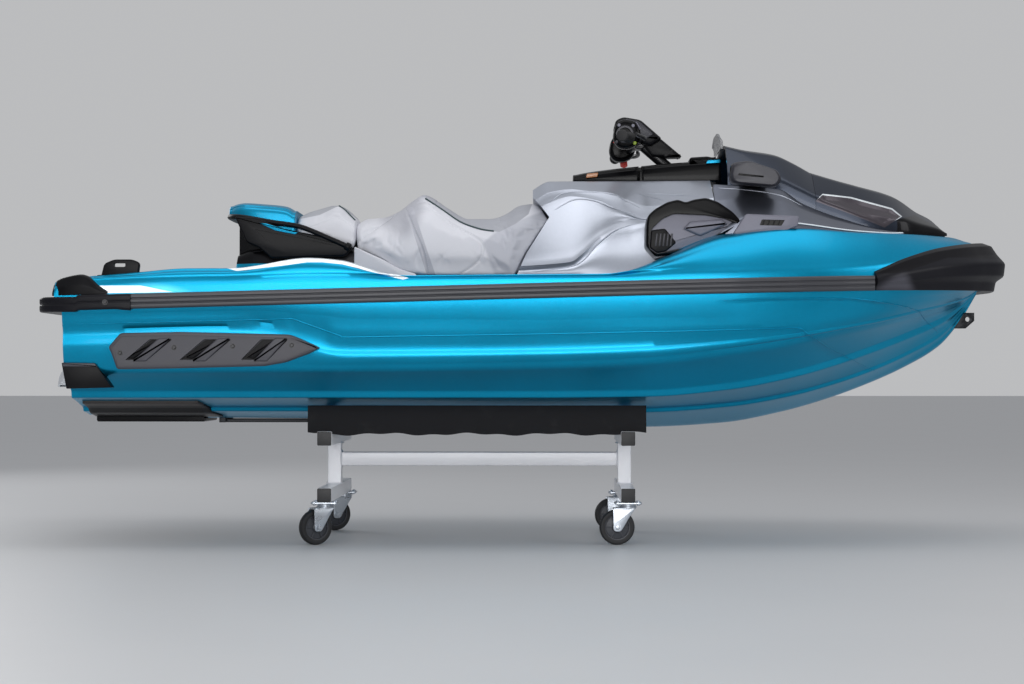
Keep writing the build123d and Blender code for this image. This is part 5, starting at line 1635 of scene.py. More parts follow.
@dataclass
class Edging:
    """Side rails, bow bumper, stern bumper and its corner caps."""

    hull: Hull
    rail_x: Flat = (-1426.0, 1186.0)
    # Height above the parting line and stand-out of the rail's skin
    rail_profile: tuple[Flat, ...] = ((-26, -2), (-26, 12), (-22, 17.5), (-12, 18), (-10, 14.5),
                                      (-7, 14.5), (-5, 19), (5, 19), (7, 14.5), (10, 14.5), (12, 18),
                                      (22, 17), (26, 12), (26, -2))
    # Columns: x along the rail, top z, stand-out, turn of the normal in degrees
    bow_rows: tuple[Row, ...] = ((1186, 958, 22, 28), (1225, 975, 29, 31), (1282, 1000, 37, 36),
                                 (1350, 1024, 45, 41), (1430, 1047, 54, 46), (1560, 1070, 68, 55),
                                 (1640, 1079, 84, 66))

    def rail(self) -> Piece:
        """Both side rails.

        Returns:
            The piece.
        """
        xs = np.linspace(*self.rail_x, 150)
        profile = outline(self.rail_profile, 1.6, 0, 3)
        rows = []
        for x in xs:
            edge = self.hull.rail_y(x) + 0.3
            rows.append([(x, -(edge + out), sheer(x) + up) for up, out in profile])
        return both_sides(rows_mesh("rail_side", np.array(rows), 34.0), "Side_rails", 34.0)

    @staticmethod
    def bow_profile(base: float, top: float, out: float) -> list[Flat]:
        """Stand-out and height of the bow bumper's corners at one place.

        Args:
            base: Height of its foot.
            top: Height of its upper edge.
            out: How far it stands out.

        Returns:
            The corners.
        """
        tall = top - base
        return [(0.3, base), (0.50 * out, base - 5), (0.58 * out, base + 0.17 * tall),
                (0.93 * out, base + 0.30 * tall), (1.0 * out, base + 0.56 * tall),
                (0.66 * out, base + 0.74 * tall), (0.52 * out, base + 0.84 * tall),
                (0.40 * out, base + 0.93 * tall), (0.3, top)]

    def bow(self) -> Piece:
        """The bumper round the nose with its lower lip and upper face.

        Returns:
            The piece.
        """
        table = [(x, -self.hull.rail_y(x), sheer(x) - 22, top, out, turn)
                 for x, top, out, turn in self.bow_rows]
        table = np.array([*table, (1642, 0, sheer(1640) - 22, 1079, 100, 90)])
        keys = np.concatenate([[0], np.cumsum(np.hypot(*np.diff(table[:, :2], axis=0).T))])
        at = np.linspace(0, keys[-1], 60)
        rows = []
        for x, y, base, top, out, turn in read_along(keys, table, at):
            nx, ny = math.sin(math.radians(turn)), -math.cos(math.radians(turn))
            corners = np.array(self.bow_profile(base, top, out))
            loop = rounded_line(corners, [1, 4, 6, 5, 9, 5, 4, 3, 1], [2, 2, 3, 3, 3, 2, 2, 2, 4],
                                [0.0] * 9, 5)
            rows.append([(x + nx * o, y + ny * o, z) for o, z in loop])
        return rows_mesh("Bow_bumper", across_bow(np.array(rows)), 30.0)

    def stern(self) -> Piece:
        """The bumper across the stern with its two long horns.

        Returns:
            The piece.
        """
        plan = catmull(((-1372, -629.5), (-1426, -629), (-1530, -625), (-1610, -617), (-1664, -596),
                        (-1694, -566), (-1706, -520), (-1707, -400), (-1707, 0)), 8)
        rows = []
        for i, (x, y) in enumerate(plan):
            before, after = plan[max(i - 1, 0)], plan[min(i + 1, len(plan) - 1)]
            run = np.array(after) - np.array(before)
            run /= np.hypot(*run)
            nx, ny = run[1], -run[0]
            if nx * (x + 1400) + ny * y < 0:
                nx, ny = -nx, -ny
            share = np.clip((x + 1372) / -54.0, 0, 1)
            mid = sheer(x) if x > -1560 else 841.5
            high, low = mid + 25.5, mid - 26 - 6 * (1 - share)
            depth = 24 if x > -1600 else 24 + min(48.0, (-1600 - x) * 0.9)
            corners = np.array([(-depth, low), (-3, low), (0, low + 6), (0, mid - 4), (-3, mid),
                                (0, mid + 4), (0, high - 7), (-4, high), (-depth, high)])
            loop = rounded_line(corners, [0, 3, 3, 2, 2, 2, 3, 3, 0], [2] * 9, [0.0] * 9, 4)
            rows.append([(x + nx * o, y + ny * o, z) for o, z in loop])
        return rows_mesh("Stern_bumper", across_bow(np.array(rows)), 30.0)

    def corner_caps(self) -> Piece:
        """The black caps that round the deck's stern corners.

        Returns:
            The piece.
        """
        rows = []
        for x, outer, low, high, inner in ((-1652, 574, 872, 897, 540), (-1646, 584, 872, 914, 536),
                                           (-1632, 594, 872, 928, 532), (-1600, 605, 873, 938, 540),
                                           (-1548, 610, 874, 946, 550), (-1524, 611, 874, 940, 552),
                                           (-1490, 612, 875, 914, 560), (-1454, 612, 876, 890, 572)):
            corners = np.array([(-(outer + 1), low), (-(outer + 1), low + 0.45 * (high - low)),
                                (-(outer - 10), high - 4), (-(outer - 26), high), (-inner, high - 6),
                                (-inner, low)])
            loop = rounded_line(corners, [1, 5, 6, 4, 3, 0], [1, 2, 2, 2, 1, 1], [0.0] * 6, 4)
            rows.append([(x, y, z) for y, z in loop])
        table = np.array(rows, float)
        keys = table[:, 0, 0]
        fine = read_along(keys, table, np.linspace(keys[0], keys[-1], 34))
        return both_sides(rows_mesh("cap_side", fine, 34.0), "Stern_corner_caps", 34.0)


# ---- studio ----


@dataclass
class Studio:
    """Plain pale floor, soft light and the camera at the photograph's place."""

    eye: Point = (46.0, -7620.0, 589.0)
    aim: Point = (-0.016069, 1.0, 0.01753)
    lens: float = 72.2
    pale: Colour = (0.56, 0.565, 0.575, 1.0)
    worn: Colour = (0.4, 0.4, 0.4, 1.0)
    floor_reach: float = 60.0

    @staticmethod
    def aimed(name: str, data: Any, place: Point, way: Vector) -> Piece:
        """A camera or lamp at a place in millimetres that looks along a direction.

        Args:
            name: Object name.
            data: Mesh, camera or lamp data.
            place: Its place in millimetres.
            way: The direction that it looks in.

        Returns:
            The camera or lamp.
        """
        made = linked(name, data)
        made.location = [c * MM for c in place]
        made.rotation_mode = "QUATERNION"
        made.rotation_quaternion = way.to_track_quat("-Z", "Y")
        return made

    def camera(self) -> None:
        """Makes the camera and sets it as the scene's own."""
        data = bpy.data.cameras.new("Camera")
        data.lens, data.sensor_width = self.lens, 36.0
        data.clip_start, data.clip_end = 0.1, 200.0
        bpy.context.scene.camera = self.aimed("Camera", data, self.eye, Vector(self.aim))

    def floor(self) -> None:
        """A wide floor whose tone matches the background."""
        mesh = bpy.data.meshes.new("Floor")
        reach = self.floor_reach
        mesh.from_pydata([(-reach, -reach, 0), (reach, -reach, 0), (reach, reach, 0), (-reach, reach, 0)],
                         [], [(0, 1, 2, 3)])
        floor = linked("Floor", mesh)
        made, graph, shader = blank_material("Floor_pale")
        where = graph.coordinates()
        tone = graph.noise(where, 0.9, 4.0) * 0.06 - 0.03
        graph.feed(shader.inputs["Base Color"], graph.blend((tone * -1.0).most(0.0), self.pale, self.worn))
        graph.feed(shader.inputs["Roughness"], graph.noise(where, 2.0, 3.0) * 0.1 + 0.42)
        mesh.materials.append(made)

    def lamp(self, name: str, place: Point, aim: Point, size: Flat, power: float) -> None:
        """One soft rectangular lamp, places in millimetres and size in metres.

        Args:
            name: Object name.
            place: Its place in millimetres.
            aim: The point that it looks at, in millimetres.
            size: Its width and height in metres.
            power: Its power in watts.
        """
        data = bpy.data.lights.new(name, "AREA")
        data.shape, data.size, data.size_y, data.energy = "RECTANGLE", size[0], size[1], power
        self.aimed(name, data, place, Vector(aim) - Vector(place))

    def world(self) -> None:
        """Soft surroundings: brighter above, darker at the horizon, plain to the camera."""
        scene = bpy.context.scene
        scene.world = scene.world or bpy.data.worlds.new("World")
        scene.world.use_nodes = True
        tree = scene.world.node_tree
        tree.nodes.clear()
        graph = Graph(tree)
        up = graph.parts(graph.node("ShaderNodeNewGeometry", None, out="Position"))[2]
        light = graph.blend(up.step(-0.05, 0.9), (0.16, 0.163, 0.17, 1), (0.60, 0.61, 0.63, 1))
        paths = graph.node("ShaderNodeLightPath", None, out="Is Camera Ray")
        seen = graph.blend(paths, light, (0.50, 0.505, 0.515, 1))
        shade = graph.node("ShaderNodeBackground", None, seen, 1.0)
        end = tree.nodes.new("ShaderNodeOutputWorld")
        tree.links.new(shade.socket, end.inputs["Surface"])

    def build(self) -> None:
        """Camera, floor, lamps and surroundings."""
        self.camera()
        self.floor()
        self.lamp("Overhead", (0, -900, 4200), (0, 0, 700), (5.0, 1.8), 40)
        self.lamp("Front_soft", (-600, -5200, 2600), (0, 0, 800), (5.0, 1.6), 62)
        self.lamp("Bow_soft", (4600, -2600, 2200), (600, 0, 800), (2.4, 1.8), 34)
        self.lamp("Rear_soft", (-4200, 3800, 2600), (0, 0, 800), (3.0, 2.0), 45)
        self.lamp("Low_fill", (-300, -12000, 1600), (0, 0, 500), (8.0, 2.0), 330)
        self.world()
        bpy.context.scene.view_settings.view_transform = "Standard"
        LOG.info("studio ready")


# ---- seats and tail ----


def surface(piece: Piece) -> BVHTree:
    """A piece's faces, ready to be met by rays."""
    return BVHTree.FromPolygons([v.co for v in piece.data.vertices],
                                [list(p.vertices) for p in piece.data.polygons])


def drawn_on(piece: Piece, line: Sequence[Point], way: Point, per_run: int = 10,
             lift: float = 0.0) -> np.ndarray:
    """Throws a line onto a piece along a direction.

    Args:
        piece: The piece, with its final mesh.
        line: Points in millimetres outside the piece.
        way: Direction to throw them in.
        per_run: Steps between each two points.
        lift: How far the result stands off the surface.

    Returns:
        Points on the piece, in millimetres; points that miss are left out.
    """
    tree = surface(piece)
    aim = Vector(way).normalized()
    found = []
    for point in catmull(line, per_run):
        hit, normal, _, _ = tree.ray_cast(Vector(point) * MM, aim)
        if hit is not None:
            if normal.dot(aim) > 0:
                normal = -normal
            found.append((hit + normal * lift * MM) / MM)
    return np.array([tuple(p) for p in found])


@dataclass
class Cushion:
    """A padded form: a shape that is filled by a cloth simulation and then sewn."""

    voxel: float = 6.0
    quick_voxel: float = 16.0
    pressure: float = 4.0
    stiffness: float = 20.0
    cap: float = 9.0
    frames: int = 20

    def filled(self, shape: Piece) -> Piece:
        """Swells a closed shape as a cushion fills its cover.

        Args:
            shape: Closed mesh, a little smaller than the cushion.

        Returns:
            The cushion's mesh, with no modifier left on it.
        """
        grid = shape.modifiers.new("even", "REMESH")
        grid.mode, grid.voxel_size = "VOXEL", self.voxel * MM
        baked(shape)
        ease = shape.modifiers.new("ease", "SMOOTH")
        ease.factor, ease.iterations = 0.5, 3
        baked(shape)
        start = np.array([tuple(v.co) for v in shape.data.vertices])
        cloth = shape.modifiers.new("fill", "CLOTH")
        settings = cloth.settings
        settings.use_pressure, settings.uniform_pressure_force = True, self.pressure
        settings.tension_stiffness = settings.compression_stiffness = self.stiffness
        settings.quality, settings.effector_weights.gravity = 4, 0.0
        cloth.point_cache.frame_start, cloth.point_cache.frame_end = 1, self.frames
        cloth.collision_settings.use_collision = False
        for frame_number in range(1, self.frames + 1):
            bpy.context.scene.frame_set(frame_number)
        graph = bpy.context.evaluated_depsgraph_get()
        moved = bpy.data.meshes.new_from_object(shape.evaluated_get(graph), depsgraph=graph)
        ends = np.array([tuple(v.co) for v in moved.vertices])
        bpy.context.scene.frame_set(1)
        shape.modifiers.clear()
        shift = ends - start
        far = np.linalg.norm(shift, axis=1)[:, None]
        limit = self.cap * MM
        shift *= np.where(far > limit, limit / np.maximum(far, TINY), 1.0)
        shape.data.vertices.foreach_set("co", (start + shift).ravel())
        bpy.data.meshes.remove(moved)
        smooth = shape.modifiers.new("smooth", "SUBSURF")
        smooth.levels = smooth.render_levels = 1
        baked(shape)
        return shaded(shape, 60.0)

    @staticmethod
    def sunk(piece: Piece, lines: Sequence[np.ndarray], depth: float = 3.0, reach: float = 9.0) -> None:
        """Draws the surface in along its seams.

        Args:
            piece: The cushion.
            lines: Seam lines in millimetres.
            depth: How far the surface goes in at a seam.
            reach: Distance over which it comes back.
        """
        marks = [point for line in lines for point in line]
        if not marks:
            return
        near = KDTree(len(marks))
        for index, point in enumerate(marks):
            near.insert(Vector(point) * MM, index)
        near.balance()
        for vertex in piece.data.vertices:
            _, _, gap = near.find(vertex.co)
            share = max(0.0, 1.0 - gap / (reach * MM))
            if share > 0:
                vertex.co -= vertex.normal * (depth * MM * share * share)
        piece.data.update()


@dataclass
class Seats:
    """Driver's and passengers' seats in two-tone vinyl with piping and stitched seams."""

    # Columns: x, low z, low half width, shoulder half width and z, top half width, top z
    front: tuple[Row, ...] = (
        (-644, 1062, 164, 168, 1120, 116, 1170), (-544, 1012, 188, 187, 1110, 116, 1175),
        (-489, 978, 193, 188, 1120, 112, 1197), (-433, 964, 197, 188, 1150, 104, 1240),
        (-396, 958, 201, 188, 1168, 98, 1260), (-372, 956, 203, 188, 1165, 100, 1250),
        (-320, 955, 206, 192, 1140, 118, 1213), (-231, 955, 209, 197, 1110, 140, 1168),
        (-157, 955, 208, 189, 1110, 136, 1168), (-101, 955, 206, 180, 1122, 120, 1184),
        (-46, 955, 204, 172, 1152, 100, 1221), (60, 955, 200, 166, 1180, 90, 1244))
    rear: tuple[Row, ...] = (
        (-858, 1061, 158, 158, 1128, 108, 1180), (-836, 1061, 159, 159, 1130, 106, 1192),
        (-760, 1061, 163, 163, 1144, 98, 1216), (-716, 1061, 166, 166, 1152, 94, 1229),
        (-680, 1061, 167, 167, 1138, 102, 1202), (-646, 1061, 168, 168, 1122, 112, 1173))
    seam: tuple[Flat, ...] = ((2, 1244), (30, 1215), (62, 1171), (-20, 1040), (-60, 950))
    cushion: Cushion = field(default_factory=Cushion)
    # Outline of the hard skirt between the seats' rear and the deck
    skirt_edge: tuple[Flat, ...] = ((-646, 1066), (-540, 1018), (-480, 984), (-420, 966), (-420, 947),
                                    (-560, 947), (-646, 962))
    # Seam lines on the sides, as x and z
    side_seams: tuple[tuple[Flat, ...], ...] = (
        ((-462, 1206), (-430, 1130), (-396, 1050), (-378, 962)),
        ((-386, 1220), (-300, 1150), (-196, 1090), (-180, 1055), (-196, 1010), (-270, 958)),
        ((-640, 1078), (-560, 1140), (-500, 1190)))
    side_piping: tuple[tuple[Flat, ...], ...] = (
        ((-392, 1246), (-330, 1204), (-260, 1156), (-190, 1130), (-140, 1122)),)

    @staticmethod
    def shape(table: Sequence[Row], name: str) -> Piece:
        """The form before it is filled.

        Args:
            table: The sections.
            name: Object name.

        Returns:
            The form.
        """
        rows = [(x, [(0, low), (low_y, low), (mid_y, mid_z), (top_y, top_z - 7), (0, top_z)])
                for x, low, low_y, mid_y, mid_z, top_y, top_z in table]
        return Loft(rows, (0, 12, 46, 34, 0), (6, 8, 6, 10, 0), (0, 3, 4, 0, 0), ends=(12, 0),
                    pitch=10).mesh(name)

    def seams(self, piece: Piece, lines: Sequence[Sequence[Flat]], lift: float = 0.0) -> list[np.ndarray]:
        """Side lines thrown onto both sides of a cushion.

        Args:
            piece: The piece.
            lines: The lines' points.
            lift: How far the lines stand off the surface.

        Returns:
            The lines that were found.
        """
        found = []
        for side in SIDES:
            for line in lines:
                thrown = drawn_on(piece, [(x, side * 400, z) for x, z in line], (0, -side, 0), 12, lift)
                if len(thrown) > 3:
                    found.append(thrown)
        return found

    def piping(self, name: str, lines: Sequence[np.ndarray], finish: Finish, radius: float = 3.2) -> Piece:
        """Round piping along lines."""
        tubes = [sweep(f"{name}_{k}", line, ring(radius, 8)) for k, line in enumerate(lines)]
        return dressed(joined(name, tubes, 60.0), finish)

    def stitches(self, name: str, lines: Sequence[np.ndarray]) -> Piece:
        """Thread stitches beside seams.

        Args:
            name: Object name.
            lines: The lines' points.

        Returns:
            The piece.
        """
        base = polyline(name, lines)
        return stitch_tree().run(base, {"Pitch": 7.0 * MM, "Length": 4.6 * MM, "Thread": 1.5 * MM,
                                        "Material": Paint.THREAD.material()})

    def skirt(self) -> Piece:
        """The skirt that closes the step of the pedestal under the driver's seat."""
        half = slab("skirt", outline(self.skirt_edge, 8, 3), -180, -193, edge=4)
        return both_sides(half, "Seat_skirt")

    def build(self) -> None:
        """Both seats with their trim."""
        settle(self.skirt(), "craft", Paint.SEAT_FRONT)
        front = self.shape(self.front, "Front_seat")
        ahead = outline(tuple(self.seam) + ((-60, 800), (400, 800), (400, 1400), (2, 1400)), 0, 0)
        carved(front, [slab("ahead", ahead, -400, 400)])
        front = self.cushion.filled(front)
        seams = self.seams(front, self.side_seams)
        self.cushion.sunk(front, seams, 3.5)
        across = [drawn_on(front, [(x, y, 1400) for y in range(-130, 131, 26)], (0, 0, -1), 4)
                  for x in (-350, -120)]
        self.cushion.sunk(front, across, 3.0)
        settle(front, "craft", Paint.SEAT_FRONT, ("front_seat",))
        rear = self.shape(self.rear, "Rear_seat")
        rear = self.cushion.filled(rear)
        rear_seams = self.seams(rear, (((-852, 1120), (-780, 1150), (-716, 1178), (-650, 1140)),))
        self.cushion.sunk(rear, rear_seams, 2.5)
        settle(rear, "craft", Paint.SEAT_REAR, ("rear_seat",))
        lines = self.seams(front, self.side_piping, 1.0)
        lines += self.seams(rear, (((-712, 1222), (-690, 1206), (-664, 1180), (-650, 1166)),), 1.0)
        settle(self.piping("Seat_piping", lines, Paint.PIPING), "craft", Paint.PIPING)
        thread = self.seams(front, tuple(tuple((x + 7, z + 4) for x, z in line)
                                         for line in self.side_seams), 0.6)
        settle(self.stitches("Seat_stitches", thread), "craft", Paint.THREAD)


@dataclass
class Tail:
    """Teal cap behind the seats, its dark core, side panels and the grab rail round it."""

    cap_rows: tuple[Row, ...] = (
        (-1112, 1186, 108, 88, 1218), (-1085, 1166, 136, 100, 1228), (-1056, 1152, 152, 108, 1232),
        (-980, 1128, 166, 114, 1227), (-901, 1108, 172, 117, 1218), (-874, 1106, 174, 117, 1204),
        (-863, 1106, 175, 117, 1190))
    panel: tuple[Flat, ...] = ((-1078, 1174), (-1034, 1080), (-991, 1062), (-944, 1022), (-677, 1030),
                               (-648, 1062), (-700, 1090), (-903, 1130), (-1000, 1170))
    accent: tuple[Flat, ...] = ((-962, 1148), (-880, 1122), (-846, 1116), (-858, 1108), (-930, 1122),
                                (-990, 1150))
    rail_path: tuple[Point, ...] = ((-1112, 0, 1180), (-1112, 60, 1180), (-1108, 106, 1180),
                                    (-1084, 160, 1177), (-1040, 188, 1171), (-940, 198, 1153),
                                    (-839, 206, 1136), (-740, 210, 1096), (-668, 212, 1064))

    def build(self) -> None:
        """All of the tail's pieces."""
        rows = [(x, [(0, low), (low_y, low), (low_y, top - 22), (top_y, top), (0, top)])
                for x, low, low_y, top_y, top in self.cap_rows]
        cap = Loft(rows, (0, 10, 16, 22, 0), (5, 4, 6, 6, 0), (0, 2, 3, 0, 0), ends=(7, 2),
                   pitch=9).mesh("Tail_cap")
        settle(cap, "craft", Paint.CAP_TEAL, ("tail_cap",))
        core = slab("Tail_core", outline(((-1070, 1034), (-864, 1050), (-864, 1130), (-1056, 1180),
                                          (-1070, 1190)), 8), -148, 148, edge=8, both=True)
        settle(core, "craft", Paint.TRIM, ("tail_core",))
        panel = slab("tail_panel", outline(self.panel, 9, 3), -176, -214, edge=6)
        recess = slab("tail_recess", outline(((-1006, 1128), (-950, 1078), (-760, 1066), (-716, 1070),
                                              (-900, 1108)), 8), -207, -260)
        carved(panel, [recess])
        strip = dressed(slab("tail_accent", outline(self.accent, 3), -212, -217, edge=1.5), Paint.CAP_TEAL)
        dressed(panel, Paint.TRIM)
        settle(both_sides(joined("tail_half", [panel, strip]), "Tail_side_panels"), "craft", Paint.TRIM,
               ("tail_side_panels",))
        half = np.array(self.rail_path)
        full = np.vstack([half[:0:-1] * np.array([1, -1, 1]), half])
        line = catmull(full, 10)
        rail = sweep("Grab_rail", line, ring(11.0, 14, 0.86), 60.0)
        ends = [turned(f"rail_end_{side}", ((0, -8), (13, -8), (15, -5), (15, 8), (12, 12), (0, 12)),
                       (-668, side * 212, 1064), (0.86, 0.05 * side, -0.5), 20) for side in SIDES]
        settle(joined("Grab_rail", [rail, *ends], 50.0), "craft", Paint.TRIM, ("grab_rail",))


# ---- console, hood and what sits on them ----


STEER_POINT, STEER_AXIS = (441.0, 0.0, 1423.0), (-0.757, 0.0, 0.653)


def stem_bore(radius: float, top: float = 60.0, count: int = 32) -> Piece:
    """Room for the steering stem, as a tool to cut with."""
    return turned("stem_bore", ((0, -240), (radius, -240), (radius, top), (0, top)), STEER_POINT,
                  STEER_AXIS, count)


def inside(points: np.ndarray, patch: Sequence[Flat], soft: float) -> np.ndarray:
    """How far points (x, z) are inside a convex outline, as a share from 0 at its rim to 1.

    Args:
        points: The points in order.
        patch: The convex outline.
        soft: Depth at which the share reaches 1.

    Returns:
        The shares.
    """
    loop = np.asarray(patch, float)
    after = np.roll(loop, -1, 0)
    area = np.sum(loop[:, 0] * after[:, 1] - after[:, 0] * loop[:, 1])
    depth = np.full(len(points), np.inf)
    for a, b in zip(loop, after):
        run = (b - a) / np.hypot(*(b - a))
        normal = np.array([-run[1], run[0]]) * math.copysign(1.0, area)
        depth = np.minimum(depth, (points - a) @ normal)
    return np.clip(depth / soft, 0, 1)


@dataclass
class Console:
    """Silver shroud ahead of the seat with the black glove box lid and cowl on top."""

    # Columns: x, then y and z of the foot, knee line, lower crease, upper crease and top edge
    rows: tuple[Row, ...] = (
        (-60, 228, 951, 214, 1005, 178, 1150, 160, 1190, 110, 1235),
        (0, 239, 951, 222, 1008, 188, 1190, 174, 1226, 116, 1276),
        (64, 250, 951, 230, 1012, 198, 1226, 186, 1262, 120, 1308),
        (143, 262, 951, 236, 1021, 210, 1247, 198, 1272, 124, 1308),
        (180, 268, 951, 238, 1048, 216, 1243, 202, 1268, 126, 1308),
        (244, 280, 951, 246, 1104, 230, 1228, 212, 1259, 128, 1308),
        (320, 293, 951, 264, 1138, 254, 1190, 228, 1240, 131, 1308),
        (406, 312, 951, 284, 1148, 276, 1160, 252, 1206, 136, 1308),
        (470, 330, 951, 300, 1152, 288, 1168, 270, 1206, 140, 1308),
        (646, 398, 1060, 362, 1150, 342, 1180, 318, 1230, 150, 1308))
    seam: tuple[Flat, ...] = ((2, 1244), (30, 1215), (62, 1171), (-20, 1040), (-60, 951))
    crease_lines: tuple[tuple[Flat, ...], ...] = (
        ((62, 1222), (110, 1256), (200, 1262), (290, 1254), (334, 1228), (396, 1196)),
        ((80, 1196), (150, 1232), (220, 1228), (300, 1196), (380, 1172)),
        ((-40, 968), (130, 988), (186, 1014), (236, 1070), (308, 1122), (400, 1146)),
        ((372, 1258), (440, 1238), (480, 1226)), ((392, 1260), (500, 1250), (612, 1238)))
    panel_lines: tuple[tuple[Flat, ...], ...] = (((664, 1268), (780, 1256), (880, 1236), (960, 1198)),)

    def shroud(self) -> Piece:
        """The silver shroud with the glove box and the steering stem's room in it.

        Returns:
            The piece.
        """
        rows = [(row[0], [(0, row[2]), *[(row[i], row[i + 1]) for i in range(1, len(row), 2)],
                          (0, row[-1])]) for row in self.rows]
        shroud = Loft(rows, (0, 8, 14, 3, 3, 9, 0), (3, 9, 8, 3, 8, 4, 0), (0, -14, -4, 1, 0, 0, 0),
                      pitch=9).mesh("Console_shroud", 22.0)
        behind = outline(((-200, 900), (-60,
                                        900)) + tuple(reversed(self.seam)) + ((2, 1400), (-200, 1400)), 0,
                                        0)
        box = slab("glove_box", oblong(174, -84, 366, 84, 14), 1180, 1400, axis=2)
        return carved(shroud, [slab("behind", behind, -500, 500), stem_bore(24), box], sharp=22.0)

    @staticmethod
    def crowned(name: str, table: Sequence[Row], low: float, aft: float) -> Piece:
        """The crowned form of the cowl or lid.

        Args:
            name: Object name.
            table: Each section's x, half width and top z.
            low: Height of the underside.
            aft: Length over which its rear end is rounded.

        Returns:
            The form.
        """
        rows = [(x, [(0, low), (half, low), (half - 4, top - 12), (half - 30, top), (0, top + 3)])
                for x, half, top in table]
        return Loft(rows, (0, 5, 10, 16, 0), (4, 3, 3, 4, 0), (0, 2, 2, 2, 0), ends=(aft, 2),
                    pitch=9).mesh(name)

    def lid(self) -> Piece:
        """The glove box lid with its latch window and hinge bosses.

        Returns:
            The piece.
        """
        keep = cad_copy("glovebox_lid", "lid_hinge")
        crop = slab("hinge_room", oblong(340, 1330, 396, 1369), -78, 78)
        carved(keep, [crop], "INTERSECT")
        lid = self.crowned("lid", ((150, 88, 1335), (190, 94, 1343), (236, 99, 1350), (340, 105, 1362),
                                   (388, 107, 1366)), 1308.4, 6)
        slots = [slab(f"lug_room_{side}", oblong(326, side * 54, 400, side * 66), 1300, 1400, axis=2)
                 for side in SIDES]
        slots.append(slab("hinge_gap", outline(((366, 1340), (400, 1340), (400, 1380), (366, 1374)), 6),
                          -80, 80))
        carved(lid, slots)
        window = slab("latch", outline(((196, 1322), (238, 1326), (242, 1342), (200, 1338)), 4), -95.5,
                      -101.5, edge=1.5)
        return joined("Glovebox_lid", [dressed(lid, Paint.GLOSS), dressed(keep, Paint.TRIM),
                                       dressed(window, Paint.AMBER)])

    def cowl(self) -> Piece:
        """The fixed cowl with its peak over the gauge.

        Returns:
            The piece.
        """
        cowl = self.crowned("cowl", ((402, 106, 1368), (466, 110, 1374), (540, 112, 1380), (612, 115, 1385),
                                     (689, 115, 1389)), 1308.2, 4)
        peak = slab("peak", outline(((570, 1362), (688, 1368), (688, 1391), (640, 1401), (578, 1397)), 6),
                    -107, 107, edge=10, both=True)
        lip = slab("cowl_lip", outline(((391.5, 1308.2), (410, 1308.2), (410, 1352), (391.5, 1346)), 3),
                   -101, 101, edge=3, both=True)
        carved(cowl, [peak, lip], "UNION")
        bed = slab("bed", outline(((588, 1374), (677, 1379), (673, 1404), (583, 1399)), 2), -96.5, 96.5)
        carved(cowl, [stem_bore(23), bed])
        lugs = cad_copy("console_cowl", "cowl_hinge")
        carved(lugs, [slab("lug_crop", oblong(376, 1340, 404, 1366), -78, 78)],
               "INTERSECT")
        accent = slab("accent", outline(((634, 1373), (687, 1375), (687, 1387), (642, 1385)), 3), -110,
                      -116.2, edge=1)
        accents = both_sides(accent, "cowl_accents")
        return joined("Console_cowl", [dressed(cowl, Paint.GLOSS), dressed(lugs, Paint.TRIM),
                                       dressed(accents, Paint.CAP_TEAL)])

    def creases(self, shroud: Piece, panel: Piece) -> Piece:
        """Crisp raised edges that follow the shroud's and panels' creases.

        Args:
            shroud: The finished shroud.
            panel: The finished side panels.

        Returns:
            The edges as one piece.
        """
        made = []
        for piece, lines in ((shroud, self.crease_lines), (panel, self.panel_lines)):
            for line in lines:
                for side in SIDES:
                    thrown = drawn_on(piece, [(x, side * 620, z) for x, z in line], (0, -side, 0), 12, -0.6)
                    if len(thrown) > 5:
                        made.append(sweep("crease", thrown, tapered(0.6, 2.2, 0.4)))
        return joined("Console_creases", made, 60.0)

    def gauge(self) -> Piece:
        """The gauge's glass with its bezel and a row of keys below it.

        Returns:
            The piece.
        """
        glass = slab("glass", outline(((589, 1376), (675, 1381), (672, 1397), (585, 1392)), 2), -92, 92,
                     edge=2, both=True)
        frame_bars = slab("bezel", outline(((588, 1375.4), (676, 1380.4), (672.4, 1398.6),
                                            (584.6, 1393.6)), 2), -96, 96, edge=2, both=True)
        window = slab("window", outline(((593, 1386), (669, 1391), (668, 1410), (591, 1405)), 2), -88, 88)
        carved(frame_bars, [window])
        return joined("Gauge_display", [dressed(glass, Paint.SCREEN), dressed(frame_bars, Paint.TRIM)])

    def build(self) -> None:
        """All of the console."""
        shroud = settle(self.shroud(), "craft", Paint.SILVER, ("console_shroud",))
        panel = settle(Flanks().panel(), "craft", Paint.SILVER_DEEP, ("side_panels",))
        # All creases take the lighter silver, so on the darker side panels they paint a highlight along the
        # crease
        settle(self.creases(shroud, panel), "craft", Paint.SILVER)
        settle(self.lid(), "glovebox_lid_group", Paint.GLOSS, ("glovebox_lid",))
        settle(self.cowl(), "craft", Paint.GLOSS, ("console_cowl",))
        settle(self.gauge(), "craft", Paint.SCREEN, ("gauge_display",))


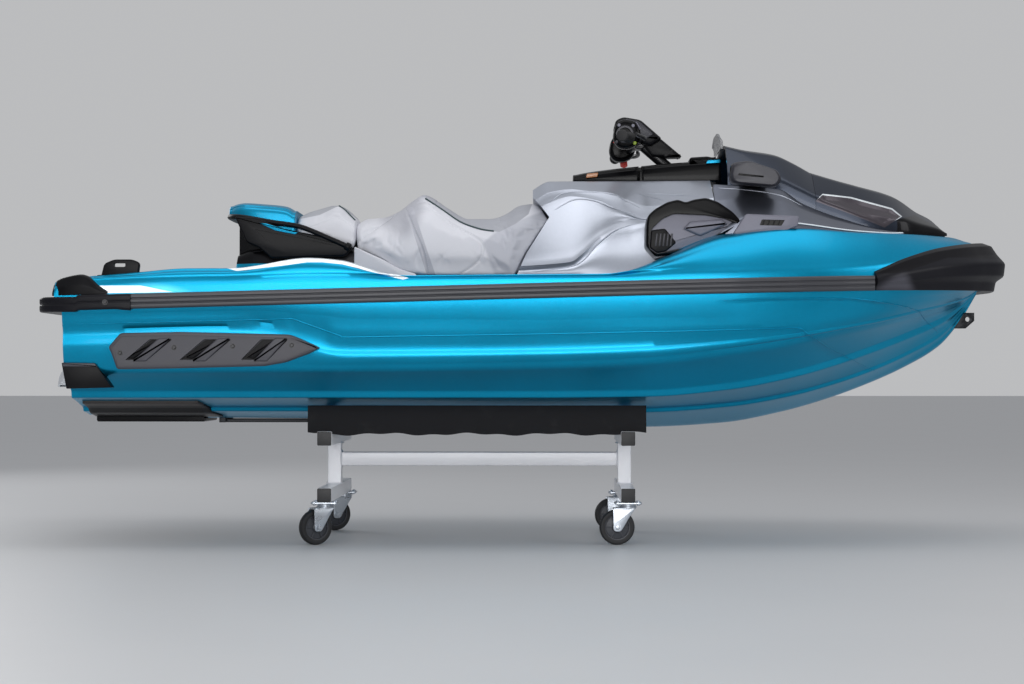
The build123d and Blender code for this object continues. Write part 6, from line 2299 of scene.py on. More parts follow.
@dataclass
class Flanks:
    """Silver side panels, the pods beside the console and the vents ahead of them."""

    # Columns: x, foot y and z, upper edge y and z
    panels: tuple[Row, ...] = (
        (648, 432, 1100, 268, 1283), (765, 452, 1150, 285, 1275), (880, 458, 1132, 300, 1262),
        (962, 450, 1124, 318, 1208), (1111, 418, 1106, 336, 1150), (1250, 366, 1100, 340, 1112),
        (1317, 334, 1100, 326, 1104))
    crease_share: float = 0.62
    pod: tuple[Flat, ...] = ((401, 1130), (407, 1158), (431, 1180), (474, 1204), (511, 1213), (538, 1203),
                             (567, 1213), (609, 1219), (651, 1205), (703, 1169), (733, 1135), (675, 1092),
                             (588, 1052), (518, 1024), (432, 1012), (399, 1050))
    dish: tuple[Flat, ...] = ((416, 1111), (455, 1148), (497, 1166), (612, 1160), (678, 1147), (722, 1127),
                              (636, 1082), (560, 1050), (497, 1034), (436, 1022), (408, 1042))
    vent: tuple[Flat, ...] = ((700, 1090), (745, 1160), (930, 1152), (925, 1118), (880, 1100), (760, 1080))

    def panel(self) -> Piece:
        """Both silver panels, each with a crease that runs to the bow.

        Returns:
            The piece.
        """
        rows, share = [], self.crease_share
        for x, foot_y, foot_z, top_y, top_z in self.panels:
            mid_y, mid_z = foot_y + share * (top_y - foot_y), foot_z + share * (top_z - foot_z)
            rows.append((x, [(-(foot_y - 30), 1062), (-foot_y, 1062), (-foot_y, foot_z),
                             (-(mid_y + 3), mid_z + 3), (-top_y, top_z), (-(top_y - 15), top_z)]))
        side = Loft(rows, (0, 0, 12, 5, 5, 0), (2, 2, 9, 6, 1, 5), (0, 0, 0, 0, 0, 0), symmetric=False,
                    pitch=10, ends=(3, 2)).mesh("panel", 20.0)
        return both_sides(side, "Side_panels", 20.0)

    def pods(self) -> Piece:
        """Both pods: thick glossy rim, grey dish with its raised wedge and a darker corner.

        Returns:
            The piece.
        """
        rim = slab("rim", outline(self.pod, 9, 3, 4), -300, -447, edge=9)
        room = outline(self.dish, 10, 3, 5)
        carved(rim, [slab("dish", room, -434, -480)])
        lining = slab("lining", shrunk(room, 1.0), -424, -435.5, edge=4)
        wedge = slab("wedge", outline(((528, 1110), (552, 1136), (664, 1144), (686, 1127), (588, 1084)), 7,
                                      3), -434, -445, edge=8)
        corner = slab("corner", outline(((412, 1044), (418, 1106), (466, 1112), (506, 1062), (470, 1032),
                                         (438, 1026)), 7, 3), -434, -441, edge=5)
        grille = [slab("grille", outline(((430 + 13 * k, 1050), (436 + 13 * k, 1050), (441 + 13 * k, 1094),
                                          (435 + 13 * k, 1094)), 2), -440, -443, edge=1) for k in range(5)]
        parts = [dressed(rim, Paint.GLOSS), dressed(lining, Paint.POD), dressed(wedge, Paint.POD),
                 dressed(corner, Paint.TRIM), *(dressed(bar, Paint.SHROUD) for bar in grille)]
        return both_sides(joined("pod", parts), "Speaker_pods")

    def vents(self) -> Piece:
        """Both vents with their slats.

        Returns:
            The piece.
        """
        plate = slab("vent", outline(self.vent, 8, 2), -442, -477, edge=4)
        slot = slab("slot", outline(((792, 1120), (800, 1140), (880, 1138), (868, 1118)), 3), -466, -500)
        carved(plate, [slot])
        slats = [slab(f"slat_{k}", outline(((802 + 18 * k, 1121), (806 + 18 * k, 1121),
                                            (812 + 18 * k, 1137), (808 + 18 * k, 1137))), -464, -474)
                                            for k in range(4)]
        pit = slab("pit", outline(((792, 1119), (800, 1141), (881, 1139), (869, 1117)), 3), -462, -467)
        parts = [dressed(plate, Paint.POD), dressed(pit, Paint.GLOSS),
                 *(dressed(slat, Paint.TRIM) for slat in slats)]
        return both_sides(joined("vent_half", parts), "Side_vents")

    def line(self) -> Piece:
        """White line at the foot of each silver panel, a painted highlight along the panel's lower edge.

        Returns:
            The piece.
        """
        # The white tube paints the highlight on the panel's lower edge
        foot = [(x, -(y + 0.8), z + 0.6) for x, y, z in ((765, 452, 1150), (820, 455.5, 1141),
                                                         (880, 458, 1132), (962, 450, 1124),
                                                         (1111, 418, 1106), (1250, 366, 1100),
                                                         (1312, 336, 1102))]
        return both_sides(sweep("flank_highlight_line", catmull(foot, 8), ring(2.4, 8)), "Flank_lines")

    def build(self) -> None:
        """All flank pieces but the panels."""
        settle(self.line(), "craft", Paint.WHITE_HIGHLIGHT)
        settle(self.pods(), "craft", Paint.TRIM, ("speaker_pods",))
        settle(self.vents(), "craft", Paint.TRIM, ("side_vents",))


@dataclass
class Hood:
    """Cowl with the mirrors, the hood that lifts with it, and the wind deflector."""

    # Columns: x, edge y and z, shoulder y, top z
    cowl_rows: tuple[Row, ...] = (
        (700, 270, 1250, 190, 1446), (770, 278, 1245, 190, 1430), (881, 292, 1235, 190, 1412),
        (940, 300, 1208, 192, 1386), (1008.6, 310, 1175, 195, 1347))
    hood_rows: tuple[Row, ...] = (
        (1009.6, 310, 1175, 195, 1347), (1111, 328, 1130, 205, 1316), (1178, 332, 1100, 200, 1298),
        (1308, 316, 1096, 180, 1261), (1400, 260, 1098, 150, 1205), (1467, 211, 1099, 120, 1170),
        (1499, 180, 1102, 92, 1130))
    inset: tuple[Flat, ...] = ((1020, 1226), (1040, 1240), (1141, 1230), (1284, 1190), (1309, 1164),
                               (1252, 1134))
    wall: float = 11.0
    inset_depth: float = 6.0
    mirror_centre: Flat = (790.0, 1302.0)
    mirror: tuple[Flat, ...] = ((689, 1298), (700, 1272), (860, 1258), (879, 1285), (862, 1318),
                                (760, 1352), (700, 1345))

    @staticmethod
    def half(row: Row) -> tuple[float, list[Flat]]:
        """One half section, from the edge to the centre."""
        x, edge_y, edge_z, top_y, top_z = row
        return (x, [(edge_y, edge_z), (edge_y, edge_z + 0.35 * (top_z - edge_z)), (top_y, top_z - 20),
                    (0, top_z)])

    def shell(self, name: str, table: Sequence[Row], runs: Sequence[int], pitch: float,
              inset: bool = False) -> Piece:
        """A crowned shell from edge to edge.

        Args:
            name: Object name.
            table: Its sections.
            runs: Points inside the run after each corner.
            pitch: Distance between sections.
            inset: Sinks the two side panels in.

        Returns:
            The shell.
        """
        points = Loft([self.half(row) for row in table], (0, 16, 12, 0), runs, (1, 1, 4, 0),
                      pitch=pitch).open_grid()
        if inset:
            flat = points.reshape(-1, 3)
            inward = self.inset_depth * inside(flat[:, [0, 2]], self.inset,
                                               9.0) * (np.abs(flat[:, 1]) > 120)
            normal = np.cross(*np.gradient(points, axis=(0, 1)))
            normal /= np.maximum(np.linalg.norm(normal, axis=2), TINY)[..., None]
            points -= normal * (np.sign(np.sum(normal[:, :,
                                                      2])) * inward.reshape(points.shape[:2]))[..., None]
        return open_skin(name, points, self.wall, 30.0)

    def hood(self) -> Piece:
        """The hood with its inset panels and hinge bosses.

        Returns:
            The piece.
        """
        shell = self.shell("hood", self.hood_rows, (9, 16, 12, 0), 7.0, inset=True)
        room = [slab(f"lug_{side}", oblong(1478, side * 68, 1524, side * 80), 1060, 1133, axis=2)
                for side in SIDES]
        carved(shell, room, sharp=30.0)
        dressed(shell, Paint.HOOD)
        hinge = cad_copy("hood", "hood_hinge")
        crop = slab("hinge_crop", oblong(1488, 1100.4, 1512, 1121.8), -92, 92)
        carved(hinge, [crop], "INTERSECT")
        return joined("Hood", [shell, dressed(hinge, Paint.TRIM)], 30.0)

    def mirrors(self) -> Piece:
        """Both mirrors on their arms.

        Returns:
            The piece.
        """
        base = outline(self.mirror, 16, 3, 5)
        centre = np.array(self.mirror_centre)
        rows = []
        for y, share in ((-236, 0.40), (-262, 0.46), (-300, 0.56), (-330, 0.80), (-346, 0.93), (-372, 0.99),
                         (-400, 0.995), (-422, 0.97), (-431, 0.92), (-435.5, 0.84)):
            rows.append(np.insert(centre + (base - centre) * share, 1, y, axis=1))
        shell = rows_mesh("mirror", np.array(rows), 34.0)
        hollow = slab("glass_room", oblong(-344, 1286, -424, 1334, 14), 660, 702,
                      axis=0)
        carved(shell, [hollow])
        glass = slab("mirror_glass", oblong(-346, 1288, -422, 1332, 12), 704, 700.5,
                     axis=0)
        slit = slab("mirror_slit", outline(((722, 1298), (810, 1290), (812, 1296), (724, 1305)), 2), -430,
                    -437, edge=1)
        half = joined("mirror_half", [dressed(shell, Paint.SHROUD), dressed(glass, Paint.MIRROR_GLASS),
                                      dressed(slit, Paint.GLOSS)])
        return both_sides(half, "Mirrors")

    def deflector(self) -> Piece:
        """The clear wind deflector, curved in plan.

        Returns:
            The piece.
        """
        rows = []
        for y in np.linspace(-149, 149, 31):
            t = abs(y) / 149
            back, top = 9.0 * t * t * 0.3, 1490.5 - 34.0 * t ** 3
            rows.append([(x + back if x > 690 else x, y, min(z, top))
                         for x, z in ((685.5, 1424), (691, 1424), (691, 1452), (684.6, 1486), (681, 1490.4),
                                      (677.5, 1488), (680, 1470), (684, 1446))])
        return rows_mesh("Wind_deflector", np.array(rows), 30.0)

    def build(self) -> None:
        """All of the lifting group."""
        cowl = self.shell("Mirror_cowl", self.cowl_rows, (5, 10, 9, 0), 10.0)
        settle(cowl, "hood_group", Paint.COWL, ("mirror_cowl",))
        settle(self.hood(), "hood_group", Paint.HOOD, ("hood",))
        settle(self.mirrors(), "hood_group", Paint.SHROUD, ("mirrors",))
        settle(self.deflector(), "hood_group", Paint.CLEAR, ("wind_deflector",))


# ---- handlebar ----


@dataclass
class Steering:
    """Handlebar with its grips, switches, levers and column cover, on the tilted axis."""

    bar_in: Point = (389.6, 110.0, 1458.2)
    bar_end: Point = (317.0, 390.0, 1444.0)

    def on_bar(self, share: float, side: int, ahead: float = 0.0, above: float = 0.0) -> Point:
        """Point between the bar's bend and its end on one side, moved ahead and above."""
        x, y, z = (a + share * (b - a) for a, b in zip(self.bar_in, self.bar_end))
        return (x + ahead, side * y, z + above)

    def along_bar(self, side: int) -> Point:
        """Direction of the bar outwards on one side."""
        x, y, z = (b - a for a, b in zip(self.bar_in, self.bar_end))
        return (x, side * y, z)

    def bar(self) -> Piece:
        """The bent bar and the stem.

        Returns:
            The piece.
        """
        half = [self.on_bar(t, PORT) for t in (0.0, 0.12, 0.4, 0.7, 0.975)]
        path = [(x, -y, z) for x, y, z in half[::-1]] + [(395.0, -40.0, 1461.5),
                                                         (395.0, 40.0, 1461.5)] + half
        tube = sweep("bar", catmull(path, 8), ring(11.0, 20), 60.0)
        stem = turned("stem", ((0, -200), (18, -200), (20, -197), (20, 60), (18, 62), (0, 62)),
                      STEER_POINT, STEER_AXIS, 28)
        clamp = slab("clamp", ring(27, 24) + np.array((395.0, 1461.5)), -34, 34, edge=4, both=True)
        return joined("Handlebar", [tube, stem, clamp], 40.0)

    def grips(self) -> Piece:
        """Ribbed grips with flanges and end caps.

        Returns:
            The piece.
        """
        made = []
        for side in SIDES:
            profile: list[Flat] = [(11.1, 163), (21, 163), (22, 165), (22, 168), (20, 170), (16.4, 173)]
            at = 176.0
            while at < 276:
                profile += [(16.2, at), (17.2, at + 1), (17.2, at + 3), (16.2, at + 4)]
                at += 6.5
            profile += [(18, 279), (21, 281), (21, 285), (18, 288), (9, 289.4), (0, 289.6), (0, 282),
                        (11.1, 282)]
            made.append(turned(f"grip_{side}", profile, self.on_bar(0, side), self.along_bar(side), 28,
                               28.0))
        return joined("Grips", made, 28.0)

    def switches(self) -> Piece:
        """Bulky glossy control housings round the bar, with keys, a rim and a painted highlight on their
        outer faces.

        Returns:
            The piece.
        """
        parts = []
        for side in SIDES:
            loop = outline(((296, 1490), (310, 1512), (330, 1519), (366, 1514), (388, 1492), (392, 1456),
                            (376, 1426), (346, 1412), (314, 1415), (296, 1432), (290, 1458)), 12, 3)
            body = slab(f"housing_{side}", loop, side * 196, side * 262, edge=17, both=True)
            parts.append(dressed(body, Paint.GLOSS))
            rim = turned(f"rim_{side}", ((24, 50), (30, 50), (32, 53), (32, 60), (30, 63), (24, 63)),
                         (340, side * 205, 1463), (-0.12, side, 0.0), 36)
            parts.append(dressed(rim, Paint.SHROUD))
            collar = turned(f"collar_{side}", ((11.2, 108), (22, 109), (25, 114), (25, 124), (22, 130),
                                               (11.2, 131)), self.on_bar(0, side), self.along_bar(side), 30)
            parts.append(dressed(collar, Paint.TRIM))
            # Lighter grey patch at the housing's upper front corner: a painted highlight
            painted_highlight = slab(f"bright_{side}", outline(((368, 1508), (376, 1508), (392, 1482), (386, 1478)),
                                                    3), side * 240, side * 258, edge=3, both=True)
            parts.append(dressed(painted_highlight, Paint.POD))
            keys = ((312, 1496, Paint.POD), (362, 1494, Paint.POD), (304, 1436, Paint.SHROUD),
                    (368, 1432, Paint.KEY_GREEN))
            for k, (x, z, finish) in enumerate(keys):
                key = turned(f"key_{side}_{k}", ((0, 0), (6.5, 0), (6.5, 3), (5, 5), (0, 5.4)),
                             (x, side * 258, z), (0, side, 0), 16)
                parts.append(dressed(key, finish))
        return joined("Switch_housings", parts)

    def levers(self) -> Piece:
        """Throttle and brake levers, curved round the grips.

        Returns:
            The piece.
        """
        made = []
        for side in SIDES:
            path = [self.on_bar(0.46, side, 42, 2), self.on_bar(0.56, side, 58, -2),
                    self.on_bar(0.72, side, 60, -2), self.on_bar(0.86, side, 50, 2),
                    self.on_bar(0.93, side, 45, 6)]
            line = catmull(path, 8)
            made.append(sweep(f"lever_{side}", line, lambda t: ring(4.2 + 1.2 * t, 12, 2.1 - 0.6 * t), 50.0,
                              up=(0, 0, 1)))
        return joined("Control_levers", made, 50.0)

    def cover(self) -> Piece:
        """The padded cover over the bar and down the steering column.

        Returns:
            The piece.
        """
        head = outline(((300, 1508), (306, 1538), (334, 1551), (398, 1540), (478, 1470), (434, 1442),
                        (352, 1470)), 12, 4)
        crown = slab("cover_head", head, -74, 74, edge=14, both=True)
        neck = slab("cover_neck", outline(((392, 1528), (478, 1470), (554, 1406), (504, 1404), (440, 1408),
                                           (384, 1482)), 9, 4), -42, 42, edge=9, both=True)
        carved(crown, [neck], "UNION")
        seam_groove = slab("groove", outline(((522, 1440), (526, 1436), (476, 1392), (471, 1396)), 0, 0),
                           -60, 60)
        core = slab("groove_core", outline(((532, 1450), (536, 1426), (486, 1382), (461, 1386)), 0, 0),
                    -39.5, 39.5)
        carved(seam_groove, [core])
        rooms = [seam_groove]
        for side in SIDES:
            rooms.append(turned(f"bar_room_{side}", ((0, -20), (13, -20), (13, 300), (0, 300)),
                                self.on_bar(0, side), self.along_bar(side), 24))
        rooms.append(turned("mid_room", ((0, -112), (13, -112), (13, 112), (0, 112)), (394, 0, 1461),
                            (0, 1, 0), 24))
        rooms.append(stem_bore(21, 66, 28))
        crown = carved(crown, rooms)
        plate = slab("cover_plate", outline(((340, 1543), (392, 1533), (446, 1486), (420, 1470),
                                             (352, 1492)), 9, 3), -73.5, -76.5, edge=2)
        return joined("Column_cover", [dressed(crown, Paint.TRIM), dressed(plate, Paint.SHROUD),
                                       dressed(mirrored(plate, "cover_plate_port"), Paint.SHROUD)])

    def lanyard(self) -> Piece:
        """The red safety clip on its post.

        Returns:
            The piece.
        """
        post = turned("clip", ((0, 0), (5, 0), (6.5, 4), (6.5, 34), (9.5, 37), (9.5, 50), (7, 54), (5, 56),
                               (5, 66), (0, 68)), (334, -60, 1512), (-0.49, 0, -0.87), 20)
        eye = sweep("clip_eye", catmull([(312 + 11 * math.cos(t), -60, 1469 + 11 * math.sin(t))
                                         for t in np.linspace(0, 2 * math.pi, 9)[:-1]], 4, True),
                                         ring(2.4, 8), closed=True, up=(0, 1, 0))
        return joined("Lanyard_clip", [post, eye])

    def strap(self) -> Piece:
        """The red lanyard's strap, hung from the port control housing.

        Returns:
            The piece.
        """
        band = slab("strap", outline(((340, 1468), (354, 1468), (356, 1412), (348, 1403), (340, 1410)), 4,
                                     6), 260, 266, edge=2, both=True)
        stud = turned("strap_stud", ((0, 0), (7, 0), (7, 8), (5.5, 10), (0, 10)), (347, 259, 1458),
                      (0, 1, 0), 20)
        float_end = slab("strap_float", outline(((334, 1424), (362, 1424), (364, 1402), (350, 1396),
                                                 (336, 1400)), 5, 3), 268, 274, edge=2.5, both=True)
        return joined("Lanyard_strap", [dressed(band, Paint.RED), dressed(stud, Paint.TRIM),
                                        dressed(float_end, Paint.RED)])

    def build(self) -> None:
        """All of the group."""
        body = "handlebar_group"
        settle(self.bar(), body, Paint.BAR, ("handlebar",))
        settle(self.grips(), body, Paint.GRIP, ("handlebar_grips",))
        settle(self.switches(), body, Paint.TRIM, ("switch_housings",))
        settle(self.levers(), body, Paint.BAR, ("control_levers",))
        settle(self.cover(), body, Paint.TRIM, ("column_cover",))
        settle(self.lanyard(), body, Paint.RED, ("lanyard_clip",))
        settle(self.strap(), body, Paint.RED)


# ---- fittings low on the hull, drive and mats ----


@dataclass
class Fittings:
    """Sponsons, stern trims, ride plate, grate, eyes, fixtures and mats."""

    sponson: tuple[Flat, ...] = ((-1449, 695), (-1408, 743), (-1197, 747), (-828, 738), (-791, 724),
                                 (-724, 693), (-761, 673), (-843, 643), (-917, 630), (-1227, 622),
                                 (-1419, 619), (-1438, 673))
    bolts: tuple[Flat, ...] = ((-1408, 675), (-1223, 693), (-1022, 698), (-819, 701))
    # Foot x, top x and width of each slanted pocket
    pockets: tuple[tuple[float, float, float], ...] = ((-1392, -1306, 78), (-1205, -1120, 95),
                                                       (-995, -925, 95))
    fasteners: Fasteners = field(default_factory=Fasteners)

    def sponsons(self) -> Piece:
        """Both sponsons with a slanted vane standing in each pocket.

        Returns:
            The piece.
        """
        loop = outline(self.sponson, 9, 3)
        body = slab("sponson", loop, -560, -619, edge=7)
        band = slab("sponson_band", outline(shrunk(np.array(self.sponson, float), 12), 5, 3), -616, -640)
        carved(body, [band])
        tools, floors, vanes = [], [], []
        for foot, top, width in self.pockets:
            loop = outline(((foot, 650), (foot + width, 650), (top + width, 722), (top, 722)), 8, 2)
            tools.append(slab("pocket", loop, -603, -640))
            low, high = foot + width, top + width
            loop = outline(((foot + 3, 652), (low - 3, 652), (high - 3, 720), (top + 3, 720)), 7, 2)
            floors.append(dressed(slab("pocket_floor", loop, -600, -604.5), Paint.TRIM))
            loop = outline(((low - 52, 646), (low - 4, 646), (high - 4, 725), (high - 48, 725)), 5, 2)
            vanes.append(dressed(slab("vane", loop, -600, -621, edge=5), Paint.SPONSON))
            loop = outline(((low - 74, 660), (low - 50, 655), (high - 46, 714), (high - 54, 718)), 4, 2)
            vanes.append(dressed(slab("vane_lip", loop, -600, -611, edge=3), Paint.TRIM))
        dressed(carved(body, tools), Paint.SPONSON)
        return both_sides(joined("sponson_half", [body, *floors, *vanes]), "Sponsons")

    def stern_trims(self) -> Piece:
        """Black trims on the hull's lower stern corners with their lighter top strips.

        Returns:
            The piece.
        """
        block = slab("trim", outline(((-1621, 642), (-1505, 640), (-1446, 556), (-1604, 552)), 4, 2), -520,
                     -566, edge=2)
        strip = slab("trim_strip", outline(((-1619, 642), (-1506, 640), (-1496, 628), (-1616, 628)), 3, 2),
                     -520, -569, edge=3)
        return both_sides(joined("stern_trim", [dressed(block, Paint.TRIM), dressed(strip, Paint.SPONSON)]),
                          "Stern_trims")

    def ride_plate(self) -> Piece:
        """The ride plate with its turned-up sides and lengthwise ribs.

        Returns:
            The piece.
        """
        plate = slab("ride", oblong(-1589, -146, -1196, 146, 10, 4), 442, 430,
                     axis=2, edge=3)
        sides = [slab("ride_side", outline(((-1589, 432), (-1196, 432), (-1196, 497), (-1240, 500),
                                            (-1580, 500), (-1589, 492)), 6, 3), side * 140, side * 149.6,
                                            edge=2) for side in SIDES]
        ribs = [slab("ride_rib", oblong(-1570, y - 4, -1215, y + 4, 3), 441, 450,
                     axis=2, edge=2) for y in (-90, -45, 0, 45, 90)]
        return joined("Ride_plate", [plate, *sides, *ribs])

    def wings(self, hull: Piece) -> Piece:
        """Black plates that lie on the hull's bottom beside the ride plate, with a browner outer strip.

        Args:
            hull: The finished hull.

        Returns:
            The piece.
        """
        tree = surface(hull)
        strips = []
        for low_y, high_y, proud, finish in ((156, 318, 7.0, Paint.TRIM), (320, 372, 9.0, Paint.WING_EDGE)):
            rows = []
            for y in np.linspace(low_y, high_y, 9):
                inner, outer = [], []
                for x in np.linspace(-1592, -1124 - 0.26 * (y - 150), 30):
                    hit = tree.ray_cast(Vector((x, -y, 300)) * MM, Vector((0, 0, 1)))[0]
                    z = hit.z / MM
                    inner.append((x, -y, z + 4.0))
                    outer.append((x, -y, z - proud))
                rows.append(inner + outer[::-1])
            strips.append(dressed(bevelled(rows_mesh("wing", np.array(rows)), 2.0, 50.0), finish))
        return both_sides(joined("wing_half", strips), "Stern_wings")

    def mats(self) -> None:
        """Ribbed mats in the wells and on the platform."""
        for name, node, base_z, x_low, x_high, y_low, y_high, sides in (
                ("Footwell_mats", "footwell_mats", 700.4, -618, 318, 252, 524, (STARBOARD, PORT)),
                ("Platform_mat", "platform_mat", 926.4, -1598, -1092, -508, 508, (PORT,))):
            parts = []
            for side in sides:
                low, high = sorted((side * y_low, side * y_high))
                loop = oblong(x_low, low, x_high, high, 22, 4)
                parts.append(dressed(slab("mat", loop, base_z, base_z + 3.4, axis=2, edge=1.2), Paint.MAT))
                pitch = 13.0
                count = int((high - low - 30) / pitch)
                base = cloud("mat_ribs", [(0.5 * (x_low + x_high), low + 18, base_z + 3.4)], [(0, 0, 1)])
                parts.append(rib_tree().run(base, {"Pitch": pitch * MM, "Count": count,
                                                   "Length": (x_high - x_low - 46) * MM, "Width": 5.5 * MM,
                                                   "Height": 2.6 * MM, "Material": Paint.MAT.material()}))
            settle(joined(name, parts), "craft", Paint.MAT, (node,))

    def fixtures(self) -> Piece:
        """Cargo arches at the rear deck's edge.

        Returns:
            The piece.
        """
        arch = slab("arch", outline(((-1486, 936), (-1356, 940), (-1350, 986), (-1376, 998), (-1440, 998),
                                     (-1474, 984)), 11, 3), -548, -571, edge=6, both=True)
        window = slab("arch_hole", oblong(-1440, 972, -1400, 985, 5), -500, -600)
        foot = slab("arch_foot", outline(((-1498, 934), (-1342, 940), (-1342, 950), (-1498, 944)), 4),
                    -546, -573, edge=3)
        carved(arch, [window])
        return both_sides(joined("fixture", [arch, foot]), "Cargo_fixtures")

    def hardware(self) -> Piece:
        """Every screw head that shows.

        Returns:
            The piece.
        """
        places: list[Point] = []
        facings: list[Point] = []
        for side in SIDES:
            for x, z in self.bolts:
                places.append((x, side * 616.5, z))
                facings.append((0, side, 0))
            places.append((-1458, side * 627.5, 848))
            facings.append((0, side, 0))
        return self.fasteners.heads("Hull_screws", places, facings, 7.0, 4.0)

    def build(self, hull: Piece) -> None:
        """All of the low fittings.

        Args:
            hull: The finished hull.
        """
        settle(self.sponsons(), "craft", Paint.SPONSON, ("sponsons",))
        settle(self.stern_trims(), "craft", Paint.TRIM)
        settle(self.ride_plate(), "craft", Paint.TRIM, ("ride_plate",))
        settle(self.wings(hull), "craft", Paint.TRIM)
        self.mats()
        settle(self.fixtures(), "craft", Paint.TRIM, ("cargo_fixtures",))
        settle(self.hardware(), "craft", Paint.SCREW)
        for node, name, edge, finish in (("intake_grate", "Intake_grate", 2.0, Paint.GRATE_SHADED),
                                         ("bow_eye", "Bow_eye", 2.0, Paint.EYE),
                                         ("stern_eyes", "Stern_eyes", 2.5, Paint.STEEL),
                                         ("step_brackets", "Step_brackets", 1.5, Paint.STEEL)):
            settle(cad_copy(node, name, edge), "craft", finish, (node,))


@dataclass
class Drive:
    """Pump, impeller, nozzle, reverse bucket, boarding step and engine."""

    centre_z: float = 560.0

    def bolts(self) -> Piece:
        """Bolts round the pump's flange.

        Returns:
            The piece.
        """
        places = [(-1600.5, 84 * math.cos(t), self.centre_z + 84 * math.sin(t))
                  for t in np.linspace(0, 2 * math.pi, 9)[:-1] + 0.39]
        return Fasteners().heads("Pump_bolts", places, [(-1, 0, 0)] * 8, 4.5, 4.0)

    def engine(self) -> Piece:
        """The engine's block, ribbed like a crankcase.

        Returns:
            The piece.
        """
        body = slab("engine", outline(((-558, 472), (188, 472), (188, 820), (120, 858), (-500, 858),
                                       (-558, 800)), 24, 3), -193, 193, edge=16, both=True)
        ribs = [slab("engine_rib", oblong(x, 500, x + 14, 830, 5), -194.5, 194.5, edge=3,
                     both=True) for x in range(-480, 140, 90)]
        return joined("Engine_block", [body, *ribs])

    def build(self) -> None:
        """All of the drive."""
        for node, name, body, edge, finish in (
                ("jet_pump_housing", "Jet_pump_housing", "craft", 2.0, Paint.PUMP),
                ("impeller", "Impeller", "impeller_group", 0.8, Paint.IMPELLER),
                ("steering_nozzle", "Steering_nozzle", "nozzle", 1.5, Paint.PUMP),
                ("reverse_bucket", "Reverse_bucket", "bucket", 1.5, Paint.BUCKET),
                ("boarding_step", "Boarding_step", "step_group", 1.0, Paint.STEEL)):
            settle(cad_copy(node, name, edge), body, finish, (node,))
        tread = sweep("Step_tread", [(-1697, y, 781) for y in np.linspace(-150, 150, 24)], ring(14.6, 20),
                      40.0)
        settle(tread, "step_group", Paint.MAT)
        settle(self.bolts(), "craft", Paint.SCREW)
        settle(self.engine(), "craft", Paint.ENGINE, ("engine_block",))


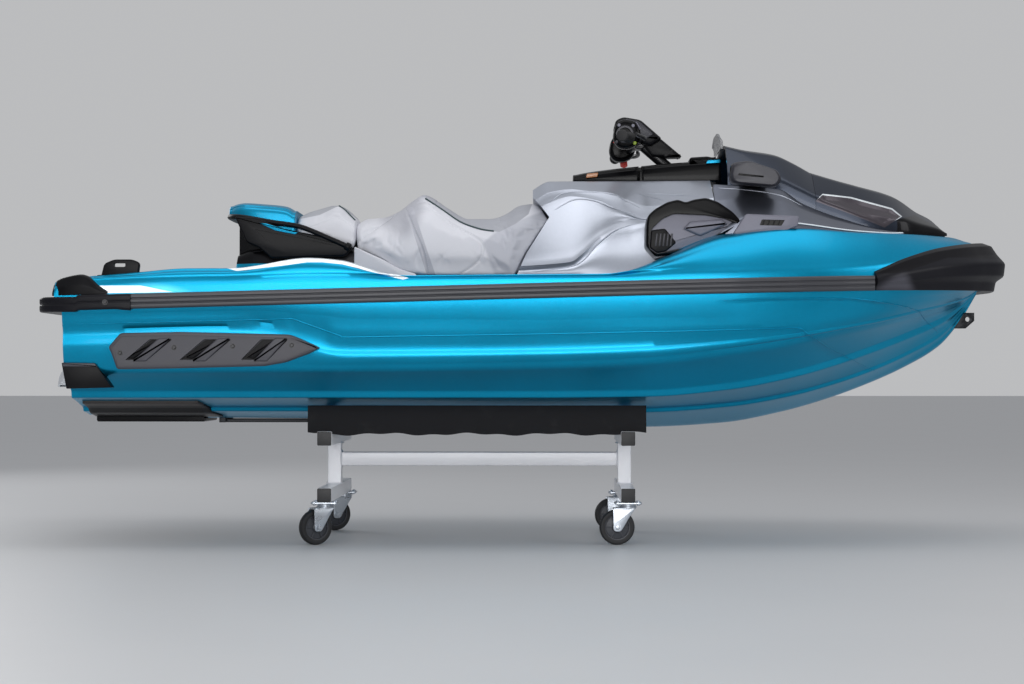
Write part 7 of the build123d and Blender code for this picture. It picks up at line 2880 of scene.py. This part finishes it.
@dataclass
class Dolly:
    """Square-tube frame, carpeted bunks and four swivel casters."""

    frame_x: Flat = (-733.0, 339.0)
    low_z: float = 150.0
    high_z: float = 350.0
    long_z: float = 265.0
    beam_y: float = 380.0
    wheel_r: float = 62.5
    trail: float = 39.0
    casters: tuple[tuple[str, float, float, float], ...] = (
        ("stern_starboard", -733.0, -345.0, 35), ("stern_port", -733.0, 345.0, 30),
        ("bow_starboard", 339.0, -345.0, 5), ("bow_port", 339.0, 345.0, 8))

    @staticmethod
    def tube_section(half: float = 25.0, radius: float = 4.0) -> np.ndarray:
        """Outline of the square tube."""
        return oblong(-half, -half, half, half, radius, 1, 4)

    def beams(self, name: str, low: float) -> Piece:
        """One cross beam on each frame, hollow at its ends.

        Args:
            name: Object name.
            low: Height of the beams' undersides.

        Returns:
            The piece.
        """
        made = []
        for x in self.frame_x:
            beam = slab("beam", self.tube_section() + np.array((x, low + 25)), -self.beam_y, self.beam_y)
            bores = [slab("bore", self.tube_section(21.5, 2.5) + np.array((x, low + 25)),
                          side * (self.beam_y + 1), side * (self.beam_y - 30)) for side in SIDES]
            made.append(carved(beam, bores))
        return joined(name, made)

    def spine(self) -> Piece:
        """Uprights and the long beam, with weld beads where they meet.

        Returns:
            The piece.
        """
        made = [slab("upright", self.tube_section() + np.array((x, 0)), self.low_z + 50, self.high_z,
                     axis=2) for x in self.frame_x]
        a, b = self.frame_x[0] + 25, self.frame_x[1] - 25
        made.append(slab("long", self.tube_section() + np.array((0, self.long_z + 25)), a, b, axis=0))
        square = ((-25.0, -25.0), (25.0, -25.0), (25.0, 25.0), (-25.0, 25.0))
        for x, way in ((a, 1), (b, -1)):
            loop = [(x + way * 0.5, p[0], self.long_z + 25 + p[1]) for p in square]
            made.append(sweep("weld", catmull(loop, 6, True), ring(2.6, 8), closed=True, up=(1, 0, 0)))
        for x in self.frame_x:
            for z in (self.low_z + 50.5, self.high_z - 0.5):
                loop = [(x + p[0], p[1], z) for p in square]
                made.append(sweep("weld", catmull(loop, 6, True), ring(2.6, 8), closed=True, up=(0, 0, 1)))
        return joined("Dolly_spine", made)

    def caps(self) -> Piece:
        """Plastic caps in the ends of the beams.

        Returns:
            The piece.
        """
        made = []
        for x in self.frame_x:
            for z in (self.low_z, self.high_z):
                for side in SIDES:
                    made.append(slab("cap", self.tube_section(24.6, 4) + np.array((x, z + 25)),
                                     side * self.beam_y, side * (self.beam_y + 4), edge=1.6))
                    made.append(slab("plug", self.tube_section(21, 2.5) + np.array((x, z + 25)),
                                     side * (self.beam_y - 24), side * (self.beam_y + 1)))
        return joined("Dolly_end_caps", made)

    def bunks(self) -> Piece:
        """Bunks under carpet, whose skirts hang a little unevenly.

        Returns:
            The piece.
        """
        made = []
        for side in SIDES:
            xs = np.linspace(-795, 404, 121)
            rows = []
            for k, x in enumerate(xs):
                wave = 3.2 * math.sin(x / 47.0) + 2.4 * math.sin(x / 19.0 + 1.3)
                low = 394 + wave - (4 if 8 < k < 112 else 0)
                swell = 1.6 * math.sin(x / 61.0 + side)
                corners = np.array(((300, 404), (312, 400), (345, low + 8), (350 + swell, low),
                                    (354 + swell, low + 4), (351 + 0.5 * swell, 440), (350, 486),
                                    (346, 492), (300, 478)))
                rows.append([(x, side * y, z) for y, z in corners])
            made.append(rows_mesh("bunk", np.array(rows), 50.0))
        return joined("Dolly_bunks", made, 50.0)

    def turned_about(self, piece: Piece, x: float, y: float, yaw: float) -> Piece:
        """Turns a piece's mesh about a caster's swivel axis.

        Args:
            piece: The piece.
            x: X of the swivel's axis.
            y: Y of the swivel's axis.
            yaw: Turn in degrees.

        Returns:
            The same piece.
        """
        centre = Matrix.Translation((x * MM, y * MM, 0))
        piece.data.transform(centre @ Matrix.Rotation(math.radians(yaw), 4, "Z") @ centre.inverted())
        return piece

    def fork(self, x: float, y: float) -> Piece:
        """Pressed fork with its swivel race, dust cap and axle nut.

        Args:
            x: X of the swivel's axis.
            y: Y of the swivel's axis.

        Returns:
            The piece.
        """
        axle_x = x - self.trail
        race = turned("race", ((0, 0), (29, 0), (31, 2), (31, 5), (28, 7), (28, 9), (30, 10), (30, 13),
                               (27, 13.6), (0, 13.6)), (x, y, 130), (0, 0, 1), 36)
        crown = slab("crown", outline(((axle_x - 14, y - 25), (x + 20, y - 25), (x + 30, y),
                                       (x + 20, y + 25), (axle_x - 14, y + 25)), 9, 3), 126, 131, axis=2,
                                       edge=1.5)
        legs = []
        for side in (-1, 1):
            loop = outline(((axle_x - 17, 130), (x + 24, 130), (x + 6, 104), (axle_x + 15, 54),
                            (axle_x + 9, 48), (axle_x - 9, 48), (axle_x - 15, 54)), 7, 3)
            legs.append(slab("leg", loop, y + side * 21, y + side * 25, edge=1.4, both=True))
            legs.append(turned("nut", ((0, 0), (10, 0), (10, 3), (8.6, 5), (5.5, 5.4), (5.5, 7.6), (0, 8)),
                               (axle_x, y + side * 25, self.wheel_r), (0, side, 0), 6, 10.0))
            legs.append(turned("washer", ((0, 0), (12.5, 0), (12.5, 1.6), (0, 1.6)),
                               (axle_x, y + side * 25, self.wheel_r), (0, side, 0), 24))
        axle = turned("axle", ((0, -24), (5.9, -24), (5.9, 24), (0, 24)), (axle_x, y, self.wheel_r),
                      (0, 1, 0), 20)
        return joined("fork", [race, crown, *legs, axle])

    def wheel(self, x: float, y: float) -> Piece:
        """Solid rubber tyre on a moulded hub with spokes.

        Args:
            x: X of the swivel's axis.
            y: Y of the swivel's axis.

        Returns:
            The piece.
        """
        axle_x = x - self.trail
        centre, r = (axle_x, y, self.wheel_r), self.wheel_r
        tyre = turned("tyre", ((45, -13), (50, -14.5), (58, -13.5), (61.4, -9), (r, -4), (r, 4), (61.4, 9),
                               (58, 13.5), (50, 14.5), (45, 13)), centre, (0, 1, 0), 56)
        hub = turned("hub", ((6.3, -18), (14, -18), (17, -16), (19, -10), (40, -7), (42, -12.4), (46, -13),
                             (46, 13), (42, 12.4), (40, 7), (19, 10), (17, 16), (14, 18), (6.3, 18)),
                             centre, (0, 1, 0), 48)
        spokes = []
        for k in range(6):
            t = math.pi / 3 * k
            direction = np.array((math.cos(t), math.sin(t)))
            across = np.array((-direction[1], direction[0]))
            loop = [direction * a + across * b for a, b in ((17, -3), (42, -2), (42, 2), (17, 3))]
            loop = np.array(loop) + np.array((axle_x, self.wheel_r))
            for side in SIDES:
                spokes.append(slab("spoke", loop, y + side * 6, y + side * 12, edge=1.0))
        parts = [dressed(tyre, Paint.TYRE), dressed(hub, Paint.HUB),
                 *(dressed(s, Paint.HUB) for s in spokes)]
        return joined("wheel", parts)

    def plates(self) -> Piece:
        """Top plates of the casters.

        Returns:
            The piece.
        """
        made = []
        for _, x, y, _ in self.casters:
            made.append(slab("plate", oblong(x - 48, y - 40, x + 48, y + 40,
                                              9, 2), 144, 150, axis=2, edge=1.2, both=True))
        return joined("Caster_plates", made)

    def plate_bolts(self) -> Piece:
        """The four bolts of each plate, heads down, and their nuts on top.

        Returns:
            The piece.
        """
        places, facings = [], []
        for _, x, y, _ in self.casters:
            for dx in (-36, 36):
                for dy in (-29, 29):
                    places += [(x + dx, y + dy, 144), (x + dx, y + dy, 150.5)]
                    facings += [(0, 0, -1), (0, 0, 1)]
        heads = Fasteners().heads("Caster_bolts", places, facings, 6.0, 3.6)
        return dressed(heads, Paint.ZINC)

    def build(self) -> None:
        """All of the dolly."""
        for name, low in (("Dolly_lower_beams", self.low_z), ("Dolly_upper_beams", self.high_z)):
            settle(self.beams(name, low), "craft", Paint.FRAME_WHITE, (name.lower(),))
        settle(self.spine(), "craft", Paint.FRAME_WHITE, ("dolly_spine",))
        settle(self.caps(), "craft", Paint.CAP, ("dolly_end_caps",))
        settle(self.bunks(), "craft", Paint.BUNK, ("dolly_bunks",))
        settle(self.plates(), "craft", Paint.ZINC, ("caster_plates",))
        settle(self.plate_bolts(), "craft", Paint.ZINC)
        for name, x, y, yaw in self.casters:
            for made, kind, body, finish in ((self.fork, "fork", "caster", Paint.ZINC),
                                             (self.wheel, "wheel", "wheel", Paint.TYRE)):
                piece = self.turned_about(made(x, y), x, y, yaw)
                piece.name = f"Caster_{kind}_{name}"
                settle(piece, f"{body}_{name}", finish, (f"caster_{kind}_{name}",))


def main() -> None:
    """Builds every sub-assembly in order."""
    Studio().build()
    hull = Hull()
    hull_piece = settle(hull.build(), "craft", Paint.HULL, ("hull",))
    settle(hull.creases(hull_piece), "craft", Paint.HULL)
    deck = Deck(hull)
    settle(deck.build(), "craft", Paint.DECK, ("deck",))
    settle(deck.bin_liner(), "craft", Paint.TRIM)
    edging = Edging(hull)
    settle(edging.rail(), "craft", Paint.RAIL, ("side_rails",))
    settle(edging.bow(), "craft", Paint.BUMPER, ("bow_bumper",))
    settle(edging.stern(), "craft", Paint.BUMPER, ("stern_bumper",))
    settle(edging.corner_caps(), "craft", Paint.TRIM, ("stern_corner_caps",))
    Seats().build()
    Tail().build()
    Console().build()
    Flanks().build()
    Hood().build()
    Steering().build()
    Fittings().build(hull_piece)
    Drive().build()
    Dolly().build()


if __name__ == "__main__":
    main()
